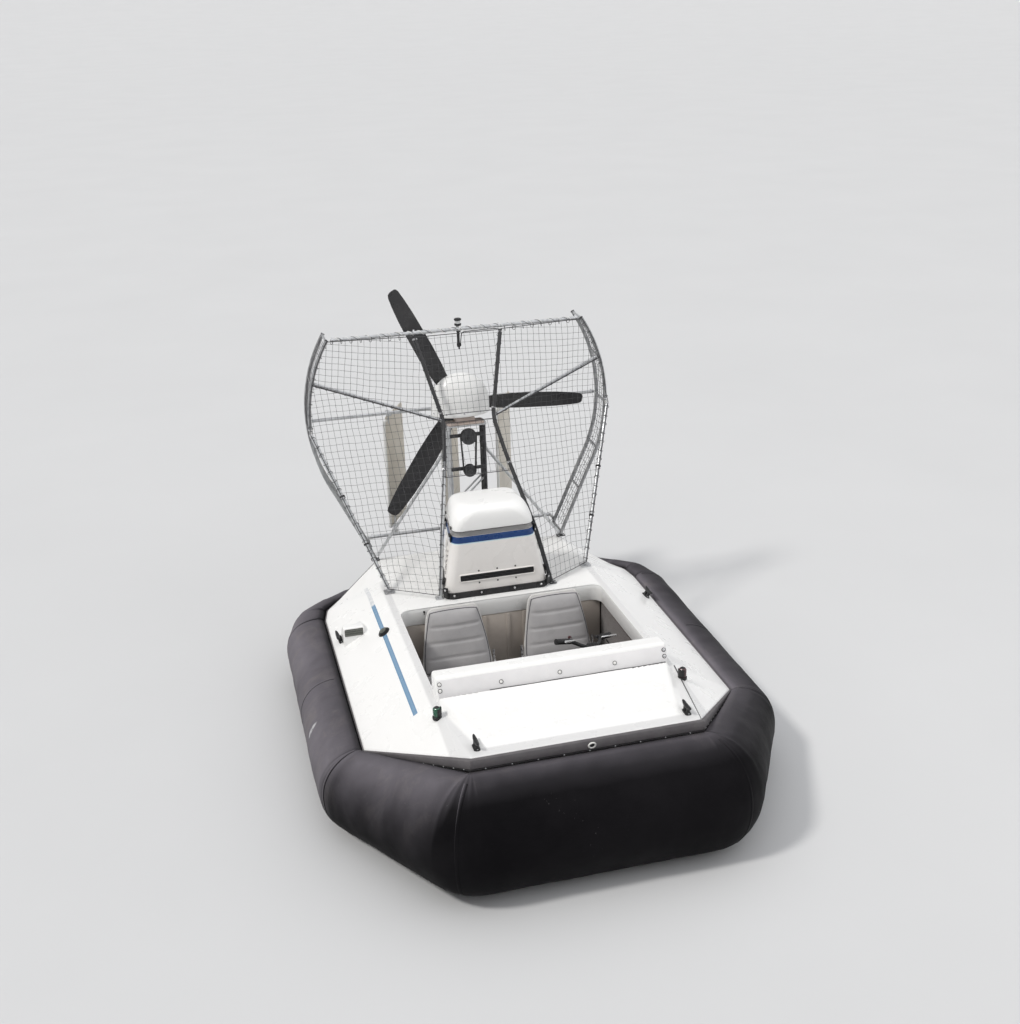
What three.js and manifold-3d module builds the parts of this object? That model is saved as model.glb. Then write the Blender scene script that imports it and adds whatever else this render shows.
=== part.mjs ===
// Two-seat light hovercraft with a bag skirt, an open-topped propeller guard and three rudders.
// Millimetres, +Z up, the floor at z = 0, the bow toward -Y, port toward +X.
// Stations are measured aft from the side-front corner of the deck; Y_MID moves the middle of the length to y = 0.
import * as THREE from "three";
import { ConvexGeometry } from "three/addons/geometries/ConvexGeometry.js";
import { mergeVertices } from "three/addons/utils/BufferGeometryUtils.js";
import Module from "manifold-3d";

const wasm = await Module();
wasm.setup();

// ---------------------------------------------------------------- main sizes
const Y_MID = 765.9; // station of the middle of the whole length
const GAP = 0.3; // clearance between pieces that touch

const BOW_HALF = 563, // half length of the bow edge
  BOW_Y = -593,
  BOW_Z = 660,
  SIDE_HALF = 980, // half width of the deck at its outer edge
  SIDE_Z = 420, // height of the outer deck edge
  SIDE_AFT = 1480, // station where the stern starts to taper
  STERN_HALF = 585,
  STERN_Y = 1868,
  STERN_Z = 600,
  FLAT_HALF = 640; // half width of the flat middle of the deck
const DECK_T = 15; // thickness of the deck moulding

const WELL_HALF = 600, // cockpit opening in the deck
  WELL_FRONT = 92,
  WELL_REAR = 1050,
  WELL_R = 60,
  FOOT_FRONT = -240, // front wall of the footwell under the foredeck
  FLOOR_Z = 120; // cockpit floor

const BAG_LOW = 5; // lowest point of the bag
const HULL_INSET_TOP = 20,
  HULL_INSET_LOW = 145,
  PAN_INSET_LOW = 180,
  PAN_Z = 55;

const PROP_Y = 2045,
  PROP_Z = 1505,
  PROP_R = 825;
const HOOP_R = 930, // guard hoops round the propeller
  HOOP_Z = 1508,
  HOOP_TUBE = 12,
  HOOP_LEAN = 0.07, // aft lean of the hoop planes
  FRONT_HOOP_Y = 1845,
  REAR_HOOP_Y = 2021,
  HOOP_BASE_Z = 620,
  HOOP_TOP_Z = 2005,
  HOOP_TOP_HALF = 776,
  HOOP_FOOT_HALF = 606;

const RUDDER_Y = 2190,
  RUDDER_PITCH = 362,
  RUDDER_MID = -55, // the row of rudders stands a little to starboard
  RUDDER_TOP = 1438,
  RUDDER_LOW = 682,
  RUDDER_AHEAD = 85, // blade ahead of its pivot
  RUDDER_CHORD = 370,
  RUDDER_SET = -28; // degrees from straight aft, turned to port

const STEER_TURN = 37; // degrees that the handlebar is turned to port to match

// height of the flat middle of the deck at a station
const flatZ = (y) => 660 - ((y + 593) / 2461) * 55;
// a point of the guard's hoop planes
const hoopY = (base, z) => base + HOOP_LEAN * (z - HOOP_BASE_Z);

// ---------------------------------------------------------------- geometry helpers
const V = (x, y, z) => new THREE.Vector3(x, y, z);

// Merged, position-only geometry with its collapsed faces dropped.
function clean(geometry) {
  let g = geometry.clone();
  g.deleteAttribute("normal");
  g.deleteAttribute("uv");
  g = mergeVertices(g, 1e-3);
  const i = g.index.array,
    kept = [];
  for (let k = 0; k < i.length; k += 3)
    if (i[k] !== i[k + 1] && i[k + 1] !== i[k + 2] && i[k] !== i[k + 2])
      kept.push(i[k], i[k + 1], i[k + 2]);
  g.setIndex(kept);
  return g;
}

function solid(geometry) {
  const g = clean(geometry);
  return new wasm.Manifold(
    new wasm.Mesh({
      numProp: 3,
      vertProperties: new Float32Array(g.attributes.position.array),
      triVerts: new Uint32Array(g.index.array),
    }),
  );
}

function geometryOf(manifold) {
  const m = manifold.getMesh(),
    n = m.numProp,
    v = new Float32Array(m.numVert * 3);
  for (let i = 0; i < m.numVert; i++)
    v.set(m.vertProperties.subarray(i * n, i * n + 3), i * 3);
  const g = new THREE.BufferGeometry()
    .setAttribute("position", new THREE.BufferAttribute(v, 3))
    .setIndex(new THREE.BufferAttribute(new Uint32Array(m.triVerts), 1));
  g.computeVertexNormals();
  return g;
}

const join = (...gs) =>
  geometryOf(gs.map((g) => solid(g)).reduce((a, b) => a.add(b)));
const cut = (a, ...gs) =>
  geometryOf(gs.map((g) => solid(g)).reduce((s, b) => s.subtract(b), solid(a)));
const common = (a, b) => geometryOf(solid(a).intersect(solid(b)));

const box = (x0, x1, y0, y1, z0, z1) =>
  new THREE.BoxGeometry(x1 - x0, y1 - y0, z1 - z0).translate(
    (x0 + x1) / 2,
    (y0 + y1) / 2,
    (z0 + z1) / 2,
  );
const hull = (points) => new ConvexGeometry(points);
const shifted = (g, x, y, z) => g.clone().translate(x, y, z);

// A closed loft through rings with the same number of points; the ends are capped by fans.
function loft(rings) {
  const n = rings[0].length,
    v = [],
    f = [];
  for (const r of rings) for (const p of r) v.push(p.x, p.y, p.z);
  for (let i = 0; i + 1 < rings.length; i++)
    for (let j = 0; j < n; j++) {
      const a = i * n + j,
        b = i * n + ((j + 1) % n),
        c = a + n,
        d = b + n;
      f.push(a, b, d, a, d, c);
    }
  const last = (rings.length - 1) * n;
  for (let j = 1; j + 1 < n; j++) {
    f.push(0, j + 1, j);
    f.push(last, last + j, last + j + 1);
  }
  let g = new THREE.BufferGeometry()
    .setAttribute("position", new THREE.BufferAttribute(new Float32Array(v), 3))
    .setIndex(f);
  g = clean(g);
  if (volume(g) < 0) g = flipped(g);
  g.computeVertexNormals();
  return g;
}

function volume(g) {
  const p = g.attributes.position,
    i = g.index.array,
    a = V(),
    b = V(),
    c = V();
  let s = 0;
  for (let k = 0; k < i.length; k += 3) {
    a.fromBufferAttribute(p, i[k]);
    b.fromBufferAttribute(p, i[k + 1]);
    c.fromBufferAttribute(p, i[k + 2]);
    s += a.dot(b.cross(c)) / 6;
  }
  return s;
}

function flipped(g) {
  const i = Array.from(g.index.array);
  for (let k = 0; k < i.length; k += 3) [i[k + 1], i[k + 2]] = [i[k + 2], i[k + 1]];
  g.setIndex(i);
  return g;
}

// A straight round bar or tube between two points.
function bar(a, b, r, sides = 8, r2 = r) {
  const d = b.clone().sub(a),
    g = new THREE.CylinderGeometry(r2, r, d.length(), sides, 1);
  g.applyQuaternion(
    new THREE.Quaternion().setFromUnitVectors(V(0, 1, 0), d.clone().normalize()),
  );
  return g.translate((a.x + b.x) / 2, (a.y + b.y) / 2, (a.z + b.z) / 2);
}

// A bent tube: a round section along a polyline whose corners are already eased.
function bent(points, r, sides = 8) {
  const rings = [];
  let normal = null;
  points.forEach((p, k) => {
    const before = points[Math.max(0, k - 1)],
      after = points[Math.min(points.length - 1, k + 1)],
      t = after.clone().sub(before).normalize();
    if (!normal) {
      normal = V(0, 1, 0);
      if (Math.abs(t.dot(normal)) > 0.9) normal = V(1, 0, 0);
    }
    normal = normal.clone().sub(t.clone().multiplyScalar(t.dot(normal))).normalize();
    const side = t.clone().cross(normal),
      ring = [];
    for (let j = 0; j < sides; j++) {
      const q = (j / sides) * 2 * Math.PI;
      ring.push(
        p
          .clone()
          .addScaledVector(normal, r * Math.cos(q))
          .addScaledVector(side, r * Math.sin(q)),
      );
    }
    rings.push(ring);
  });
  return loft(rings);
}

// An outline in x, y extruded from z0 to z1.
function prism(outline, z0, z1) {
  const s = new THREE.Shape(outline.map(([x, y]) => new THREE.Vector2(x, y)));
  return new THREE.ExtrudeGeometry(s, {
    depth: z1 - z0,
    bevelEnabled: false,
    curveSegments: 6,
  }).translate(0, 0, z0);
}

// A profile in y, z extruded from x0 to x1.
function beam(profile, x0, x1) {
  const rings = [x0, x1].map((x) => profile.map(([y, z]) => V(x, y, z)));
  return loft(rings);
}

function roundedBox(x0, x1, y0, y1, r, steps = 4) {
  const out = [];
  for (const [cx, cy, q0] of [
    [x1 - r, y1 - r, 0],
    [x0 + r, y1 - r, 90],
    [x0 + r, y0 + r, 180],
    [x1 - r, y0 + r, 270],
  ])
    for (let k = 0; k <= steps; k++) {
      const q = ((q0 + (90 * k) / steps) * Math.PI) / 180;
      out.push([cx + r * Math.cos(q), cy + r * Math.sin(q)]);
    }
  return out;
}

// ---------------------------------------------------------------- finishes
const finish = {
  gelcoat: { color: 0xf1f1ee, roughness: 0.28, metalness: 0 },
  stripGrey: { color: 0xd4d4d0, roughness: 0.4, metalness: 0.1 },
  bag: { color: 0x1f1e22, roughness: 0.45, metalness: 0 },
  rubber: { color: 0x1b1b1c, roughness: 0.7, metalness: 0 },
  bumper: { color: 0x504d50, roughness: 0.6, metalness: 0 },
  tube: { color: 0xa3a5a7, roughness: 0.38, metalness: 0.9 },
  whiteTube: { color: 0xe4e4e0, roughness: 0.35, metalness: 0.1 },
  net: { color: 0x151517, roughness: 0.8, metalness: 0 },
  rudder: { color: 0xd8d0bd, roughness: 0.45, metalness: 0 },
  prop: { color: 0x161618, roughness: 0.35, metalness: 0 },
  steel: { color: 0xc3c5c8, roughness: 0.25, metalness: 1 },
  engine: { color: 0x5d6064, roughness: 0.5, metalness: 0.8 },
  carpet: { color: 0x2a2421, roughness: 0.95, metalness: 0 },
  seat: { color: 0xb9b7b5, roughness: 0.6, metalness: 0 },
  lamp: { color: 0xf3f3f0, roughness: 0.15, metalness: 0 },
  green: { color: 0x1f7a4a, roughness: 0.2, metalness: 0 },
  red: { color: 0x7a1f22, roughness: 0.2, metalness: 0 },
  black: { color: 0x141414, roughness: 0.5, metalness: 0 },
};

const part = new THREE.Group();
const craft = new THREE.Group();
craft.position.y = -Y_MID;
part.add(craft);
function piece(name, geometry, look, parent = craft) {
  const mesh = new THREE.Mesh(
    geometry,
    new THREE.MeshStandardMaterial(finish[look]),
  );
  mesh.name = name;
  parent.add(mesh);
  return mesh;
}

// ---------------------------------------------------------------- deck outline
// Corner table, port half, from the bow to the stern: x, station, height.
const corners = [
  [BOW_HALF, BOW_Y, BOW_Z],
  [SIDE_HALF, 0, SIDE_Z],
  [SIDE_HALF, SIDE_AFT, SIDE_Z],
  [955, 1590, 428],
  [865, 1685, 447],
  [740, 1788, 505],
  [STERN_HALF, STERN_Y, STERN_Z],
];
const mirrored = corners.map(([x, y, z]) => [-x, y, z]).reverse();
const loop = [...corners, ...mirrored]; // anticlockwise seen from above

// The outline moved inward by a distance, corner by corner, with each corner's own height.
function inset(d, zOf) {
  const n = loop.length;
  return loop.map(([x, y, z], k) => {
    const [px, py] = loop[(k + n - 1) % n],
      [qx, qy] = loop[(k + 1) % n];
    const a = new THREE.Vector2(x - px, y - py).normalize(),
      b = new THREE.Vector2(qx - x, qy - y).normalize();
    const na = new THREE.Vector2(-a.y, a.x),
      nb = new THREE.Vector2(-b.y, b.x),
      m = na.clone().add(nb).normalize(),
      s = d / m.dot(na);
    return V(x + m.x * s, y + m.y * s, zOf(z));
  });
}

// Everything below the deck's upper surface.
const flats = [
  [BOW_HALF, BOW_Y],
  [FLAT_HALF, -50],
  [FLAT_HALF, 1400],
  [STERN_HALF, STERN_Y],
];
const deckTop = [];
for (const s of [1, -1]) {
  for (const [x, y] of flats) deckTop.push(V(s * x, y, flatZ(y)));
  for (const [x, y, z] of corners) {
    deckTop.push(V(s * x, y, Math.min(z, flatZ(y))));
    deckTop.push(V(s * x, y, 300));
  }
}
const form = hull(deckTop);
const deckSkin = common(
  cut(form, shifted(form, 0, 0, -DECK_T)),
  box(-1200, 1200, -900, 2200, 380, 900),
);
const well = prism(
  roundedBox(-WELL_HALF, WELL_HALF, WELL_FRONT, WELL_REAR, WELL_R),
  0,
  1200,
);
const deck = cut(deckSkin, well);
const big = (x0, x1, y0, y1) => box(x0, x1, y0, y1, -50, 1200);
piece(
  "foredeck",
  common(deck, big(-FLAT_HALF + GAP / 2, FLAT_HALF - GAP / 2, -900, WELL_FRONT + 0.1)),
  "gelcoat",
);
piece(
  "aft_deck",
  common(deck, big(-FLAT_HALF + GAP / 2, FLAT_HALF - GAP / 2, WELL_REAR - 0.1, 2200)),
  "gelcoat",
);
for (const [side, s] of [
  ["port", 1],
  ["starboard", -1],
]) {
  // each side deck keeps the narrow flat rim beside the cockpit opening
  const outer = big(...(s > 0 ? [FLAT_HALF + GAP / 2, 1200] : [-1200, -FLAT_HALF - GAP / 2]), -900, 2200);
  const rim = big(
    ...(s > 0 ? [WELL_HALF - 1, FLAT_HALF + 5] : [-FLAT_HALF - 5, -WELL_HALF + 1]),
    WELL_FRONT + 0.1 + GAP,
    WELL_REAR - 0.1 - GAP,
  );
  const g = common(deck, join(outer, rim));
  const bodies = solid(g).decompose();
  bodies.sort((a, b) => b.volume() - a.volume());
  piece("side_deck_" + side, geometryOf(bodies[0]), "gelcoat");
}

// ---------------------------------------------------------------- lower hull
const pan = hull([
  ...inset(HULL_INSET_LOW, () => FLOOR_Z),
  ...inset(PAN_INSET_LOW, () => PAN_Z),
]);
piece("hull_bottom", pan, "gelcoat");

const under = common(
  shifted(form, 0, 0, -DECK_T - GAP),
  hull([
    ...inset(HULL_INSET_TOP, () => 800),
    ...inset(HULL_INSET_TOP, (z) => Math.max(300, z - 30)),
    ...inset(HULL_INSET_LOW, () => FLOOR_Z + GAP),
  ]),
);
piece("bow_hull", common(under, big(-1200, 1200, -900, FOOT_FRONT)), "gelcoat");
piece("stern_hull", common(under, big(-1200, 1200, WELL_REAR + 12, 2200)), "gelcoat");
const WALL_IN = 618; // inner face of the side hulls
piece(
  "side_hull_port",
  common(under, big(WALL_IN, 1200, FOOT_FRONT + GAP, WELL_REAR + 12 - GAP)),
  "carpet",
);
piece(
  "side_hull_starboard",
  common(under, big(-1200, -WALL_IN, FOOT_FRONT + GAP, WELL_REAR + 12 - GAP)),
  "carpet",
);

// landing skids: name, centre x
for (const [name, x] of [
  ["skid_port", 420],
  ["skid_starboard", -420],
])
  piece(
    name,
    beam(
      [
        [-330, PAN_Z - GAP],
        [-250, 0],
        [1560, 0],
        [1620, PAN_Z - GAP],
      ],
      x - 35,
      x + 35,
    ),
    "rubber",
  );

// ---------------------------------------------------------------- bag skirt
// Bag at each outline corner: bottom of the edge trim, lip height, top of the bag, outward reach, trim thickness.
const bagTable = [
  [600, 598.6, 604, 318, 18],
  [395, 418, 434, 246, 9],
  [395, 418, 434, 246, 9],
  [402, 424, 440, 236, 9],
  [400, 418, 432, 226, 9],
  [396, 412, 426, 216, 9],
  [392, 408, 422, 206, 9],
];
const bagAt = (k) => bagTable[k < corners.length ? k : loop.length - 1 - k];
// One section of the bag, square to the deck edge.
function bagSection(x, y, dir, [low, lip, top, swell, trim], innerTop, innerLow) {
  const zc = (top + BAG_LOW) / 2,
    v = (top - BAG_LOW) / 2,
    oc = 34,
    a = swell - oc,
    ring = [];
  const at = (o, z) => V(x + dir.x * o, y + dir.y * o, z);
  ring.push(at(trim + 2.2, low - 1.5));
  ring.push(at(trim + 2.2, lip));
  for (const q of [90, 66, 44, 22, 0, -22, -44, -68, -92]) {
    const r = (q * Math.PI) / 180,
      c = Math.sign(Math.cos(r)) * Math.pow(Math.abs(Math.cos(r)), 0.9),
      s = Math.sign(Math.sin(r)) * Math.pow(Math.abs(Math.sin(r)), 0.9);
    ring.push(at(oc + a * c, zc + v * s));
  }
  ring.push(V(innerLow.x, innerLow.y, 42));
  ring.push(V(innerLow.x, innerLow.y, 95));
  ring.push(V(innerTop.x, innerTop.y, low - 30));
  return ring;
}
const innerTops = inset(HULL_INSET_TOP - 14, (z) => z),
  innerLows = inset(HULL_INSET_LOW - 14, (z) => z);
function alongEdge(k, t) {
  const n = loop.length,
    m = (k + 1) % n,
    mix = (a, b) => a + (b - a) * t,
    p = loop[k],
    q = loop[m],
    dir = new THREE.Vector2(q[1] - p[1], -(q[0] - p[0])).normalize();
  return bagSection(
    mix(p[0], q[0]),
    mix(p[1], q[1]),
    dir,
    bagAt(k).map((v, i) => mix(v, bagAt(m)[i])),
    innerTops[k].clone().lerp(innerTops[m], t),
    innerLows[k].clone().lerp(innerLows[m], t),
  );
}
function atCorner(k, steps) {
  const n = loop.length,
    p = loop[(k + n - 1) % n],
    c = loop[k],
    q = loop[(k + 1) % n],
    a = Math.atan2(-(c[0] - p[0]), c[1] - p[1]),
    b0 = Math.atan2(-(q[0] - c[0]), q[1] - c[1]),
    b = b0 < a - 1e-6 ? b0 + 2 * Math.PI : b0,
    rings = [];
  for (let s = 0; s <= steps; s++) {
    const w = steps ? a + ((b - a) * s) / steps : (a + b) / 2;
    rings.push(
      bagSection(
        c[0],
        c[1],
        new THREE.Vector2(Math.cos(w), Math.sin(w)),
        bagAt(k),
        innerTops[k],
        innerLows[k],
      ),
    );
  }
  return rings;
}
const shareGap = (k, mm) => {
  const p = loop[k],
    q = loop[(k + 1) % loop.length];
  return mm / Math.hypot(q[0] - p[0], q[1] - p[1]);
};
const LAST = loop.length - 1; // the edge across the bow
// name, first edge, share, corners passed with their steps, last edge, share
const bagPieces = [
  ["skirt_bow_corner_port", LAST, 0.94, [[0, 3], [1, 2]], 1, 0.06],
  ["skirt_side_port", 1, 0.06, [], 1, 0.94],
  ["skirt_stern_corner_port", 1, 0.94, [[2, 0], [3, 0], [4, 0], [5, 0], [6, 2]], 6, 0.06],
];
const mirror = (g) => flipped(clean(g).scale(-1, 1, 1));
function bagPiece(e0, t0, mids, e1, t1) {
  const rings = [alongEdge(e0, t0 + shareGap(e0, 0.2))];
  for (const [k, steps] of mids) rings.push(...atCorner(k, steps));
  rings.push(alongEdge(e1, t1 - shareGap(e1, 0.2)));
  return loft(rings);
}
piece("skirt_bow", bagPiece(LAST, 0.06, [], LAST, 0.94), "bag");
piece("skirt_stern", bagPiece(6, 0.06, [], 6, 0.94), "bag");
for (const [name, ...spec] of bagPieces) {
  const g = bagPiece(...spec);
  piece(name, g, "bag");
  piece(name.replace("port", "starboard"), mirror(g), "bag");
}

// ---------------------------------------------------------------- edge trim
// Strip outside the deck edge from corner to corner: height at each corner, thickness.
function edgeStrip(ids, heights, thicks, lift) {
  const n = loop.length;
  const rings = ids.map((k, i) => {
    const p = loop[(k + n - 1) % n],
      c = loop[k],
      q = loop[(k + 1) % n];
    const a = new THREE.Vector2(c[0] - p[0], c[1] - p[1]).normalize(),
      b = new THREE.Vector2(q[0] - c[0], q[1] - c[1]).normalize();
    let m = new THREE.Vector2(a.y, -a.x).add(new THREE.Vector2(b.y, -b.x)).normalize(),
      s = 1 / m.dot(new THREE.Vector2(a.y, -a.x));
    const first = i === 0,
      last = i === ids.length - 1;
    if (first) (m = new THREE.Vector2(b.y, -b.x)), (s = 1);
    if (last) (m = new THREE.Vector2(a.y, -a.x)), (s = 1);
    const off = first ? b.clone().multiplyScalar(1) : last ? a.clone().multiplyScalar(-1) : new THREE.Vector2();
    const out = (d, z) => V(c[0] + m.x * s * d + off.x, c[1] + m.y * s * d + off.y, z);
    const z = c[2] + lift,
      thick = thicks[i];
    return [
      out(GAP, z),
      out(thick, z - 3),
      out(thick, z - heights[i]),
      out(GAP, z - heights[i]),
    ];
  });
  return loft(rings);
}
piece("bow_bumper", edgeStrip([12, 13, 0, 1], [25, 60, 60, 25], [9, 18, 18, 9], -1), "bumper");
piece("edge_batten_port", edgeStrip([1, 2, 3, 4, 5, 6], Array(6).fill(26), Array(6).fill(9), 1), "rubber");
piece("edge_batten_starboard", edgeStrip([7, 8, 9, 10, 11, 12], Array(6).fill(26), Array(6).fill(9), 1), "rubber");

// ---------------------------------------------------------------- foredeck fittings
// Raised panel: rear and front half widths at its foot and at its top.
function raised(yr, yf, rear, front, r, h) {
  const ring = [];
  const add = (x, y) => ring.push(V(x, y, flatZ(y) + h));
  add(-rear, yr);
  add(rear, yr);
  for (const s of [1, -1]) {
    const corner = [];
    for (let k = 0; k <= 3; k++) {
      const q = ((k / 3) * 70 * Math.PI) / 180;
      corner.push([front - r + r * Math.cos(q), yf + r - r * Math.sin(q) * 1.06]);
    }
    if (s < 0) corner.reverse();
    for (const [x, y] of corner) add(s * x, y);
  }
  return ring;
}
piece(
  "foredeck_panel",
  loft([
    raised(-66, -520, 622, 512, 46, GAP),
    raised(-66, -490, 590, 476, 40, 24),
  ]),
  "gelcoat",
);

// coaming beam across the front of the cockpit, with its grey facing board
const COAM_HALF = 607,
  COAM_TOP = 767;
piece(
  "coaming_beam",
  beam(
    [
      [-58, flatZ(-58) + GAP],
      [-10, COAM_TOP],
      [86, COAM_TOP - 6],
      [90, flatZ(90) + GAP],
    ],
    -COAM_HALF,
    COAM_HALF,
  ),
  "gelcoat",
);
const boardLean = Math.atan2(COAM_TOP - flatZ(-58), 48);
const along = (s, t) => [
  -58 + s * Math.cos(boardLean) - t * Math.sin(boardLean),
  flatZ(-58) + s * Math.sin(boardLean) + t * Math.cos(boardLean),
];
piece(
  "coaming_board",
  beam([along(28, GAP), along(28, 7), along(112, 7), along(112, GAP)], -600, 600),
  "stripGrey",
);

// ---------------------------------------------------------------- cockpit
// folding seats: name, centre x
for (const [side, x] of [
  ["port", 300],
  ["starboard", -300],
])
  piece(
    "seat_" + side,
    join(
      prism(roundedBox(x - 190, x + 190, 490, 880, 30, 2), FLOOR_Z + GAP, 240),
      prism(roundedBox(x - 225, x + 225, 440, 905, 60, 3), 225, 305),
      beam(
        [
          [880, 240],
          [972, 655],
          [1016, 645],
          [945, 240],
        ],
        x - 215,
        x + 215,
      ),
    ),
    "seat",
  );

// helm: instrument panel under the foredeck, and a post on the floor that carries the handlebar
const STEER_X = 340;
piece(
  "instrument_panel",
  beam(
    [
      [-2, flatZ(-2) - DECK_T - 6],
      [62, 470],
      [20, 452],
      [-60, flatZ(-60) - DECK_T - 6],
    ],
    110,
    560,
  ),
  "black",
);
const steerDir = V(0, 0.5, 0.866).normalize(),
  postFoot = V(STEER_X, 124, FLOOR_Z),
  onPost = (t) => postFoot.clone().addScaledVector(steerDir, t);
piece(
  "steering_post",
  join(
    bar(onPost(16), onPost(505), 19, 12),
    box(STEER_X - 50, STEER_X + 50, 84, 190, FLOOR_Z + GAP, FLOOR_Z + 12),
  ),
  "black",
);
const steering = new THREE.Group();
steering.position.copy(onPost(505.5));
steering.quaternion.setFromAxisAngle(steerDir, (STEER_TURN * Math.PI) / 180);
craft.add(steering);
// coordinates of the handlebar group: along the post, to port, and square to both
const across = V(1, 0, 0),
  back = steerDir.clone().cross(across).normalize(),
  sp = (a, b, c) =>
    V(0, 0, 0).addScaledVector(steerDir, a).addScaledVector(across, b).addScaledVector(back, c);
piece(
  "handlebar",
  join(
    bar(sp(0, 0, 0), sp(40, 0, 0), 24, 12),
    bent(
      [
        sp(80, -240, 50),
        sp(72, -130, 34),
        sp(30, -64, 0),
        sp(30, 64, 0),
        sp(72, 130, 34),
        sp(80, 240, 50),
      ],
      11,
      8,
    ),
    bar(sp(80, -242, 50), sp(73, -140, 36), 16, 10),
    bar(sp(80, 242, 50), sp(73, 140, 36), 16, 10),
  ),
  "black",
  steering,
);

// ---------------------------------------------------------------- engine and cowl
// Levels: height, front half width, rear half width, front station, rear station, corner radius.
const cowlLevels = [
  [632, 319, 236, 1116, 1502, 46],
  [682, 315, 234, 1119, 1502, 46],
  [973, 251, 216, 1158, 1492, 46],
  [985, 248, 214, 1160, 1491, 46],
  [987, 243, 209, 1165, 1486, 42],
  [1019.6, 240, 207, 1168, 1484, 42],
];
const capLevels = [
  [1020, 245, 213, 1156, 1493, 48],
  [1056, 240, 209, 1160, 1491, 50],
  [1096, 226, 198, 1172, 1484, 58],
  [1124, 208, 182, 1194, 1470, 64],
  [1140, 182, 160, 1224, 1448, 64],
  [1146, 146, 128, 1264, 1410, 60],
];
function levelRing([z, wf, wr, yf, yr, r], grow = 0) {
  const f = wf + grow,
    b = wr + grow,
    y0 = yf - grow,
    y1 = yr + grow,
    q = Math.max(r + grow, 6),
    lean = (f - b) / (y1 - y0),
    ring = [];
  for (const [sx, front, q0] of [
    [1, false, 0],
    [-1, false, 90],
    [-1, true, 180],
    [1, true, 270],
  ]) {
    const cy = front ? y0 + q : y1 - q,
      cx = sx * (f - lean * (cy - y0) - q);
    for (let k = 0; k <= 4; k++) {
      const w = ((q0 + (90 * k) / 4) * Math.PI) / 180;
      ring.push(V(cx + q * Math.cos(w), cy + q * Math.sin(w), z));
    }
  }
  return ring;
}
const withZ = (level, z) => [z, ...level.slice(1)];
piece(
  "engine_cowl",
  cut(
    loft(cowlLevels.map((l) => levelRing(l))),
    loft([
      levelRing(withZ(cowlLevels[0], 600), -12),
      ...cowlLevels.slice(1).map((l) => levelRing(l, -12)),
      levelRing([1060, 236, 203, 1172, 1480, 42], -12),
    ]),
    // the foot follows the deck
    beam(
      [
        [1000, flatZ(1000) + GAP],
        [1700, flatZ(1700) + GAP],
        [1700, 500],
        [1000, 500],
      ],
      -500,
      500,
    ),
  ),
  "gelcoat",
);
// The cap turns forward about its lower front edge.
const capHinge = V(0, 1147, 1018);
const capGroup = new THREE.Group();
capGroup.position.copy(capHinge);
craft.add(capGroup);
piece(
  "cowl_cap",
  cut(
    loft(capLevels.map((l) => levelRing(l))),
    loft([
      levelRing(withZ(capLevels[0], 990), -14),
      levelRing(capLevels[1], -12),
      levelRing(withZ(capLevels[2], 1090), -12),
      levelRing(withZ(capLevels[3], 1115), -12),
      levelRing(withZ(capLevels[4], 1129), -12),
      levelRing(withZ(capLevels[5], 1134), -12),
    ]),
  ).translate(-capHinge.x, -capHinge.y, -capHinge.z),
  "gelcoat",
  capGroup,
);
piece(
  "engine_block",
  join(
    box(-165, 165, 1205, 1440, flatZ(1205) + GAP, 900),
    box(-110, 110, 1225, 1420, 890, 975),
  ),
  "engine",
);

// ---------------------------------------------------------------- drive tower
const DOME_X = -7,
  DOME_Y = 1900,
  DOME_Z = 1563,
  DOME_R = 181,
  DOME_DEEP = 105, // half depth fore and aft
  DOME_SKIRT = 72,
  DOME_WALL = 5;
// tower posts: x, station
const postTable = [
  [-108, 1790],
  [108, 1790],
  [-108, 1850],
  [108, 1850],
];
const HEAD_LOW = 1440;
piece(
  "drive_tower",
  join(
    ...postTable.map(([x, y]) => bar(V(x, y, flatZ(y) + 6), V(x, y, HEAD_LOW + 6), 13, 10)),
    box(-132, 132, 1764, 1862, flatZ(1764) + GAP, flatZ(1764) + 10),
    box(-126, 126, 1768, 1880, HEAD_LOW, 1462),
    box(-60, 60, 1800, 1880, 1455, 1490),
    bar(V(0, 1812, PROP_Z), V(0, 2018, PROP_Z), 25, 16),
    bar(V(0, 1812, PROP_Z), V(0, 1925, PROP_Z), 40, 16),
  ),
  "tube",
);
const domeProfile = [
  new THREE.Vector2(DOME_R - DOME_WALL, -DOME_SKIRT),
  new THREE.Vector2(DOME_R, -DOME_SKIRT),
];
for (let k = 0; k <= 7; k++) {
  const q = ((k / 7) * Math.PI) / 2;
  domeProfile.push(new THREE.Vector2(k === 7 ? 0 : DOME_R * Math.cos(q), DOME_R * Math.sin(q)));
}
for (let k = 7; k >= 0; k--) {
  const q = ((k / 7) * Math.PI) / 2,
    r = DOME_R - DOME_WALL;
  domeProfile.push(new THREE.Vector2(k === 7 ? 0 : r * Math.cos(q), r * Math.sin(q)));
}
domeProfile.push(domeProfile[0].clone());
piece(
  "pulley_dome",
  cut(
    new THREE.LatheGeometry(domeProfile, 28)
      .rotateX(Math.PI / 2)
      .scale(1, DOME_DEEP / DOME_R, 1)
      .translate(DOME_X, DOME_Y, DOME_Z),
    // notch for the shaft
    box(-34, 34, 1950, 2050, 1400, PROP_Z + 34),
  ),
  "gelcoat",
);
const beltSpan = (grow, y0, y1) =>
  loft(
    [y0, y1].map((y) =>
      [
        [-40 + grow, 1130 + grow],
        [40 - grow, 1130 + grow],
        [52 - grow, 1400],
        [52 - grow, 1436 - grow],
        [-52 + grow, 1436 - grow],
        [-52 + grow, 1400],
      ].map(([x, z]) => V(x, y, z)),
    ),
  );
piece("drive_belt", cut(beltSpan(0, 1722, 1752), beltSpan(7, 1712, 1762)), "rubber");

// ---------------------------------------------------------------- propeller
const propeller = new THREE.Group();
propeller.position.set(0, PROP_Y, PROP_Z);
craft.add(propeller);
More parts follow.
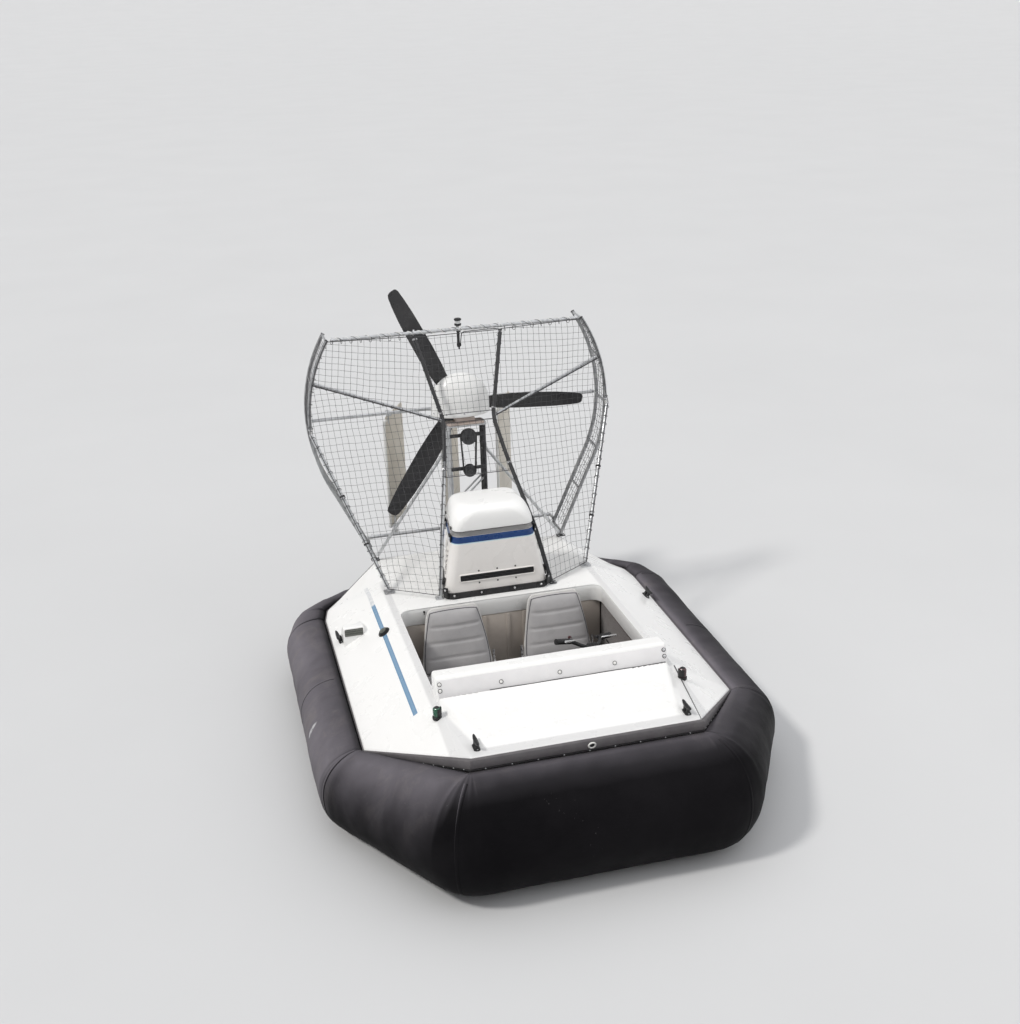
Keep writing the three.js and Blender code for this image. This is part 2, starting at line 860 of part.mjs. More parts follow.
// blade stations: radius, chord, pitch angle, thickness
const bladeStations = [
  [48, 62, 40, 26],
  [140, 100, 35, 18],
  [380, 128, 25, 13],
  [640, 112, 19, 10],
  [PROP_R - 20, 76, 16, 7],
  [PROP_R, 44, 15, 5],
];
function blade(angle) {
  const rings = bladeStations.map(([r, chord, pitch, t]) => {
    const a = (pitch * Math.PI) / 180;
    return [
      [-0.42, 0],
      [-0.25, 0.5],
      [0.1, 0.5],
      [0.58, 0.08],
      [0.58, -0.08],
      [0.1, -0.4],
      [-0.25, -0.4],
    ].map(([c, h]) => {
      const u = c * chord,
        w = h * t;
      return V(r, u * Math.sin(a) + w * Math.cos(a), u * Math.cos(a) - w * Math.sin(a));
    });
  });
  return loft(rings).rotateY((-angle * Math.PI) / 180);
}
piece(
  "propeller",
  join(
    new THREE.CylinderGeometry(60, 60, 50, 20),
    new THREE.CylinderGeometry(40, 28, 14, 16).translate(0, 31, 0),
    blade(116),
    blade(236),
    blade(356),
  ),
  "prop",
  propeller,
);

// ---------------------------------------------------------------- guard
// One hoop: straight legs tangent to the circle, arcs up to the top corners.
function hoopPoints(base, side, rStep = 9) {
  const pts = [],
    at = (x, z) => V(side * x, hoopY(base, z), z);
  pts.push(at(HOOP_FOOT_HALF, HOOP_BASE_Z));
  const q0 = -29,
    q1 = (Math.asin((HOOP_TOP_Z - HOOP_Z) / HOOP_R) * 180) / Math.PI;
  for (let k = 0; k <= rStep; k++) {
    const q = ((q0 + ((q1 - q0) * k) / rStep) * Math.PI) / 180;
    pts.push(at(HOOP_R * Math.cos(q), HOOP_Z + HOOP_R * Math.sin(q)));
  }
  return pts;
}
// heights of the rungs between the two hoops of a side
const RUNG_Z = [632, 910, 1170, 1465, 1755, 2000];
function onHoopLine(base, side, z) {
  const q = Math.asin(THREE.MathUtils.clamp((z - HOOP_Z) / HOOP_R, -1, 1)),
    qLow = (-29 * Math.PI) / 180;
  if (q >= qLow) return V(side * HOOP_R * Math.cos(q), hoopY(base, z), z);
  const zk = HOOP_Z + HOOP_R * Math.sin(qLow),
    xk = HOOP_R * Math.cos(qLow),
    t = (z - HOOP_BASE_Z) / (zk - HOOP_BASE_Z);
  return V(side * (HOOP_FOOT_HALF + (xk - HOOP_FOOT_HALF) * t), hoopY(base, z), z);
}
for (const [side, s] of [
  ["port", 1],
  ["starboard", -1],
]) {
  const front = hoopPoints(FRONT_HOOP_Y, s),
    rear = hoopPoints(REAR_HOOP_Y, s);
  const rungs = RUNG_Z.map((z) => bar(onHoopLine(FRONT_HOOP_Y, s, z), onHoopLine(REAR_HOOP_Y, s, z), 8, 6));
  piece(
    "guard_hoop_" + side,
    join(bent(front, HOOP_TUBE), bent(rear, HOOP_TUBE), ...rungs),
    "tube",
  );
}
const wide = (s) => V(s * 933, hoopY(FRONT_HOOP_Y, 1460) - 27, 1460);
const legFoot = (s) => V(s * HOOP_FOOT_HALF, 1333, flatZ(1333) + 20);
// inner posts stand beside the engine cowl, lean aft to a knee and run up to the top bar
const innerPath = [
  [334, 1152, flatZ(1152) + 18],
  [283, 1287, 928],
  [190, 1562, 1306],
  [153, 1717, 1509],
  [267, 1927, 1984],
];
for (const [side, s] of [
  ["port", 1],
  ["starboard", -1],
]) {
  const P = innerPath.map(([x, y, z]) => V(s * x, y, z));
  piece(
    "guard_leg_" + side,
    join(
      bar(legFoot(s), wide(s), 14, 10),
      box(s * 606 - 30, s * 606 + 30, 1303, 1363, flatZ(1303) + GAP, flatZ(1303) + 9),
      bar(V(s * 606, 1333, flatZ(1333) + 2), legFoot(s), 14, 10),
    ),
    "whiteTube",
  );
  piece(
    "guard_inner_post_" + side,
    join(
      bent(P, 12),
      box(s * 345 - 20, s * 345 + 20, 1130, 1170, flatZ(1130) + GAP, flatZ(1130) + 8),
      bar(V(s * 336, 1150, flatZ(1150) + 2), P[0], 12, 10),
      // spoke to the hoop
      bar(P[3], V(s * 880, hoopY(FRONT_HOOP_Y, 1755), 1755), 9, 8),
    ),
    "tube",
  );
}
for (const [side, s] of [
  ["port", 1],
  ["starboard", -1],
])
  piece(
    "guard_brace_" + side,
    bar(V(s * 131, 1856, 1262), V(s * 592, 1836, flatZ(1836) + 30), 10, 8),
    "tube",
  );
piece(
  "guard_top_bar",
  bar(
    V(-HOOP_TOP_HALF + 15, hoopY(FRONT_HOOP_Y, 2005), 2005),
    V(HOOP_TOP_HALF - 15, hoopY(FRONT_HOOP_Y, 2005), 2005),
    13,
    10,
  ),
  "tube",
);

// cross bars behind the propeller with the rudder brackets
const CROSS_Y = 2108,
  CROSS_Z = 1470,
  LOW_BAR_Z = 651,
  RUDDER_X = [-1, 0, 1].map((k) => RUDDER_MID + k * RUDDER_PITCH);
piece(
  "guard_cross_bar",
  join(
    bar(V(-922, CROSS_Y, CROSS_Z), V(922, CROSS_Y, CROSS_Z), 11, 8),
    ...RUDDER_X.flatMap((x) => [
      box(x - 14, x + 14, CROSS_Y - 4, RUDDER_Y + 14, CROSS_Z - 20, CROSS_Z - 10),
      bar(V(x, RUDDER_Y, RUDDER_TOP + 0.5), V(x, RUDDER_Y, CROSS_Z - 14), 13, 10),
    ]),
  ),
  "tube",
);
piece(
  "guard_lower_bar",
  join(
    bar(V(-HOOP_FOOT_HALF - 10, CROSS_Y, LOW_BAR_Z), V(HOOP_FOOT_HALF + 10, CROSS_Y, LOW_BAR_Z), 11, 8),
    ...[-1, 1].map((s) =>
      bar(
        V(s * (HOOP_FOOT_HALF + 12), hoopY(REAR_HOOP_Y, LOW_BAR_Z) + 15, LOW_BAR_Z),
        V(s * (HOOP_FOOT_HALF + 4), CROSS_Y, LOW_BAR_Z),
        11,
        8,
      ),
    ),
    ...RUDDER_X.flatMap((x) => [
      box(x - 14, x + 14, CROSS_Y - 4, RUDDER_Y + 14, LOW_BAR_Z + 3, LOW_BAR_Z + 11),
      bar(V(x, RUDDER_Y, LOW_BAR_Z + 4), V(x, RUDDER_Y, RUDDER_LOW - 0.5), 13, 10),
    ]),
  ),
  "tube",
);

// ---------------------------------------------------------------- safety net panels
// A flat plate through three points of its plane, from an outline of points on it.
function plate(points, t) {
  const n = points[1].clone().sub(points[0]).cross(points[2].clone().sub(points[0])).normalize(),
    h = n.multiplyScalar(t / 2);
  return hull([...points.map((p) => p.clone().add(h)), ...points.map((p) => p.clone().sub(h))]);
}
const NET_T = 5;
const AHEAD = 22; // the net hangs on the front of the tubes
// A folded sheet: triangles over shared points, moved forward and given a thickness.
function folded(points, faces, ahead, t) {
  const normals = points.map(() => V(0, 0, 0));
  for (const [a, b, c] of faces) {
    const n = points[b].clone().sub(points[a]).cross(points[c].clone().sub(points[a])).normalize();
    if (n.y > 0) n.negate();
    for (const k of [a, b, c]) normals[k].add(n);
  }
  normals.forEach((n) => n.normalize());
  const layer = (d) => points.map((p, k) => p.clone().addScaledVector(normals[k], d)),
    verts = [...layer(ahead + t / 2), ...layer(ahead - t / 2)],
    N = points.length,
    tris = [],
    edges = new Map();
  for (const [a, b, c] of faces) {
    tris.push([a, b, c], [a + N, c + N, b + N]);
    for (const [i, j] of [
      [a, b],
      [b, c],
      [c, a],
    ])
      edges.set(i + "," + j, [i, j]);
  }
  for (const [i, j] of edges.values())
    if (!edges.has(j + "," + i)) tris.push([j, i, i + N], [j, i + N, j + N]);
  const g = new THREE.BufferGeometry();
  g.setAttribute("position", new THREE.Float32BufferAttribute(verts.flatMap((p) => [p.x, p.y, p.z]), 3));
  g.setIndex(tris.flat());
  return volume(g) < 0 ? flipped(g) : g;
}
const between = (p, q, t) => p.clone().lerp(q, t);
for (const [side, s] of [
  ["port", 1],
  ["starboard", -1],
]) {
  const [foot, low, knee, bracket, top] = innerPath.map(([x, y, z]) => V(s * x, y, z)),
    onHoop = (z) => {
      const p = onHoopLine(FRONT_HOOP_Y, s, z);
      return V(p.x - s * 4, p.y, z);
    },
    leg = wide(s),
    legLow = legFoot(s);
  // upper half: from the inner post to the hoop, folded along the line to the top corner
  piece(
    "net_upper_" + side,
    folded(
      [bracket, top, onHoop(1998), onHoop(1880), onHoop(1757)],
      [
        [0, 1, 2],
        [0, 2, 3],
        [0, 3, 4],
      ],
      AHEAD,
      NET_T,
    ),
    "net",
  );
  // lower half: from the spoke down to the deck between the inner post and the leg
  const a = between(bracket, knee, 0.06),
    spokeEnd = onHoop(1738);
  piece(
    "net_lower_" + side,
    folded(
      [a, spokeEnd, onHoop(1600), leg, knee, legLow, low, foot],
      [
        [0, 1, 2],
        [0, 2, 3],
        [0, 3, 4],
        [4, 3, 5],
        [4, 5, 6],
        [6, 5, 7],
      ],
      AHEAD,
      NET_T,
    ),
    "net",
  );
}
// between the inner posts, ahead of the pulley dome and down behind the cowl
const postLine = (s, z) => {
  const k = z > innerPath[3][2] ? 3 : z > innerPath[2][2] ? 2 : 1,
    [x0, y0, z0] = innerPath[k],
    [x1, y1, z1] = innerPath[k + 1],
    t = (z - z0) / (z1 - z0);
  return V(s * (x0 + (x1 - x0) * t - 20), y0 + (y1 - y0) * t, z);
};
for (const [name, levels] of [
  ["net_upper_centre", [1540, 1980]],
  ["net_lower_centre", [1225, 1306, 1492]],
])
  piece(
    name,
    folded(
      levels.flatMap((z) => [postLine(-1, z), postLine(1, z)]),
      levels.slice(1).flatMap((z, k) => [
        [2 * k, 2 * k + 1, 2 * k + 3],
        [2 * k, 2 * k + 3, 2 * k + 2],
      ]),
      AHEAD,
      NET_T,
    ),
    "net",
  );

// ---------------------------------------------------------------- rudders
for (const [k, name] of ["rudder_starboard", "rudder_centre", "rudder_port"].entries()) {
  const pivot = new THREE.Group();
  pivot.position.set(RUDDER_X[k], RUDDER_Y, 0);
  pivot.rotation.z = (RUDDER_SET * Math.PI) / 180;
  craft.add(pivot);
  const L = RUDDER_LOW + 8,
    T = RUDDER_TOP - 8,
    F = -RUDDER_AHEAD,
    C = RUDDER_CHORD - RUDDER_AHEAD;
  piece(
    name,
    join(
      bar(V(0, 0, RUDDER_LOW), V(0, 0, RUDDER_LOW + 60), 9, 10),
      bar(V(0, 0, RUDDER_TOP - 60), V(0, 0, RUDDER_TOP), 9, 10),
      bent([V(0, F + 8, L + 6), V(0, F + 8, T - 18), V(0, F + 14, T - 6), V(0, F + 26, T), V(0, 30, T)], 8),
      loft(
        [
          [-3, L, T],
          [3, L, T],
        ].map(([dx, z0, z1]) => [
          V(dx, F + 8, z0 + 4),
          V(dx, C - 74, z0),
          V(dx, C - 24, z0 + 20),
          V(dx, C, z0 + 66),
          V(dx, C, z1),
          V(dx, F + 8, z1),
        ]),
      ),
    ),
    "rudder",
    pivot,
  );
}

// ---------------------------------------------------------------- all-round light
const MAST_Y = hoopY(FRONT_HOOP_Y, 2005) + 22.5;
piece(
  "mast_light",
  join(
    bar(V(13, MAST_Y, 1887), V(13, MAST_Y, 2026), 9, 10),
    bar(V(13, MAST_Y, 2022), V(13, MAST_Y, 2067), 23, 14),
  ),
  "lamp",
);

export default part;
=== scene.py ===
# Looks of a light two-seat hovercraft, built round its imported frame.
# Metres, bow toward -Y, port toward +X, floor at z = 0.
import math

import bmesh
import bpy
import numpy as np
from mathutils import Matrix, Vector, noise


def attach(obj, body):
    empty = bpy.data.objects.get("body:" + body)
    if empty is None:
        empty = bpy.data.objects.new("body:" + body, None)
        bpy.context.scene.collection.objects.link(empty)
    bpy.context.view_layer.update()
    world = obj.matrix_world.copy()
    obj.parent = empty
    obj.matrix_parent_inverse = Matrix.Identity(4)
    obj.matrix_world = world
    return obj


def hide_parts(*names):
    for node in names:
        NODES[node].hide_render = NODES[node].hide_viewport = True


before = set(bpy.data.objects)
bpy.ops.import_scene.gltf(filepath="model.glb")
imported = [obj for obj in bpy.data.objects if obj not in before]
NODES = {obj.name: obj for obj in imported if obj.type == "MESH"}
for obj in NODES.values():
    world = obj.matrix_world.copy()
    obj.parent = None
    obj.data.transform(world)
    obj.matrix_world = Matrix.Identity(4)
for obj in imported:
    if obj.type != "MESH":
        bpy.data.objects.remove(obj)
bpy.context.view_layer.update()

Y_MID = 0.7659


def S(y):
    """Station aft of the side-front deck corner (m) to row y."""
    return y - Y_MID


def flat_z(y):
    """Height of the flat middle of the deck at a station."""
    return 0.660 - (y + 0.593) / 2.461 * 0.055


# ------------------------------------------------------------------ materials
class Look:
    """A small builder of node materials."""

    def __init__(self, name, base=(0.8, 0.8, 0.8), rough=0.5, metal=0.0, **sockets):
        self.m = bpy.data.materials.new(name)
        self.m.use_nodes = True
        self.t = self.m.node_tree
        self.b = self.t.nodes["Principled BSDF"]
        self.b.inputs["Base Color"].default_value = (*base, 1)
        self.b.inputs["Roughness"].default_value = rough
        self.b.inputs["Metallic"].default_value = metal
        for k, v in sockets.items():
            self.b.inputs[k.replace("_", " ")].default_value = v
        self.co = self.t.nodes.new("ShaderNodeTexCoord").outputs["Object"]
        self.normal = None

    def node(self, kind, **props):
        n = self.t.nodes.new(kind)
        for k, v in props.items():
            setattr(n, k, v)
        return n

    def link(self, a, b):
        if isinstance(a, (int, float)):
            b.default_value = a
        elif isinstance(a, tuple):
            b.default_value = (*a, 1) if len(a) == 3 and len(b.default_value) == 4 else a
        else:
            self.t.links.new(a, b)

    def scaled(self, s, offset=(0, 0, 0)):
        n = self.node("ShaderNodeMapping")
        self.link(self.co, n.inputs["Vector"])
        n.inputs["Scale"].default_value = s if isinstance(s, tuple) else (s, s, s)
        n.inputs["Location"].default_value = offset
        return n.outputs["Vector"]

    def noise(self, scale, detail=4, rough=0.55, warp=0.0, offset=(0, 0, 0)):
        n = self.node("ShaderNodeTexNoise")
        self.link(self.scaled(scale, offset), n.inputs["Vector"])
        n.inputs["Scale"].default_value = 1
        n.inputs["Detail"].default_value = detail
        n.inputs["Roughness"].default_value = rough
        n.inputs["Distortion"].default_value = warp
        return n.outputs["Fac"]

    def cells(self, scale, feature="F1", offset=(0, 0, 0)):
        n = self.node("ShaderNodeTexVoronoi", feature=feature)
        self.link(self.scaled(scale, offset), n.inputs["Vector"])
        n.inputs["Scale"].default_value = 1
        return n.outputs["Distance"]

    def wave(self, scale, axis="X", warp=0.0, detail=2):
        n = self.node("ShaderNodeTexWave", wave_type="BANDS", bands_direction=axis, wave_profile="SIN")
        self.link(self.scaled(scale), n.inputs["Vector"])
        n.inputs["Scale"].default_value = 1
        n.inputs["Distortion"].default_value = warp
        n.inputs["Detail"].default_value = detail
        return n.outputs["Fac"]

    def ramp(self, fac, *stops):
        n = self.node("ShaderNodeValToRGB")
        e = n.color_ramp.elements
        while len(e) < len(stops):
            e.new(0.5)
        for k, (p, c) in enumerate(stops):
            e[k].position = p
            c = (c, c, c) if isinstance(c, (int, float)) else c
            e[k].color = (*c, 1)
        self.link(fac, n.inputs["Fac"])
        return n.outputs["Color"]

    def mix(self, fac, a, b, blend="MIX"):
        n = self.node("ShaderNodeMix", data_type="RGBA", blend_type=blend)
        self.link(fac, n.inputs[0])
        self.link(a, n.inputs[6])
        self.link(b, n.inputs[7])
        return n.outputs[2]

    def math(self, op, a, b=0.0, clamp=False):
        n = self.node("ShaderNodeMath", operation=op, use_clamp=clamp)
        self.link(a, n.inputs[0])
        self.link(b, n.inputs[1])
        return n.outputs[0]

    def xyz(self):
        n = self.node("ShaderNodeSeparateXYZ")
        self.link(self.co, n.inputs[0])
        return n.outputs

    def step(self, v, lo, hi):
        """0 below lo and 1 above hi."""
        n = self.node("ShaderNodeMapRange")
        self.link(v, n.inputs["Value"])
        n.inputs["From Min"].default_value = lo
        n.inputs["From Max"].default_value = hi
        return n.outputs["Result"]

    def color(self, c):
        self.link(c, self.b.inputs["Base Color"])
        return self

    def rough(self, r):
        self.link(r, self.b.inputs["Roughness"])
        return self

    def bump(self, height, strength=0.2, distance=0.001):
        n = self.node("ShaderNodeBump")
        n.inputs["Strength"].default_value = strength
        n.inputs["Distance"].default_value = distance
        self.link(height, n.inputs["Height"])
        if self.normal is not None:
            self.link(self.normal, n.inputs["Normal"])
        self.normal = n.outputs["Normal"]
        self.link(self.normal, self.b.inputs["Normal"])
        return self


def gelcoat(name, light=(0.93, 0.93, 0.915), dark=(0.91, 0.908, 0.893), stain=0.04, stripe=False):
    k = Look(name, light, 0.26, Specular_IOR_Level=0.5, Coat_Weight=0.25, Coat_Roughness=0.12)
    c = k.mix(k.ramp(k.noise(1.6, 5, 0.6), (0.35, 0.0), (0.75, 1.0)), light, dark)
    # faint drip marks and dirt that gathers in patches
    marks = k.ramp(k.noise(9, 8, 0.7, 1.2), (0.56, 0.0), (0.74, 1.0))
    c = k.mix(k.math("MULTIPLY", marks, stain), c, (0.68, 0.655, 0.60))
    runs = k.ramp(k.noise((34, 5, 34), 5, 0.6), (0.6, 0.0), (0.78, 1.0))
    c = k.mix(k.math("MULTIPLY", runs, stain * 0.06), c, (0.62, 0.60, 0.56))
    specks = k.ramp(k.cells(46), (0.0, 1.0), (0.045, 0.0))
    c = k.mix(k.math("MULTIPLY", specks, stain * 0.8), c, (0.33, 0.31, 0.28))
    if stripe:
        x, y, _ = k.xyz()
        # edge stripe of the starboard side deck, its last third worn grey
        off = k.math("ABSOLUTE", k.math("ADD", x, 0.716))
        band = k.math("SUBTRACT", 1.0, k.step(off, 0.0105, 0.0113))
        along = k.math("MULTIPLY", k.step(y, S(-0.038), S(-0.036)), k.math("SUBTRACT", 1.0, k.step(y, S(1.57), S(1.575))))
        worn = k.step(y, S(1.265), S(1.285))
        wear = k.ramp(k.noise(28, 6, 0.7), (0.38, 0.25), (0.62, 1.0))
        blue = k.mix(k.noise(40, 3), (0.105, 0.24, 0.40), (0.15, 0.29, 0.46))
        # paler middle between two darker lines
        blue = k.mix(k.math("SUBTRACT", 1.0, k.step(off, 0.0050, 0.0072)), blue, (0.20, 0.335, 0.485))
        paint = k.mix(worn, blue, (0.62, 0.64, 0.66))
        keep = k.mix(worn, (1.0, 1.0, 1.0), wear)
        c = k.mix(k.math("MULTIPLY", k.math("MULTIPLY", band, along), keep), c, paint)
        # painted shade: the flat bands beside the cockpit and on the foredeck outside the raised panel are made a
        # little greyer than the panels
        ax = k.math("ABSOLUTE", x)
        shaded_lane = k.math("MULTIPLY", k.step(ax, 0.596, 0.606), k.math("SUBTRACT", 1.0, k.step(ax, 0.636, 0.646)))
        shaded_lane = k.math("MULTIPLY", shaded_lane, k.math("SUBTRACT", 1.0, k.step(y, S(1.45), S(1.52))))
        edge = k.math("ADD", 0.512, k.math("MULTIPLY", k.math("SUBTRACT", y, S(-0.520)), 0.110 / 0.454))
        inside = k.math("MULTIPLY", k.math("SUBTRACT", 1.0, k.step(k.math("SUBTRACT", ax, edge), -0.010, 0.004)), k.step(y, S(-0.530), S(-0.516)))
        front = k.math("MULTIPLY", k.math("SUBTRACT", 1.0, k.step(y, S(-0.07), S(-0.05))), k.math("SUBTRACT", 1.0, k.step(ax, 0.60, 0.64)))
        band = k.math("MAXIMUM", shaded_lane, k.math("MULTIPLY", front, k.math("SUBTRACT", 1.0, inside)))
        # mix in the painted shade of the flat bands
        c = k.mix(k.math("MULTIPLY", band, 0.75), c, (0.70, 0.70, 0.70))
    k.color(c)
    k.rough(k.ramp(k.noise(6, 5, 0.6), (0.3, 0.25), (0.75, 0.34)))
    k.bump(k.noise(260, 2), 0.02, 0.0006)
    k.bump(k.noise(4.5, 3), 0.05, 0.004)
    return k.m


def tube_look(name, a, b, rough=0.36, metal=0.85, wear=(0.16, 0.12, 0.09)):
    k = Look(name, a, rough, metal)
    c = k.mix(k.ramp(k.cells((60, 60, 22)), (0.1, 0.0), (0.7, 1.0)), a, b)
    spots = k.ramp(k.noise(38, 8, 0.72), (0.62, 0.0), (0.74, 1.0))
    c = k.mix(k.math("MULTIPLY", spots, 0.55), c, wear)
    k.color(c)
    k.rough(k.ramp(k.noise(30, 5), (0.3, rough - 0.08), (0.75, rough + 0.2)))
    k.bump(k.noise(180, 4), 0.12, 0.0006)
    return k.m


def bag_look():
    k = Look("bag_fabric", (0.014, 0.013, 0.016), 0.45, Specular_IOR_Level=0.035, Sheen_Weight=0.0, Sheen_Roughness=0.4)
    k.b.inputs["Sheen Tint"].default_value = (0.72, 0.69, 0.78, 1)
    c = k.mix(k.ramp(k.noise(2.2, 6, 0.6), (0.3, 0.0), (0.75, 1.0)), (0.0045, 0.0042, 0.005), (0.0105, 0.0098, 0.0112))
    # painted sunlight and sky sheen: top faces and the starboard side, where the key light falls, are lighter and front
    # faces darker; the dust in long soft runs shows only where it is painted lit, so it is partly dust and partly
    # painted light
    dust = k.ramp(k.noise((7, 7, 3), 8, 0.68, 0.8), (0.52, 0.0), (0.80, 1.0))
    geo = k.node("ShaderNodeNewGeometry")
    sep = k.node("ShaderNodeSeparateXYZ")
    k.link(geo.outputs["Normal"], sep.inputs[0])
    # mask of painted sunlight from the world normal: starboard and top faces lit, front faces shaded
    bow = k.math("MAXIMUM", k.math("MULTIPLY", sep.outputs[1], -1.30), 0.0)
    lit = k.math("SUBTRACT", k.math("ADD", k.math("MULTIPLY", sep.outputs[0], -0.85), k.math("MULTIPLY", sep.outputs[2], 0.50)), bow)
    painted_sunlit = k.math("POWER", k.step(lit, -0.05, 0.95), 1.5)
    # painted sky light: faces that point up are lighter, less so toward the front
    c = k.mix(k.math("MULTIPLY", k.step(k.math("SUBTRACT", sep.outputs[2], k.math("MULTIPLY", bow, 0.5)), 0.35, 0.98), 0.30), c, (0.100, 0.094, 0.105))
    # painted sheen: lighter soft patches on the painted-lit faces
    sheen_patch = k.ramp(k.noise((2.6, 1.3, 3.4), 6, 0.62, 0.5, (2.0, 0.7, 4.0)), (0.30, 0.66), (0.70, 1.0))
    c = k.mix(k.math("MULTIPLY", painted_sunlit, sheen_patch), c, (0.178, 0.166, 0.186))
    # dust laid only on the painted-lit faces: partly dust, partly painted light
    c = k.mix(k.math("MULTIPLY", k.math("MULTIPLY", dust, painted_sunlit), 0.45), c, (0.24, 0.215, 0.20))
    # a rubbed place on the starboard side
    x, y, z = k.xyz()
    spot = k.math("ADD", k.math("POWER", k.math("DIVIDE", k.math("SUBTRACT", y, S(0.40)), 0.018), 2.0), k.math("POWER", k.math("DIVIDE", k.math("SUBTRACT", z, 0.335), 0.050), 2.0))
    near = k.math("MULTIPLY", k.math("SUBTRACT", 1.0, k.step(spot, 0.35, 1.0)), k.step(k.math("MULTIPLY", x, -1.0), 1.0, 1.05))
    c = k.mix(k.math("MULTIPLY", near, k.ramp(k.noise((60, 60, 26), 6, 0.7), (0.36, 0.0), (0.52, 1.0))), c, (0.52, 0.52, 0.53))
    # pale scuffs
    rub = k.ramp(k.noise((90, 90, 20), 6, 0.7), (0.66, 0.0), (0.70, 1.0))
    where = k.ramp(k.noise(2.7, 2, 0.5, 0, (3.1, 0.4, 1.7)), (0.60, 0.0), (0.66, 1.0))
    c = k.mix(k.math("MULTIPLY", k.math("MULTIPLY", rub, where), 0.35), c, (0.30, 0.29, 0.29))
    k.color(c)
    k.rough(k.ramp(k.noise(5, 7, 0.65), (0.3, 0.42), (0.7, 0.60)))
    k.bump(k.noise(300, 3), 0.22, 0.0007)
    k.bump(k.noise(22, 5, 0.6), 0.25, 0.004)
    return k.m


def rubber_look(name, a, b, rough=0.65):
    k = Look(name, a, rough, Specular_IOR_Level=0.4)
    c = k.mix(k.ramp(k.noise(14, 6, 0.65), (0.35, 0.0), (0.7, 1.0)), a, b)
    chalk = k.ramp(k.noise(70, 6, 0.7), (0.6, 0.0), (0.75, 1.0))
    c = k.mix(k.math("MULTIPLY", chalk, 0.4), c, (0.22, 0.21, 0.21))
    k.color(c)
    k.rough(k.ramp(k.noise(24, 4), (0.3, rough - 0.12), (0.7, rough + 0.15)))
    k.bump(k.noise(420, 3), 0.35, 0.0006)
    return k.m


def block_look():
    """Hull blocks: brown sprayed lining inside the cockpit, white moulding everywhere else."""
    k = Look("hull_blocks", (0.06, 0.05, 0.045), 0.8, Specular_IOR_Level=0.35)
    x, y, _ = k.xyz()
    out = k.math("ADD", k.step(k.math("ABSOLUTE", x), 0.640, 0.642), k.math("ADD", k.step(y, S(1.062), S(1.064)), k.math("SUBTRACT", 1.0, k.step(y, S(-0.075), S(-0.073)))), True)
    brown = k.mix(k.ramp(k.noise(26, 6, 0.65), (0.35, 0.0), (0.65, 1.0)), (0.055, 0.043, 0.038), (0.100, 0.080, 0.072))
    white = k.mix(k.noise(3, 4), (0.90, 0.90, 0.885), (0.84, 0.835, 0.82))
    k.color(k.mix(out, brown, white))
    k.rough(k.ramp(k.noise(20, 5), (0.3, 0.45), (0.7, 0.7)))
    k.bump(k.noise(240, 4, 0.6), 0.12, 0.0008)
    return k.m


def cord_look():
    k = Look("net_cord", (0.02, 0.02, 0.022), 0.8, Sheen_Weight=0.15)
    c = k.mix(k.noise(60, 3), (0.030, 0.030, 0.033), (0.085, 0.083, 0.086))
    k.color(c).rough(0.82)
    k.bump(k.wave((900, 900, 900), "DIAGONAL"), 0.5, 0.0006)
    return k.m


def vinyl_look(name, a, b):
    k = Look(name, a, 0.48, Specular_IOR_Level=0.45)
    c = k.mix(k.ramp(k.noise(6, 5, 0.6), (0.35, 0.0), (0.7, 1.0)), a, b)
    grime = k.ramp(k.noise(18, 8, 0.7), (0.58, 0.0), (0.78, 1.0))
    c = k.mix(k.math("MULTIPLY", grime, 0.3), c, (0.24, 0.22, 0.20))
    k.color(c)
    k.rough(k.ramp(k.noise(20, 4), (0.3, 0.4), (0.7, 0.6)))
    k.bump(k.cells(420), 0.35, 0.0008)
    k.bump(k.noise(16, 4), 0.25, 0.003)
    return k.m


def carpet_look(name, a, b):
    k = Look(name, a, 0.95, Sheen_Weight=0.3, Sheen_Roughness=0.6, Specular_IOR_Level=0.2)
    c = k.mix(k.ramp(k.noise(5, 7, 0.7), (0.3, 0.0), (0.72, 1.0)), a, b)
    k.color(c)
    k.bump(k.noise(600, 4, 0.8), 0.8, 0.002)
    k.bump(k.noise(26, 4), 0.3, 0.004)
    return k.m


def paint_look(name, a, b, rough=0.4, metal=0.0, chips=(0.35, 0.34, 0.33), amount=0.3):
    k = Look(name, a, rough, metal)
    c = k.mix(k.ramp(k.noise(7, 6, 0.6), (0.3, 0.0), (0.72, 1.0)), a, b)
    worn = k.ramp(k.noise(52, 8, 0.74), (0.64, 0.0), (0.72, 1.0))
    c = k.mix(k.math("MULTIPLY", worn, amount), c, chips)
    k.color(c)
    k.rough(k.ramp(k.noise(19, 5), (0.3, max(0.05, rough - 0.1)), (0.75, rough + 0.16)))
    k.bump(k.noise(210, 3), 0.1, 0.0006)
    return k.m


def steel_look():
    k = Look("stainless", (0.72, 0.72, 0.73), 0.24, 1.0)
    k.color(k.mix(k.noise(55, 4), (0.62, 0.62, 0.63), (0.82, 0.82, 0.83)))
    k.rough(k.ramp(k.noise(90, 4), (0.3, 0.16), (0.7, 0.38)))
    k.bump(k.noise(500, 2), 0.08, 0.0003)
    return k.m


def lens_look(name, colour):
    k = Look(name, colour, 0.12, Specular_IOR_Level=0.6, Coat_Weight=0.6, Coat_Roughness=0.04)
    k.color(k.mix(k.wave((0, 0, 700), "Z"), colour, tuple(c * 0.6 for c in colour)))
    k.bump(k.wave((0, 0, 700), "Z"), 0.3, 0.0008)
    return k.m


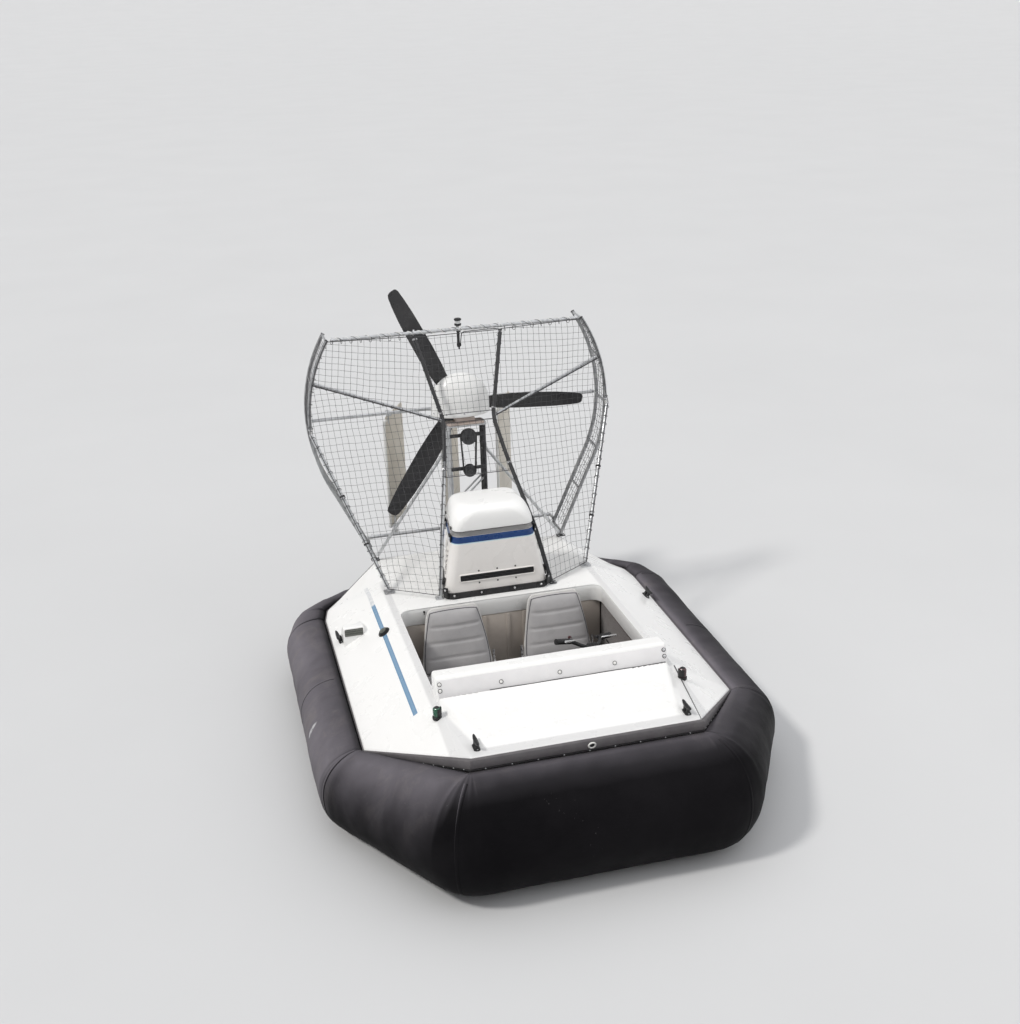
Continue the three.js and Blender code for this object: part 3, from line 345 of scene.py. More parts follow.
def engine_look():
    k = Look("engine_casting", (0.3, 0.31, 0.32), 0.5, 0.7)
    c = k.mix(k.noise(9, 6, 0.65), (0.2, 0.205, 0.21), (0.42, 0.43, 0.44))
    oil = k.ramp(k.noise(13, 7, 0.7), (0.56, 0.0), (0.72, 1.0))
    c = k.mix(k.math("MULTIPLY", oil, 0.7), c, (0.05, 0.04, 0.03))
    k.color(c)
    k.rough(k.ramp(k.noise(24, 5), (0.3, 0.34), (0.7, 0.66)))
    k.bump(k.noise(330, 4), 0.5, 0.001)
    return k.m


M = {
    "deck": gelcoat("gelcoat_deck", stripe=True),
    "gel": gelcoat("gelcoat_mould"),
    "cream": gelcoat("gelcoat_cream", (0.87, 0.845, 0.815), (0.80, 0.77, 0.735), 0.35),
    # grey band under the cap rim: grey gelcoat whose darkness is partly painted shade of the recess under the cap
    "lip": gelcoat("gelcoat_lip_grey_shade", (0.34, 0.335, 0.335), (0.28, 0.275, 0.275), 0.3),
    "royal": paint_look("stripe_royal", (0.005, 0.040, 0.165), (0.008, 0.054, 0.21), 0.3, 0, (0.3, 0.38, 0.5), 0.15),
    "pale": paint_look("stripe_pale", (0.52, 0.72, 0.80), (0.60, 0.77, 0.84), 0.35),
    "hull": gelcoat("gelcoat_hull", (0.80, 0.79, 0.77), (0.70, 0.68, 0.65), 0.6),
    "blocks": block_look(),
    "vent": paint_look("vent_olive", (0.105, 0.113, 0.098), (0.135, 0.143, 0.125), 0.42, 0, (0.16, 0.16, 0.14), 0.3),
    "lining": carpet_look("cockpit_lining", (0.060, 0.047, 0.042), (0.105, 0.085, 0.077)),
    "bulkhead": paint_look("bulkhead_board", (0.52, 0.47, 0.42), (0.42, 0.37, 0.33), 0.55, 0, (0.24, 0.2, 0.17), 0.5),
    "mat": rubber_look("floor_mat", (0.045, 0.044, 0.045), (0.075, 0.072, 0.07), 0.75),
    "bag": bag_look(),
    "bumper": rubber_look("bumper_grey", (0.105, 0.098, 0.103), (0.14, 0.132, 0.136), 0.6),
    "black": rubber_look("black_strip", (0.016, 0.016, 0.017), (0.03, 0.029, 0.03), 0.6),
    "skid": rubber_look("skid_strip", (0.02, 0.02, 0.02), (0.045, 0.043, 0.04), 0.7),
    "board": paint_look("coaming_board_paint", (0.84, 0.83, 0.83), (0.76, 0.75, 0.755), 0.38, 0.0, (0.5, 0.48, 0.46), 0.35),
    "tube": tube_look("galvanised_tube", (0.50, 0.51, 0.52), (0.66, 0.67, 0.68)),
    "dark": tube_look("dark_tube", (0.028, 0.029, 0.031), (0.060, 0.061, 0.064), 0.36, 0.3, (0.30, 0.29, 0.28)),
    "hoop": tube_look("weathered_tube", (0.26, 0.265, 0.275), (0.42, 0.425, 0.43), 0.36, 0.75, (0.07, 0.06, 0.055)),
    "white": paint_look("white_tube_paint", (0.82, 0.82, 0.80), (0.74, 0.73, 0.70), 0.35, 0.0, (0.30, 0.26, 0.22), 0.5),
    "steel": steel_look(),
    "cord": cord_look(),
    "rudder": paint_look("rudder_cream", (0.66, 0.62, 0.54), (0.57, 0.53, 0.46), 0.45, 0, (0.42, 0.38, 0.32), 0.5),
    "blade": paint_look("blade_black", (0.014, 0.014, 0.016), (0.03, 0.029, 0.03), 0.3, 0, (0.2, 0.19, 0.18), 0.3),
    "plastic": rubber_look("black_plastic", (0.012, 0.012, 0.013), (0.022, 0.022, 0.023), 0.42),
    "seat": vinyl_look("seat_vinyl", (0.47, 0.46, 0.46), (0.40, 0.39, 0.395)),
    "shell": paint_look("seat_shell", (0.70, 0.69, 0.67), (0.62, 0.61, 0.59), 0.5),
    "piping": vinyl_look("seat_piping", (0.06, 0.06, 0.07), (0.09, 0.09, 0.1)),
    "engine": engine_look(),
    "green": lens_look("lens_green", (0.008, 0.110, 0.055)),
    "red": lens_look("lens_red", (0.060, 0.005, 0.007)),
    "clear": lens_look("lens_white", (0.86, 0.87, 0.87)),
    "dial": paint_look("dial_face", (0.80, 0.80, 0.78), (0.72, 0.72, 0.70), 0.35),
    "dust": paint_look("collar_tan", (0.50, 0.42, 0.38), (0.42, 0.35, 0.31), 0.5),
}


# ------------------------------------------------------------------ mesh helpers
class Parts:
    """Collects shapes, each with its own finish, into one mesh."""

    def __init__(self):
        self.v, self.f, self.m, self.mats = [], [], [], []

    def add(self, verts, faces, mat):
        if mat not in self.mats:
            self.mats.append(mat)
        k, o = self.mats.index(mat), len(self.v)
        self.v.extend(tuple(p) for p in verts)
        self.f.extend(tuple(i + o for i in f) for f in faces)
        self.m.extend([k] * len(faces))
        return self

    def tube(self, pts, r, mat, sides=12, caps=True, closed=False):
        self.add(*tube(pts, r, sides, caps, closed), mat)
        return self

    def lathe(self, base, axis, profile, mat, sides=20):
        self.add(*lathe(base, axis, profile, sides), mat)
        return self

    def box(self, centre, size, mat, bevel=0.002, rot=None, seg=2):
        self.add(*soft_box(centre, size, bevel, rot, seg), mat)
        return self

    def bolt(self, p, n, r, mat):
        """A domed head on a washer."""
        p, n = Vector(p), Vector(n).normalized()
        return self.lathe(p, n, [(0, -r * 0.2), (r * 1.5, -r * 0.2), (r * 1.5, r * 0.12), (r, r * 0.16), (r * 0.86, r * 0.5), (r * 0.45, r * 0.72), (0, r * 0.78)], mat, 10)

    def make(self, name, body="craft", slot=None, replaces=(), smooth=True, angle=35):
        me = bpy.data.meshes.new(name)
        me.from_pydata(self.v, [], self.f)
        for m in self.mats:
            me.materials.append(M[m])
        me.polygons.foreach_set("material_index", self.m)
        o = bpy.data.objects.new(name, me)
        bpy.context.scene.collection.objects.link(o)
        if smooth:
            me.polygons.foreach_set("use_smooth", [True] * len(me.polygons))
            me.set_sharp_from_angle(angle=math.radians(angle))
        me.update()
        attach(o, body)
        if replaces:
            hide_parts(*replaces)
        return o


def ring_faces(rows, n, closed_rows=False, closed_ring=True):
    f = []
    for i in range(rows if closed_rows else rows - 1):
        a0, b0 = i * n, ((i + 1) % rows) * n
        for j in range(n if closed_ring else n - 1):
            k = (j + 1) % n
            f.append((a0 + j, a0 + k, b0 + k, b0 + j))
    return f


def tube(pts, r, sides=12, caps=True, closed=False):
    pts = [Vector(p) for p in pts]
    n = len(pts)
    verts, normal = [], None
    for k, p in enumerate(pts):
        a = pts[k - 1] if (k or closed) else pts[0]
        b = pts[(k + 1) % n] if (k + 1 < n or closed) else pts[-1]
        t = (b - a).normalized()
        if normal is None:
            normal = Vector((0, 0, 1)) if abs(t.z) < 0.9 else Vector((0, 1, 0))
        normal = (normal - t * t.dot(normal)).normalized()
        side = t.cross(normal)
        rr = r[k] if isinstance(r, (list, tuple)) else r
        for j in range(sides):
            q = 2 * math.pi * j / sides
            verts.append(p + normal * rr * math.cos(q) + side * rr * math.sin(q))
    faces = ring_faces(n, sides, closed)
    if caps and not closed:
        faces.append(tuple(range(sides))[::-1])
        faces.append(tuple((n - 1) * sides + j for j in range(sides)))
    return verts, [tuple(reversed(f)) for f in faces]


def eased(pts, r, n=6):
    """The polyline with each inner corner turned into a short curve."""
    pts = [Vector(p) for p in pts]
    out = [pts[0]]
    for a, b, c in zip(pts, pts[1:], pts[2:]):
        d1, d2 = (a - b), (c - b)
        k = min(r, d1.length * 0.45, d2.length * 0.45)
        p, q = b + d1.normalized() * k, b + d2.normalized() * k
        for i in range(n + 1):
            t = i / n
            out.append(p * (1 - t) ** 2 + b * 2 * t * (1 - t) + q * t * t)
    out.append(pts[-1])
    return out


def lathe(base, axis, profile, sides=20):
    base, axis = Vector(base), Vector(axis).normalized()
    u = axis.orthogonal().normalized()
    w = axis.cross(u)
    verts, faces, rows = [], [], []
    for r, h in profile:
        if r < 1e-9:
            rows.append([len(verts)])
            verts.append(base + axis * h)
        else:
            rows.append(list(range(len(verts), len(verts) + sides)))
            for j in range(sides):
                q = 2 * math.pi * j / sides
                verts.append(base + axis * h + (u * math.cos(q) + w * math.sin(q)) * r)
    for a, b in zip(rows, rows[1:]):
        for j in range(sides):
            k = (j + 1) % sides
            if len(a) == 1 and len(b) == 1:
                continue
            if len(a) == 1:
                faces.append((a[0], b[k], b[j])[::-1])
            elif len(b) == 1:
                faces.append((a[j], a[k], b[0]))
            else:
                faces.append((a[j], a[k], b[k], b[j]))
    if len(rows[0]) > 1:
        faces.append(tuple(rows[0])[::-1])
    if len(rows[-1]) > 1:
        faces.append(tuple(rows[-1]))
    return verts, faces


def soft_box(centre, size, bevel=0.002, rot=None, seg=2):
    bm = bmesh.new()
    bmesh.ops.create_cube(bm, size=1)
    for v in bm.verts:
        v.co = Vector((v.co.x * size[0], v.co.y * size[1], v.co.z * size[2]))
    if bevel:
        bmesh.ops.bevel(bm, geom=bm.edges[:], offset=min(bevel, min(size) * 0.45), segments=seg, profile=0.5, affect="EDGES")
    m = Matrix.Translation(Vector(centre)) @ (rot.to_4x4() if rot is not None else Matrix.Identity(4))
    bm.transform(m)
    bm.verts.index_update()
    out = [v.co.copy() for v in bm.verts], [tuple(v.index for v in f.verts) for f in bm.faces]
    bm.free()
    return out


def frame_of(normal, up=(0, 0, 1)):
    """Rotation whose z is the normal and y leans to up."""
    n = Vector(normal).normalized()
    u = Vector(up) - n * Vector(up).dot(n)
    if u.length < 1e-6:
        u = n.orthogonal()
    u.normalize()
    return Matrix((u.cross(n), u, n)).transposed()


def capped_loft(rings, close_first=True, close_last=True):
    n = len(rings[0])
    v = [p for r in rings for p in r]
    f = ring_faces(len(rings), n)
    if close_first:
        f.append(tuple(range(n))[::-1])
    if close_last:
        f.append(tuple((len(rings) - 1) * n + j for j in range(n)))
    return v, f


def outward(verts, faces):
    """Faces turned outward for a closed shape."""
    bm = bmesh.new()
    vs = [bm.verts.new(p) for p in verts]
    for f in faces:
        try:
            bm.faces.new([vs[i] for i in f])
        except ValueError:
            pass
    bmesh.ops.recalc_face_normals(bm, faces=bm.faces[:])
    bm.verts.index_update()
    out = [v.co.copy() for v in bm.verts], [tuple(v.index for v in f.verts) for f in bm.faces]
    bm.free()
    return out


def extruded(outline, z0, z1, to_world, bevel=0.004, seg=3):
    """A plate from a 2-D outline, its edges rounded, placed by a matrix."""
    bm = bmesh.new()
    low = [bm.verts.new((x, y, z0)) for x, y in outline]
    top = [bm.verts.new((x, y, z1)) for x, y in outline]
    bm.faces.new(low[::-1])
    bm.faces.new(top)
    n = len(outline)
    for j in range(n):
        k = (j + 1) % n
        bm.faces.new((low[j], low[k], top[k], top[j]))
    bmesh.ops.recalc_face_normals(bm, faces=bm.faces[:])
    if bevel:
        rim = [e for e in bm.edges if abs(e.verts[0].co.z - e.verts[1].co.z) < 1e-7]
        bmesh.ops.bevel(bm, geom=rim, offset=bevel, segments=seg, profile=0.5, affect="EDGES")
    bm.transform(to_world)
    bm.verts.index_update()
    out = [v.co.copy() for v in bm.verts], [tuple(v.index for v in f.verts) for f in bm.faces]
    bm.free()
    return out


def rounded_rect(w, h, r, steps=5, cx=0.0, cy=0.0):
    out = []
    for sx, sy, q0 in ((1, 1, 0), (-1, 1, 90), (-1, -1, 180), (1, -1, 270)):
        for k in range(steps + 1):
            q = math.radians(q0 + 90 * k / steps)
            out.append((cx + sx * (w / 2 - r) + r * math.cos(q), cy + sy * (h / 2 - r) + r * math.sin(q)))
    return out


def place(centre, normal, up=(0, 0, 1)):
    return Matrix.Translation(Vector(centre)) @ frame_of(normal, up).to_4x4()


def clothe(node, mat, bevel=0.0, segments=3, angle=30):
    """A carried-over piece gets its finish, and rounded edges."""
    o = NODES[node]
    o.data.materials.clear()
    o.data.materials.append(M[mat])
    if bevel:
        b = o.modifiers.new("round", "BEVEL")
        b.width, b.segments, b.limit_method, b.angle_limit = bevel, segments, "ANGLE", math.radians(angle)
        b.harden_normals = True
    return o


# ------------------------------------------------------------------ camera
def make_camera():
    c, u, v = np.array([510.0, 512.0]), np.array([142.0, -4.0]), np.array([5965.0, -180.0])
    f = math.sqrt(-(u - c) @ (v - c))
    dy = np.r_[u - c, f]
    dy /= np.linalg.norm(dy)
    dx = np.r_[v - c, f]
    dx /= np.linalg.norm(dx)
    dz = np.cross(dx, dy)
    if dz[1] > 0:
        dz = -dz
    m = np.stack([dx, dy, dz])
    cam = bpy.data.cameras.new("camera")
    o = bpy.data.objects.new("camera", cam)
    bpy.context.scene.collection.objects.link(o)
    rot = Matrix([[m[i][0], -m[i][1], -m[i][2]] for i in range(3)])
    o.matrix_world = Matrix.Translation((-1.58590418, -5.48276793 - Y_MID, 3.49413115 + 0.42)) @ rot.to_4x4()
    cam.sensor_fit = "HORIZONTAL"
    cam.sensor_width = 36
    cam.lens = f / 1020 * 36
    cam.clip_start, cam.clip_end = 0.05, 3000
    bpy.context.scene.camera = o
    return o


make_camera()

# ------------------------------------------------------------------ floor and light
def studio():
    # flat round the part, with a faint rise far away that closes the view
    rings = [(30, 0.0), (60, 0.0), (80, 0.4), (110, 2.5), (150, 9.0), (190, 25.0), (235, 54.0), (800, 214.0)]
    n = 64
    verts, faces = [(0, 0, 0)], []
    for r, z in rings:
        verts += [(r * math.cos(2 * math.pi * k / n), r * math.sin(2 * math.pi * k / n), z) for k in range(n)]
    for k in range(n):
        faces.append((0, 1 + k, 1 + (k + 1) % n))
        for i in range(len(rings) - 1):
            a, b = 1 + i * n, 1 + (i + 1) * n
            faces.append((a + k, b + k, b + (k + 1) % n, a + (k + 1) % n))
    me = bpy.data.meshes.new("floor")
    me.from_pydata(verts, [], faces)
    me.shade_smooth()
    o = bpy.data.objects.new("floor", me)
    bpy.context.scene.collection.objects.link(o)
    k = Look("studio_floor", (0.63, 0.635, 0.64), 0.85, Specular_IOR_Level=0.1)
    k.color(k.mix(k.noise(0.6, 4), (0.61, 0.615, 0.62), (0.65, 0.655, 0.66)))
    me.materials.append(k.m)
    w = bpy.data.worlds.new("studio")
    bpy.context.scene.world = w
    w.use_nodes = True
    bg = w.node_tree.nodes["Background"]
    bg.inputs[0].default_value = (0.96, 0.95, 0.97, 1)
    bg.inputs[1].default_value = 0.24

    def lamp(name, place, aim, size, power, colour):
        d = bpy.data.lights.new(name, "AREA")
        d.shape, d.size, d.energy, d.color = "DISK", size, power, colour
        o = bpy.data.objects.new(name, d)
        bpy.context.scene.collection.objects.link(o)
        o.location = place
        o.rotation_mode = "QUATERNION"
        o.rotation_quaternion = (Vector(aim) - Vector(place)).to_track_quat("-Z", "Y")

    for name, energy, spread, aim, colour in (
        ("key", 1.50, 8, (0.62, 0.15, -0.76), (1.0, 0.975, 0.94)),
        ("overhead", 1.72, 112, (-0.22, 0.08, -1.0), (0.97, 0.98, 1.0)),
    ):
        d = bpy.data.lights.new(name, "SUN")
        d.energy, d.angle, d.color = energy, math.radians(spread), colour
        o = bpy.data.objects.new(name, d)
        bpy.context.scene.collection.objects.link(o)
        o.rotation_mode = "QUATERNION"
        o.rotation_quaternion = Vector(aim).to_track_quat("-Z", "Y")
    lamp("fill", (6.0, -4.5, 3.6), (0, 0.2, 1.0), 3.5, 22, (1.0, 0.985, 0.97))
    vs = bpy.context.scene.view_settings
    vs.view_transform, vs.look, vs.exposure = "Standard", "None", 0.0


studio()

# ------------------------------------------------------------------ deck outline, port half: x, station, height
CORNERS = [
    (0.563, -0.593, 0.660),
    (0.980, 0.0, 0.420),
    (0.980, 1.480, 0.420),
    (0.955, 1.590, 0.428),
    (0.865, 1.685, 0.447),
    (0.740, 1.788, 0.505),
    (0.585, 1.868, 0.600),
]
LOOP = CORNERS + [(-x, y, z) for x, y, z in reversed(CORNERS)]
N_LOOP = len(LOOP)


def plane_z(p, q, r):
    """Height function of the plane through three points."""
    n = (Vector(q) - Vector(p)).cross(Vector(r) - Vector(p))
    return lambda x, y: p[2] - (n.x * (x - p[0]) + n.y * (y - p[1])) / n.z


FLAT_A = (0.640, -0.05, flat_z(-0.05))
FLAT_B = (0.640, 1.40, flat_z(1.40))
RISE = [plane_z(CORNERS[0], FLAT_A, CORNERS[1])] + [
    plane_z(FLAT_B, CORNERS[k], CORNERS[k + 1]) for k in range(2, 6)
]


def hood_rise(x, y):
    """Extra height of the raised foredeck panel."""
    yf, yr = -0.524, -0.060
    if y > yr or y < yf:
        return 0.0
    edge = 0.512 + (y + 0.520) * (0.110 / 0.454)
    ds, df = (edge - abs(x)) * 0.972, y - yf
    if ds <= 0:
        return 0.0
    r = 0.05
    d = min(ds, df)
    if ds < r and df < r:
        d = r - math.hypot(r - ds, r - df)
        if d <= 0:
            return 0.0
    t = min(1.0, d / 0.036)
    h = 0.016 + (y + 0.485) * 0.042
    # straight slope with small rounded top and foot
    e = 0.16
    s = t * t / (2 * e * (1 - e)) if t < e else (1 - (1 - t) ** 2 / (2 * e * (1 - e)) if t > 1 - e else (t - e / 2) / (1 - e))
    return h * s


FAN = [math.atan2(CORNERS[k][1] - FLAT_B[1], CORNERS[k][0] - FLAT_B[0]) for k in range(2, 7)]


def facet_z(ax, y):
    """Height of the folded deck: flat middle, sloping sides, bow chamfer and the fan round the stern corner."""
    side = flat_z(y) - (ax - 0.64) * (flat_z(y) - 0.42) / 0.34
    if y > FLAT_B[1] - 0.10 and ax > 0.3:
        a = math.atan2(y - FLAT_B[1], ax - FLAT_B[0])
        if a > FAN[0]:
            if a > FAN[4]:
                return flat_z(y)
            k = next(i for i in range(4) if a <= FAN[i + 1])
            return RISE[k + 1](ax, y)
    if ax <= 0.64 and y > -0.05:
        return flat_z(y)
    return min(flat_z(y), side, RISE[0](ax, y))


def deck_z(x, y):
    ax, e = abs(x), 0.0045
    z = (2 * facet_z(ax, y) + facet_z(ax - e, y) + facet_z(ax + e, y) + facet_z(ax, y - e) + facet_z(ax, y + e)) / 6
    return z + hood_rise(x, y)


def sampler(points, closed=True):
    p = np.array(points, float)
    q = np.vstack([p, p[:1]]) if closed else p
    d = np.r_[0, np.cumsum(np.linalg.norm(np.diff(q, axis=0), axis=1))]
    d /= d[-1]
    return lambda t: np.array([np.interp(t % 1.0 if closed else t, d, q[:, i]) for i in range(q.shape[1])])


def eased_loop(points, r, n=5):
    """Closed outline with small round corners."""
    out = []
    m = len(points)
    for k in range(m):
        a, b, c = (np.array(points[(k + i) % m], float) for i in (-1, 0, 1))
        l1, l2 = np.linalg.norm(a - b), np.linalg.norm(c - b)
        e = min(r, l1 * 0.4, l2 * 0.4)
        p, q = b + (a - b) / l1 * e, b + (c - b) / l2 * e
        for i in range(n + 1):
            t = i / n
            out.append(p * (1 - t) ** 2 + b * 2 * t * (1 - t) + q * t * t)
    return out


WELL = {"half": 0.600, "front": 0.092, "rear": 1.050, "r": 0.062}


def deck():
    """One moulding: deck, side decks and raised foredeck panel, with its turned-down rims."""
    outer = eased_loop([(x, y) for x, y, z in LOOP], 0.012, 3)
    mid = np.array([0.0, 0.60])
    w = WELL
    hole = [(x, y + (w["front"] + w["rear"]) / 2) for x, y in rounded_rect(w["half"] * 2, w["rear"] - w["front"], w["r"], 8)]
    # rays from the outline to the hole: by share of four sides, corner to corner
    def split(pts, keys):
        ids = [min(range(len(pts)), key=lambda i: math.dist(pts[i], k)) for k in keys]
        runs = []
        for a, b in zip(ids, ids[1:] + ids[:1]):
            seg = [pts[a]]
            i = a
            while i != b:
                i = (i + 1) % len(pts)
                seg.append(pts[i])
            runs.append(seg)
        return runs

    hc = [(w["half"] - 0.018, w["front"] + 0.018), (w["half"] - 0.018, w["rear"] - 0.018), (-w["half"] + 0.018, w["rear"] - 0.018), (-w["half"] + 0.018, w["front"] + 0.018)]
    oc = [(0.800, -0.256), (0.980, 1.480), (-0.980, 1.480), (-0.800, -0.256)]
    dense = [tuple(sampler(outer)(t)) for t in np.linspace(0, 1, 2400, endpoint=False)]
    oruns = split(dense, oc)
    hruns = split(hole, hc)
    counts = (150, 130, 150, 130)
    O, H = [], []
    for seg_o, seg_h, n in zip(oruns, hruns, counts):
        fo, fh = sampler(seg_o, False), sampler(seg_h, False)
        for i in range(n):
            O.append(fo(i / n))
            H.append(fh(i / n))
    n = len(O)
    lip = 0.016
    rows_v = [0, 0.004] + list(np.linspace(0.012, 0.985, 64)) + [1.0]
    verts = []

    def inward(i):
        a, b = O[(i - 1) % n], O[(i + 1) % n]
        t = b - a
        t /= np.linalg.norm(t)
        return np.array([-t[1], t[0]])

    # outer rim: down-turned flange with a small round edge
    for drop, ins in ((0.034, 0.004), (0.034, 0.0), (0.012, 0.0), (0.006, 0.0012), (0.0022, 0.004)):
        for i in range(n):
            p = O[i] + inward(i) * ins
            z = deck_z(*(O[i] + inward(i) * 0.006)) - drop
            verts.append((p[0], S(p[1]), z))
    for t in rows_v:
        for i in range(n):
            a = O[i] + inward(i) * 0.008
            p = a + (H[i] - a) * t
            q = p
            z = deck_z(p[0], p[1])
            verts.append((p[0], S(p[1]), z))
    # cockpit flange
    hn = []
    for i in range(n):
        a, b = H[(i - 1) % n], H[(i + 1) % n]
        t = b - a
        l = np.linalg.norm(t)
        t = t / l if l > 1e-9 else np.array([1.0, 0])
        hn.append(np.array([-t[1], t[0]]))
    for out, drop in ((0.0035, 0.0008), (0.008, 0.004), (0.0105, 0.010), (0.011, 0.030), (0.011, 0.098), (0.0095, 0.101), (0.0075, 0.098), (0.0075, 0.016)):
        for i in range(n):
            p = H[i] + hn[i] * (out - 0.011)
            verts.append((p[0], S(p[1]), deck_z(H[i][0], H[i][1]) - drop))
    rows = 5 + len(rows_v) + 8
    faces = ring_faces(rows, n)
    p = Parts()
    p.add(verts, faces, "deck")
    o = p.make("deck_moulding", "craft", "gelcoat", ("foredeck", "aft_deck", "side_deck_port", "side_deck_starboard", "foredeck_panel"), angle=60)
    bm = bmesh.new()
    bm.from_mesh(o.data)
    bmesh.ops.remove_doubles(bm, verts=bm.verts[:], dist=1e-5)
    bmesh.ops.recalc_face_normals(bm, faces=bm.faces[:])
    top = max(bm.faces, key=lambda f: f.calc_center_median().z)
    if top.normal.z < 0:
        bmesh.ops.reverse_faces(bm, faces=bm.faces[:])
    bm.to_mesh(o.data)
    bm.free()
    return o


deck()

# ------------------------------------------------------------------ bag skirt
# per outline corner: bottom of the edge trim, lip, top of the bag, outward reach, trim thickness
BAG = [
    (0.600, 0.5986, 0.604, 0.318, 0.018),
    (0.395, 0.418, 0.434, 0.246, 0.009),
    (0.395, 0.418, 0.434, 0.246, 0.009),
    (0.402, 0.424, 0.440, 0.236, 0.009),
    (0.400, 0.418, 0.432, 0.226, 0.009),
    (0.396, 0.412, 0.426, 0.216, 0.009),
    (0.392, 0.408, 0.422, 0.206, 0.009),
]
BAG_LOW = 0.005


def inset_point(k, d):
    p, c, q = (np.array(LOOP[(k + i) % N_LOOP][:2]) for i in (-1, 0, 1))
    a, b = (c - p) / np.linalg.norm(c - p), (q - c) / np.linalg.norm(q - c)
    na, nb = np.array([-a[1], a[0]]), np.array([-b[1], b[0]])
    m = na + nb
    m /= np.linalg.norm(m)
    return c + m * d / (m @ na)


def bag():
    table = [BAG[k if k < 7 else N_LOOP - 1 - k] for k in range(N_LOOP)]
    tops = [inset_point(k, 0.006) for k in range(N_LOOP)]
    lows = [inset_point(k, 0.131) for k in range(N_LOOP)]

    def edge_dir(k):
        p, q = LOOP[k], LOOP[(k + 1) % N_LOOP]
        return math.atan2(-(q[0] - p[0]), q[1] - p[1])

    # stations round the craft: point, direction, table row, inner points, nearness of a seam
    st = []
    for k in range(N_LOOP):
        a0, a1 = edge_dir((k - 1) % N_LOOP), edge_dir(k)
        while a1 < a0 - 1e-6:
            a1 += 2 * math.pi
        turn = a1 - a0
        steps = max(1, int(math.degrees(turn) / 3.0))
        for s in range(steps + 1):
            w = a0 + turn * s / steps
            st.append((np.array(LOOP[k][:2]), w, np.array(table[k]), tops[k], lows[k], (s / steps - 0.5) * turn * 0.3))
        m = (k + 1) % N_LOOP
        l = math.dist(LOOP[k][:2], LOOP[m][:2])
        cnt = max(2, int(l / 0.018))
        for s in range(1, cnt):
            t = s / cnt
            st.append((
                np.array(LOOP[k][:2]) * (1 - t) + np.array(LOOP[m][:2]) * t,
                a1,
                np.array(table[k]) * (1 - t) + np.array(table[m]) * t,
                tops[k] * (1 - t) + tops[m] * t,
                lows[k] * (1 - t) + lows[m] * t,
                9.0,
            ))
    # ease the directions and sizes, so that the bag swells round its corners without facets
    n = len(st)
    ang = np.unwrap([s[1] for s in st])
    tab = np.array([s[2] for s in st])
    total = ang[-1] - ang[0]
    pos = np.array([s[0] for s in st])
    for _ in range(14):
        prev_a, next_a = np.roll(ang, 1), np.roll(ang, -1)
        prev_a[0] -= 2 * math.pi
        next_a[-1] += 2 * math.pi
        ang = ang * 0.4 + prev_a * 0.3 + next_a * 0.3
        tab = tab * 0.4 + np.roll(tab, 1, 0) * 0.3 + np.roll(tab, -1, 0) * 0.3
    ROW = 58
    verts, away = [], []
    seam_at = [LOOP[k][:2] for k in (0, 1, 12, 13)]
    arc = np.r_[0, np.cumsum(np.linalg.norm(np.diff(pos, axis=0), axis=1))]
    for i in range(n):
        low, lip, top, swell, trim = tab[i]
        d = np.array([math.cos(ang[i]), math.sin(ang[i])])
        zc, v, oc = (top + BAG_LOW) / 2, (top - BAG_LOW) / 2, 0.034
        a = swell - oc
        ctrl = [("o", trim + 0.0022, low - 0.0015), ("o", trim + 0.0022, lip)]
        for q in range(90, -95, -8):
            r = math.radians(q)
            c = math.copysign(abs(math.cos(r)) ** 0.9, math.cos(r))
            s = math.copysign(abs(math.sin(r)) ** 0.9, math.sin(r))
            ctrl.append(("o", oc + a * c, zc + v * s))
        pts = [np.array([pos[i][0] + d[0] * o, pos[i][1] + d[1] * o, z]) for _, o, z in ctrl]
        inner_low, inner_top = st[i][4], st[i][3]
        pts += [np.array([*inner_low, 0.042]), np.array([*inner_low, 0.095]), np.array([*inner_top, low - 0.03])]
        f = sampler(pts)
        ring = [f(t) for t in np.linspace(0, 1, ROW, endpoint=False)]
        near = [math.dist(pos[i], s) for s in seam_at]
        for j, p in enumerate(ring):
            w = j / ROW
            # only the outer cloth is shaped; the hidden inner wall stays plain
            out = max(0.0, min(1.0, w / 0.05)) * max(0.0, min(1.0, (0.70 - w) / 0.1))
            q = Vector((p[0], p[1], p[2]))
            big = noise.noise(q * 2.1 + Vector((5.2, 0, 1.3))) * 0.007
            mid = noise.noise(q * 6.5 + Vector((1.7, 8.1, 0))) * 0.0035
            small = noise.noise(q * 19 + Vector((0, 3.3, 2.2))) * 0.0012
            # puckers between the screws of the lip, fading outward
            puck = 0.00035 * math.sin(arc[i] * 2 * math.pi / 0.115 + 0.9 * noise.noise(Vector((arc[i] * 2.2, 0, 0)))) * math.exp(-((w - 0.05) / 0.055) ** 2)
            # creases that fan out from the sharp corners
            fan = 0.0
            for s in near:
                if s < 1e-6 or st[i][5] < 5:
                    fan += 0.0007 * math.sin(ang[i] * 30) * math.exp(-((w - 0.12) / 0.12) ** 2)
                    break
            # slack folds low on the cloth
            slack = 0.006 * noise.noise(Vector((arc[i] * 1.1, p[2] * 26, 4.4))) * math.exp(-((w - 0.50) / 0.12) ** 2)
            shift = out * (big + mid + small + puck + fan + slack)
            cz = p[2] - zc
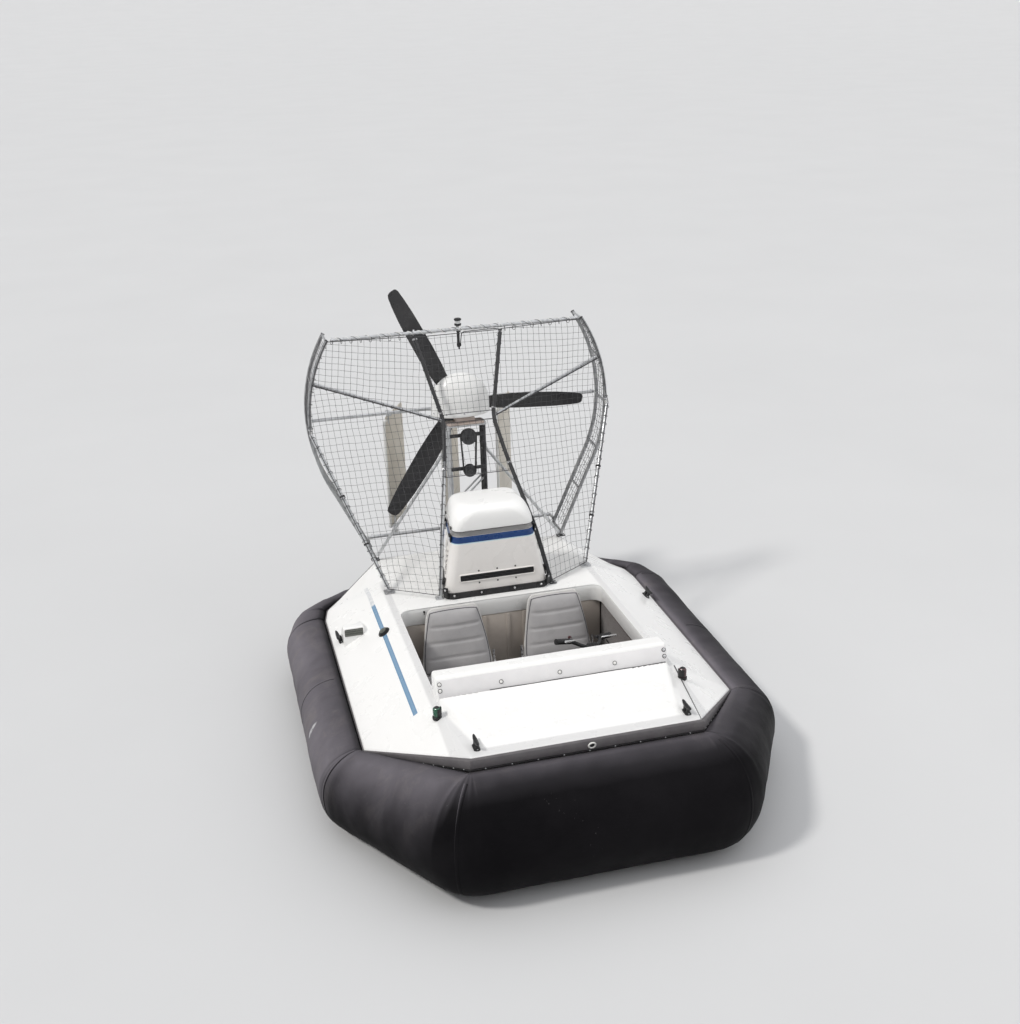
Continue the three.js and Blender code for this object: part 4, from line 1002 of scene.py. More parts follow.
            # outward direction of the section
            rad = np.array([(p[0] - pos[i][0]) * d[0] + (p[1] - pos[i][1]) * d[1] - oc, cz])
            L = np.linalg.norm(rad)
            rad = rad / L if L > 1e-6 else rad
            x = p[0] + d[0] * rad[0] * shift
            y = p[1] + d[1] * rad[0] * shift
            z = max(0.0035, p[2] + rad[1] * shift)
            verts.append((x, S(y), z))
            away.append(Vector((d[0] * rad[0], d[1] * rad[0], rad[1])))
    faces = ring_faces(n, ROW, True)
    v, f = outward(verts, faces)
    p = Parts()
    p.add(v, f, "bag")
    o = p.make("bag_skirt", "craft", "bag", tuple(x for x in NODES if x.startswith("skirt_")), angle=180)

    # seams: a flat doubled band sewn over each joint of the cloth, from the lip down and under
    seams = Parts()
    P = np.array(verts).reshape(n, ROW, 3)

    def band(i, lo, hi, half=0.010, thick=0.0009):
        ids = range(int(lo * ROW), int(hi * ROW))
        a, b = P[(i - 1) % n], P[(i + 1) % n]
        vs, fs = [], []
        for m, j in enumerate(ids):
            c = Vector(P[i][j])
            t = Vector(b[j]) - Vector(a[j])
            t.normalize()
            u = (Vector(P[i][(j + 1) % ROW]) - Vector(P[i][j - 1])).normalized()
            nn = t.cross(u).normalized()
            if nn.dot(away[i * ROW + j]) < 0:
                nn = -nn
            for s, h in ((-half, -0.001), (-half + 0.002, thick), (0, thick * 1.25), (half - 0.002, thick), (half, -0.001)):
                vs.append(c + t * s + nn * h)
        fs = ring_faces(len(ids), 5, False, False)
        seams.add(vs, fs, "bag")

    for k in range(N_LOOP):
        if k in (3, 4, 5, 8, 9, 10):
            continue
        best = int(np.argmin([math.dist(pos[i], LOOP[k][:2]) + (0 if st[i][5] < 5 else 1) + abs(st[i][5]) for i in range(n)]))
        band(best, 0.06, 0.60)
    # side seams on the straight runs
    for x in (0.98, -0.98):
        for y in (0.74,):
            band(int(np.argmin([math.dist(p, (x, y)) for p in pos])), 0.06, 0.60)
    for x in (-0.19, 0.19):
        band(int(np.argmin([math.dist(p, (x, 1.868)) for p in pos])), 0.06, 0.60)
    so = seams.make("bag_seams", "craft", "bag", angle=180)
    return o


bag()


# ------------------------------------------------------------------ edge trim
def trim_strip(p, ids, heights, thicks, lift, mat, profile, out=0.0):
    """A strip outside the deck edge. Profile points: share of thickness, share of height from its top."""
    rings = []
    for i, k in enumerate(ids):
        a3, c3, b3 = LOOP[(k - 1) % N_LOOP], LOOP[k], LOOP[(k + 1) % N_LOOP]
        a = np.array(c3[:2]) - np.array(a3[:2])
        b = np.array(b3[:2]) - np.array(c3[:2])
        a, b = a / np.linalg.norm(a), b / np.linalg.norm(b)
        na, nb = np.array([a[1], -a[0]]), np.array([b[1], -b[0]])
        m = na + nb
        m /= np.linalg.norm(m)
        s = 1 / (m @ na)
        off = np.zeros(2)
        if i == 0:
            m, s, off = nb, 1.0, b * 0.001
        if i == len(ids) - 1:
            m, s, off = na, 1.0, -a * 0.001
        ring = []
        for u, w in profile:
            d = (out + u * thicks[i]) * s
            ring.append(Vector((c3[0] + m[0] * d + off[0], S(c3[1] + m[1] * d + off[1]), c3[2] + lift - w * heights[i])))
        rings.append(ring)
    v, f = capped_loft(rings)
    p.add(*outward(v, f), mat)


def along_edge(k0, k1, t):
    a, b = np.array(LOOP[k0]), np.array(LOOP[k1 % N_LOOP])
    p = a * (1 - t) + b * t
    d = (b - a)[:2] / np.linalg.norm((b - a)[:2])
    return p, np.array([d[1], -d[0]]), d


def edge_trim():
    # bow bumper: a rounded grey moulding over a black batten
    p = Parts()
    rub = [(0.04, 0.0), (0.5, 0.0), (0.86, 0.035), (1.0, 0.11), (1.0, 0.74), (0.90, 0.82), (0.04, 0.84)]
    trim_strip(p, (12, 13, 0, 1), (0.025, 0.060, 0.060, 0.025), (0.0088, 0.0178, 0.0178, 0.0088), -0.0008, "bumper", rub)
    trim_strip(p, (12, 13, 0, 1), (0.025, 0.060, 0.060, 0.025), (0.0088, 0.0178, 0.0178, 0.0088), -0.0008, "black", [(0.04, 0.86), (0.92, 0.86), (0.96, 0.88), (0.96, 0.99), (0.9, 1.02), (0.04, 1.02)])
    # screws of the batten, close together on the chamfers
    for k0, k1, n, w in ((12, 13, 11, 0.92), (13, 0, 9, 0.93), (0, 1, 11, 0.92)):
        for i in range(n):
            q, out, d = along_edge(k0, k1, (i + 0.5) / n)
            t = (i + 0.5) / n
            h = 0.060 if (k0, k1) == (13, 0) else (0.025 + 0.035 * (t if k0 == 12 else 1 - t))
            th = 0.0178 if (k0, k1) == (13, 0) else (0.0088 + 0.009 * (t if k0 == 12 else 1 - t))
            c = (q[0] + out[0] * th * 0.96, S(q[1] + out[1] * th * 0.96), q[2] - h * w)
            p.bolt(c, (out[0], out[1], 0), 0.0026, "tube")
    p.make("bow_bumper_trim", "craft", "bumper", ("bow_bumper",), angle=40)

    for side, ids in (("port", (1, 2, 3, 4, 5, 6)), ("starboard", (7, 8, 9, 10, 11, 12))):
        p = Parts()
        flat = [(0.06, 0.0), (0.7, 0.0), (1.0, 0.12), (1.0, 0.88), (0.7, 1.0), (0.06, 1.0)]
        trim_strip(p, ids, [0.024] * 6, [0.0062] * 6, -0.003, "bumper", flat)
        for a, b in zip(ids, ids[1:]):
            l = math.dist(LOOP[a][:2], LOOP[b][:2])
            n = max(1, round(l / 0.085))
            for i in range(n):
                q, out, d = along_edge(a, b, (i + 0.5) / n)
                p.bolt((q[0] + out[0] * 0.0060, S(q[1] + out[1] * 0.0060), q[2] - 0.013), (out[0], out[1], 0), 0.0036, "plastic")
        p.make("edge_batten_trim_" + side, "craft", "trim", ("edge_batten_" + side,), angle=40)


edge_trim()


# ------------------------------------------------------------------ coaming beam and board
COAM_HALF, COAM_TOP = 0.607, 0.767


def coaming():
    foot, rear = flat_z(-0.058), flat_z(0.09)
    prof = [(-0.058, foot - 0.002), (-0.010, COAM_TOP), (0.086, COAM_TOP - 0.006), (0.090, rear - 0.012)]
    # rounded section, then rounded ends by shrinking toward them
    pts = []
    for k, (y, z) in enumerate(prof):
        if k in (0, 3):
            pts.append((y, z))
            continue
        a, b, c = (np.array(prof[k + i]) for i in (-1, 0, 1))
        r = 0.016
        pa, pc = b + (a - b) / np.linalg.norm(a - b) * r, b + (c - b) / np.linalg.norm(c - b) * r
        for i in range(6):
            t = i / 5
            q = pa * (1 - t) ** 2 + b * 2 * t * (1 - t) + pc * t * t
            pts.append((q[0], q[1]))
    cy, cz = 0.016, 0.69
    rings = []
    e = 0.014
    xs = []
    for k in range(5):
        q = k / 4 * math.pi / 2
        xs.append((-COAM_HALF + e - e * math.cos(q), e * (1 - math.sin(q))))
    cols = xs + [(-x, i) for x, i in reversed(xs)]
    for x, ins in cols:
        rings.append([Vector((x, S(y + (cy - y) / 0.05 * ins * 0.9 if abs(cy - y) > 1e-6 else y), z - (ins * 0.9 if z > 0.74 else 0))) for y, z in pts])
    v, f = capped_loft(rings)
    p = Parts()
    p.add(*outward(v, f), "gel")
    p.make("coaming_beam_mould", "craft", "gelcoat", ("coaming_beam",), angle=50)

    lean = math.atan2(COAM_TOP - foot, 0.048)
    ty, tz = math.cos(lean), math.sin(lean)
    ny, nz = -math.sin(lean), math.cos(lean)

    def at(x, s, t):
        return Vector((x, S(-0.058 + s * ty + t * ny), foot + s * tz + t * nz))

    b = Parts()
    m = Matrix((
        (1, 0, 0, 0),
        (0, ty, ny, S(-0.058)),
        (0, tz, nz, foot),
        (0, 0, 0, 1),
    ))
    out = rounded_rect(1.196, 0.088, 0.006, 3, 0, 0.070)
    b.add(*extruded(out, 0.0004, 0.0068, m, 0.0014, 2), "board")
    # bolt heads on plastic washers across the board
    for x, s in ((-0.588, 0.094), (-0.588, 0.062), (-0.277, 0.062), (0.028, 0.064), (0.320, 0.066), (0.588, 0.094), (0.588, 0.061)):
        b.lathe(at(x, s, 0.0066), (0, ny, nz), [(0, 0), (0.0112, 0), (0.0112, 0.0016), (0, 0.0018)], "plastic", 24)
        b.lathe(at(x, s, 0.0083), (0, ny, nz), [(0, 0), (0.0084, 0), (0.0080, 0.0024), (0.0050, 0.0048), (0, 0.0054)], "white" if x < 0.5 else "steel", 20)
    # dark sealant bead along the foot of the board, dark also as painted shadow under the board's lower edge
    b.tube([at(-0.34 + 0.93 * k / 12, 0.0300 + 0.0010 * math.sin(k * 1.7), 0.0068) for k in range(13)], 0.0019, "plastic", 8)
    b.make("coaming_board_bolted", "craft", "board", ("coaming_board",), angle=40)


coaming()


# ------------------------------------------------------------------ hull, floor and cockpit lining
def cockpit():
    for n in ("bow_hull", "stern_hull", "side_hull_port", "side_hull_starboard"):
        clothe(n, "blocks")
    clothe("hull_bottom", "hull", 0.010, 3)
    for n in ("skid_port", "skid_starboard"):
        clothe(n, "skid", 0.006, 3)
    p = Parts()
    # floor mat with raised ribs
    p.add(*extruded(rounded_rect(1.20, 1.24, 0.05, 4, 0, S(0.40)), 0.1203, 0.1235, Matrix.Identity(4), 0.001, 1), "mat")
    for k in range(38):
        y = S(-0.19) + k * 0.0318
        p.add(*soft_box((0, y, 0.1243), (1.14, 0.012, 0.0028), 0.001, None, 1), "mat")
    p.make("cockpit_floor_mat", "craft", "lining", angle=30)

    w = Parts()
    # rear bulkhead board with upright battens and a hatch; its top tucks under the deck's turned rim
    yb = S(1.0565)
    w.box((0, yb, 0.325), (1.214, 0.008, 0.39), "bulkhead", 0.002)
    for x in (-0.40, -0.10, 0.04, 0.14, 0.42):
        w.box((x, yb - 0.0068, 0.325), (0.024, 0.0055, 0.38), "bulkhead", 0.0018)
    w.add(*extruded(rounded_rect(0.20, 0.26, 0.02), 0, 0.006, place((-0.26, yb - 0.004, 0.34), (0, -1, 0)), 0.0015), "hull")
    for dx in (-0.085, 0.085):
        for dz in (-0.115, 0.115):
            w.bolt((-0.26 + dx, yb - 0.010, 0.34 + dz), (0, -1, 0), 0.0042, "steel")
    w.make("rear_bulkhead", "craft", "lining", angle=30)

    s = Parts()
    # side panels: carpeted boards with a parcel shelf lip, both sides
    for q in (-1, 1):
        s.box((q * 0.6145, S(0.42), 0.325), (0.006, 1.24, 0.37), "lining", 0.002)
        s.box((q * 0.606, S(0.52), 0.245), (0.012, 0.80, 0.13), "lining", 0.005)
        s.add(*tube([(q * 0.603, S(0.12), 0.312), (q * 0.603, S(0.92), 0.312)], 0.004, 8), "black")
    s.make("cockpit_side_panels", "craft", "lining", angle=30)

    # fastenings on the turned rim behind the seats
    r = Parts()
    rim = S(1.050) - 0.012
    for x, z in ((-0.16, 0.578), (0.19, 0.574), (0.47, 0.571)):
        r.bolt((x, S(1.050) - 0.0005, z), (0, -1, 0), 0.0045, "plastic")
    # a small hook near the starboard corner
    r.lathe((-0.455, S(1.050) - 0.0005, 0.600), (0, -1, 0), [(0, -0.001), (0.0062, -0.001), (0.0062, 0.003), (0.0045, 0.0045), (0, 0.005)], "plastic", 16)
    r.box((-0.455, S(1.050) - 0.004, 0.590), (0.0045, 0.005, 0.014), "plastic", 0.0015)
    r.make("rim_fastenings", "craft", "trim", angle=30)


cockpit()


# ------------------------------------------------------------------ seats
def cushion(cx, cy, cz, w, d, h, rot=None, crown=0.016, channels=3, pinch=0.007, nx=44, ny=40, side_rows=10, taper=0.0):
    """A crowned vinyl pad with sewn channels; local axes: x across, y along, z out of the seat."""
    verts = []
    r = 0.055

    def edge_pull(u, v):
        # sides pull in a little between the corners
        return 1 - pinch / w * 2 * (1 - (2 * v - 1) ** 2), 1 - pinch / d * 2 * (1 - (2 * u - 1) ** 2)

    top, bottom = [], []
    for j in range(ny + 1):
        for i in range(nx + 1):
            u, v = i / nx, j / ny
            px, py = edge_pull(u, v)
            # squircle corners
            a, b = 2 * u - 1, 2 * v - 1
            sx = a * math.sqrt(max(0, 1 - b * b * 0.16 * abs(a) ** 6))
            sy = b * math.sqrt(max(0, 1 - a * a * 0.16 * abs(b) ** 6))
            x, y = sx * w / 2 * px, sy * d / 2 * py
            x *= 1 - taper * max(0.0, (y + d / 2) / d) ** 1.3
            e = (1 - abs(a) ** 7) * (1 - abs(b) ** 7)
            z = h / 2 - 0.020 * (1 - e) + crown * (1 - a * a) * (1 - b * b)
            ch = (v * (channels + 1)) % 1.0
            dist = min(ch, 1 - ch) / (channels + 1) * d
            if 0.12 < v < 0.90:
                z -= 0.0065 * math.exp(-(dist / 0.007) ** 2) * (1 - abs(a) ** 8)
            n3 = noise.noise(Vector((x * 9 + cx * 7, y * 9, cz * 3)))
            z += 0.0022 * n3 * e
            top.append((x, y, z))
    n = (nx + 1) * (ny + 1)
    faces = []
    for j in range(ny):
        for i in range(nx):
            a = j * (nx + 1) + i
            faces.append((a, a + 1, a + nx + 2, a + nx + 1))
    rim = [i for i in range(nx + 1)] + [j * (nx + 1) + nx for j in range(1, ny + 1)] + [ny * (nx + 1) + i for i in range(nx - 1, -1, -1)] + [j * (nx + 1) for j in range(ny - 1, 0, -1)]
    verts = list(top)
    prev = rim
    ctr = np.array([0.0, 0.0])
    base = [np.array(top[i]) for i in rim]
    zr = [b[2] for b in base]
    for k in range(1, side_rows + 1):
        t = k / side_rows
        bulge = 0.008 * math.sin(t * math.pi)
        row = []
        for idx, b in enumerate(base):
            rad = np.array([b[0], b[1]])
            L = np.linalg.norm(rad)
            o = rad / L * (bulge - 0.006 * t ** 4)
            z = zr[idx] * (1 - t) + (-h / 2) * t
            row.append(len(verts))
            verts.append((b[0] + o[0], b[1] + o[1], z))
        m = len(rim)
        for i in range(m):
            q = (i + 1) % m
            faces.append((prev[i], row[i], row[q], prev[q]))
        prev = row
    faces.append(tuple(prev)[::-1])
    mtx = Matrix.Translation(Vector((cx, cy, cz))) @ (rot.to_4x4() if rot is not None else Matrix.Identity(4))
    world = [mtx @ Vector(v) for v in verts]
    pipe = [mtx @ Vector((base[i][0] * 1.004, base[i][1] * 1.004, zr[i] - 0.002)) for i in range(0, len(base))]
    v, f = outward(world, faces)
    return v, f, pipe


def tapered(outline, h, share=0.30):
    """An outline that narrows toward its top."""
    return [(x * (1 - share * max(0.0, (y + h / 2) / h) ** 1.3), y) for x, y in outline]


def seats():
    for side, x in (("port", 0.300), ("starboard", -0.300)):
        p = Parts()
        # moulded pedestal and pan
        p.add(*extruded(rounded_rect(0.374, 0.384, 0.035, 4, x, S(0.685)), 0.1205, 0.236, Matrix.Identity(4), 0.006), "shell")
        p.add(*extruded(rounded_rect(0.440, 0.456, 0.055, 5, x, S(0.672)), 0.2275, 0.246, Matrix.Identity(4), 0.007), "shell")
        # back shell: a leaning tray with rolled edge
        ya, za, yb, zb = S(0.880) + 0.018, 0.245, S(0.972) + 0.022, 0.648
        lean = math.atan2(yb - ya, zb - za)
        n = Vector((0, -math.cos(lean), math.sin(lean)))
        up = Vector((0, math.sin(lean), math.cos(lean)))
        mid = Vector((x, (ya + yb) / 2, (za + zb) / 2)) + Vector((0, 0.006, 0))
        p.add(*extruded(tapered(rounded_rect(0.424, 0.398, 0.05, 5), 0.398), -0.010, 0.006, place(mid, n, up), 0.006), "shell")
        # hinge arms with round covers, on both sides
        for q in (-1, 1):
            arm = [(x + q * 0.2165, S(0.842), 0.245), (x + q * 0.2165, S(0.905), 0.285), (x + q * 0.2165, S(0.925), 0.36)]
            p.tube(eased(arm, 0.03), 0.0075, "steel", 10)
            p.lathe((x + q * 0.212, S(0.895), 0.279), (q, 0, 0), [(0, 0), (0.017, 0), (0.017, 0.006), (0.013, 0.010), (0, 0.011)], "plastic", 18)
        p.make("seat_frame_" + side, "craft", "seat", ("seat_" + side,), angle=35)
        v, f, pipe = cushion(x, S(0.666), 0.272, 0.436, 0.444, 0.050, None, 0.010)
        c = Parts().add(v, f, "seat")
        o = c.make("seat_cushion_" + side, "craft", "seat", angle=180)
        ctr = mid + n * 0.022
        rot = frame_of(n, up)
        v, f, pipe2 = cushion(ctr.x, ctr.y, ctr.z, 0.412, 0.376, 0.034, rot, 0.009, taper=0.30)
        c = Parts().add(v, f, "seat")
        o = c.make("seat_back_pad_" + side, "craft", "seat", angle=180)
        t = Parts()
        t.tube(pipe, 0.0032, "piping", 6, closed=True)
        t.tube(pipe2, 0.0032, "piping", 6, closed=True)
        t.make("seat_piping_" + side, "craft", "seat", angle=180)


seats()


# ------------------------------------------------------------------ helm
def helm():
    p = Parts()
    # instrument panel under the foredeck edge: leaning face with gauges and switches
    a, b = Vector((0, S(-0.002), flat_z(-0.002) - 0.021)), Vector((0, S(0.062), 0.470))
    up = (a - b).normalized()
    n = Vector((0, -up.z, up.y))
    n = -n if n.y < 0 else n
    mid = (a + b) / 2 + Vector((0.335, 0, 0))
    h = (a - b).length
    p.add(*extruded(rounded_rect(0.446, h * 0.96, 0.02), -0.030, 0.0, place(mid, n, up), 0.006), "plastic")
    right = up.cross(n)

    def on(u, w, d=0.0):
        return mid + right * u + up * w + n * d

    for u, r in ((-0.150, 0.040), (-0.045, 0.032), (0.045, 0.032), (0.150, 0.040)):
        p.lathe(on(u, 0.022), n, [(0, 0), (r + 0.005, 0), (r + 0.005, 0.005), (r, 0.008), (r - 0.003, 0.005), (r - 0.003, 0.003), (0, 0.003)], "steel", 28)
        p.lathe(on(u, 0.022, 0.0032), n, [(0, 0), (r - 0.004, 0), (r - 0.004, 0.0004), (0, 0.0005)], "dial", 28)
        for k in range(11):
            q = math.radians(225 - 27 * k)
            d = right * math.cos(q) + up * math.sin(q)
            p.tube([on(u, 0.022, 0.0042) + d * (r * 0.66), on(u, 0.022, 0.0042) + d * (r * 0.80)], 0.0008, "plastic", 4)
        q = math.radians(200 - 40 * (u > 0))
        d = right * math.cos(q) + up * math.sin(q)
        p.tube([on(u, 0.022, 0.005) - d * r * 0.15, on(u, 0.022, 0.005) + d * r * 0.62], [0.0016, 0.0005], "red", 5)
    for k in range(5):
        p.box(on(-0.16 + k * 0.05, -0.052, 0.004), (0.018, 0.028, 0.009), "plastic", 0.002, frame_of(n, up))
    p.lathe(on(0.15, -0.052), n, [(0, 0), (0.013, 0), (0.013, 0.004), (0.009, 0.006), (0, 0.006)], "steel", 18)
    p.make("dash_panel", "craft", "panel", ("instrument_panel",), angle=30)

    d = Vector((0, 0.5, 0.866)).normalized()
    foot = Vector((0.340, S(0.124), 0.120))
    q = Parts()
    q.add(*extruded(rounded_rect(0.098, 0.104, 0.014, 4, 0.340, S(0.137)), 0.1203, 0.1315, Matrix.Identity(4), 0.003), "black")
    for dx in (-0.036, 0.036):
        for dy in (-0.038, 0.038):
            q.bolt((0.340 + dx, S(0.137) + dy, 0.1316), (0, 0, 1), 0.0055, "steel")
    q.tube([foot + d * 0.010, foot + d * 0.430], 0.019, "black", 20)
    q.lathe(foot + d * 0.425, d, [(0.019, 0), (0.024, 0.003), (0.024, 0.040), (0.026, 0.044), (0.026, 0.076), (0.022, 0.0795), (0, 0.0798)], "plastic", 24)
    q.make("steering_column", "craft", "black_tube", ("steering_post",), angle=35)

    # handlebar, turned with the rudders
    turn = math.radians(37)
    base = foot + d * 0.5055
    across0, back0 = Vector((1, 0, 0)), d.cross(Vector((1, 0, 0)))
    rot = Matrix.Rotation(turn, 3, d)
    across, back = rot @ across0, rot @ back0

    def sp(a, b_, c):
        return base + d * a + across * b_ + back * c

    g = Parts()
    g.lathe(base, d, [(0, 0), (0.0235, 0), (0.0235, 0.016), (0.020, 0.022), (0.020, 0.030), (0, 0.030)], "black", 24)
    g.box(sp(0.034, 0, 0), (0.060, 0.034, 0.030), "black", 0.006, Matrix((across, back, d)).transposed())
    path = eased([sp(0.080, -0.242, 0.050), sp(0.072, -0.130, 0.034), sp(0.030, -0.064, 0), sp(0.030, 0.064, 0), sp(0.072, 0.130, 0.034), sp(0.080, 0.242, 0.050)], 0.05, 8)
    g.tube(path, 0.0105, "black", 16)
    for s in (-1, 1):
        a, b_ = sp(0.0795, s * 0.240, 0.0498), sp(0.0731, s * 0.142, 0.0362)
        steps = [a + (b_ - a) * (k / 24) for k in range(25)]
        radii = [0.0158 if k % 3 else 0.0142 for k in range(25)]
        radii[0] = radii[-1] = 0.0165
        g.tube(steps, radii, "black", 18)
        # lever with its perch
        c = sp(0.0725, s * 0.132, 0.0355)
        g.box(c, (0.020, 0.026, 0.022), "plastic", 0.004, Matrix((across, back, d)).transposed())
        lever = eased([c + back * -0.014, c + back * -0.038 + across * s * 0.012, c + back * -0.040 + across * s * 0.095], 0.018)
        g.tube(lever, [0.005] * (len(lever) - 1) + [0.007], "steel", 10)
    # thumb throttle body and kill switch
    g.box(sp(0.078, 0.122, 0.050), (0.026, 0.020, 0.018), "plastic", 0.004, Matrix((across, back, d)).transposed())
    g.lathe(sp(0.088, -0.122, 0.046), d, [(0, 0), (0.010, 0), (0.010, 0.012), (0.007, 0.015), (0, 0.015)], "red", 16)
    g.make("handlebar_assembly", "handlebar", "grip", ("handlebar",), angle=40)


helm()


# ------------------------------------------------------------------ engine cowl and its cap
def level_ring(wf, wr, yf, yr, r, z, n=9, grow=0.0, rf=None):
    """A rounded trapezoid: front and rear half widths, front and rear stations, corner radius."""
    f, b, y0, y1 = wf + grow, wr + grow, yf - grow, yr + grow
    lean = (f - b) / (y1 - y0)
    out = []
    for sx, front, q0 in ((1, False, 0), (-1, False, 90), (-1, True, 180), (1, True, 270)):
        q = max((rf if front and rf else r) + grow, 0.002)
        cy = y0 + q if front else y1 - q
        cx = sx * (f - lean * (cy - y0) - q)
        for k in range(n + 1):
            w = math.radians(q0 + 90 * k / n)
            x, y = cx + q * math.cos(w), cy + q * math.sin(w)
            out.append(Vector((x, S(y), z(y) if callable(z) else z)))
    return out


COWL = [  # height, front half, rear half, front, rear, corner
    (0.632, 0.319, 0.236, 1.116, 1.502, 0.050),
    (0.682, 0.315, 0.234, 1.119, 1.502, 0.052),
    (0.973, 0.251, 0.216, 1.158, 1.492, 0.056),
]
CAP = [
    (1.0200, 0.2465, 0.2145, 1.1545, 1.4945, 0.054),
    (1.0240, 0.2475, 0.2155, 1.1535, 1.4955, 0.055),
    (1.0550, 0.2440, 0.2125, 1.1555, 1.4945, 0.057),
    (1.0880, 0.2370, 0.2065, 1.1590, 1.4915, 0.060),
    (1.1130, 0.2270, 0.1990, 1.1650, 1.4865, 0.063),
    (1.1310, 0.2130, 0.1890, 1.1760, 1.4780, 0.065),
    (1.1420, 0.1950, 0.1740, 1.1940, 1.4630, 0.064),
    (1.1480, 0.1720, 0.1540, 1.2180, 1.4420, 0.058),
    (1.1510, 0.1300, 0.1170, 1.2580, 1.4080, 0.046),
    (1.1525, 0.0700, 0.0620, 1.3060, 1.3700, 0.024),
]


def between(table, z):
    zs = [t[0] for t in table]
    return [float(np.interp(z, zs, [t[k] for t in table])) for k in range(1, 6)]


def smooth_table(table, per=4):
    """More levels through the table on a smooth curve."""
    t = np.array(table)
    d = np.r_[0, np.cumsum(np.linalg.norm(np.diff(t[:, :5], axis=0), axis=1))]
    out = []
    for i in range(len(t) - 1):
        p0, p1, p2, p3 = t[max(i - 1, 0)], t[i], t[i + 1], t[min(i + 2, len(t) - 1)]
        for k in range(per):
            u = k / per
            m1, m2 = (p2 - p0) / 2, (p3 - p1) / 2
            u2, u3 = u * u, u * u * u
            out.append((2 * u3 - 3 * u2 + 1) * p1 + (u3 - 2 * u2 + u) * m1 + (-2 * u3 + 3 * u2) * p2 + (u3 - u2) * m2)
    out.append(t[-1])
    return out


def cowl_front(x, z, d=0.0):
    """A point on the front face of the cowl and its normal."""
    wf, wr, yf, yr, r = between(COWL, z)
    slope = (COWL[2][3] - COWL[1][3]) / (COWL[2][0] - COWL[1][0])
    n = Vector((0, -1, slope)).normalized()
    return Vector((x, S(yf), z)) + n * d, n


def cowl_side(s, y, z, d=0.0):
    wf, wr, yf, yr, r = between(COWL, z)
    t = (y - yf) / (yr - yf)
    x = wf + (wr - wf) * t
    wf2, wr2, yf2, yr2, _ = between(COWL, z + 0.01)
    x2 = wf2 + (wr2 - wf2) * ((y - yf2) / (yr2 - yf2))
    along, up = Vector(((wr - wf) / (yr - yf) * s, 1, 0)), Vector(((x2 - x) * s, 0, 0.01))
    n = along.cross(up).normalized()
    if n.x * s < 0:
        n = -n
    return Vector((s * x, S(y), z)) + n * d, n


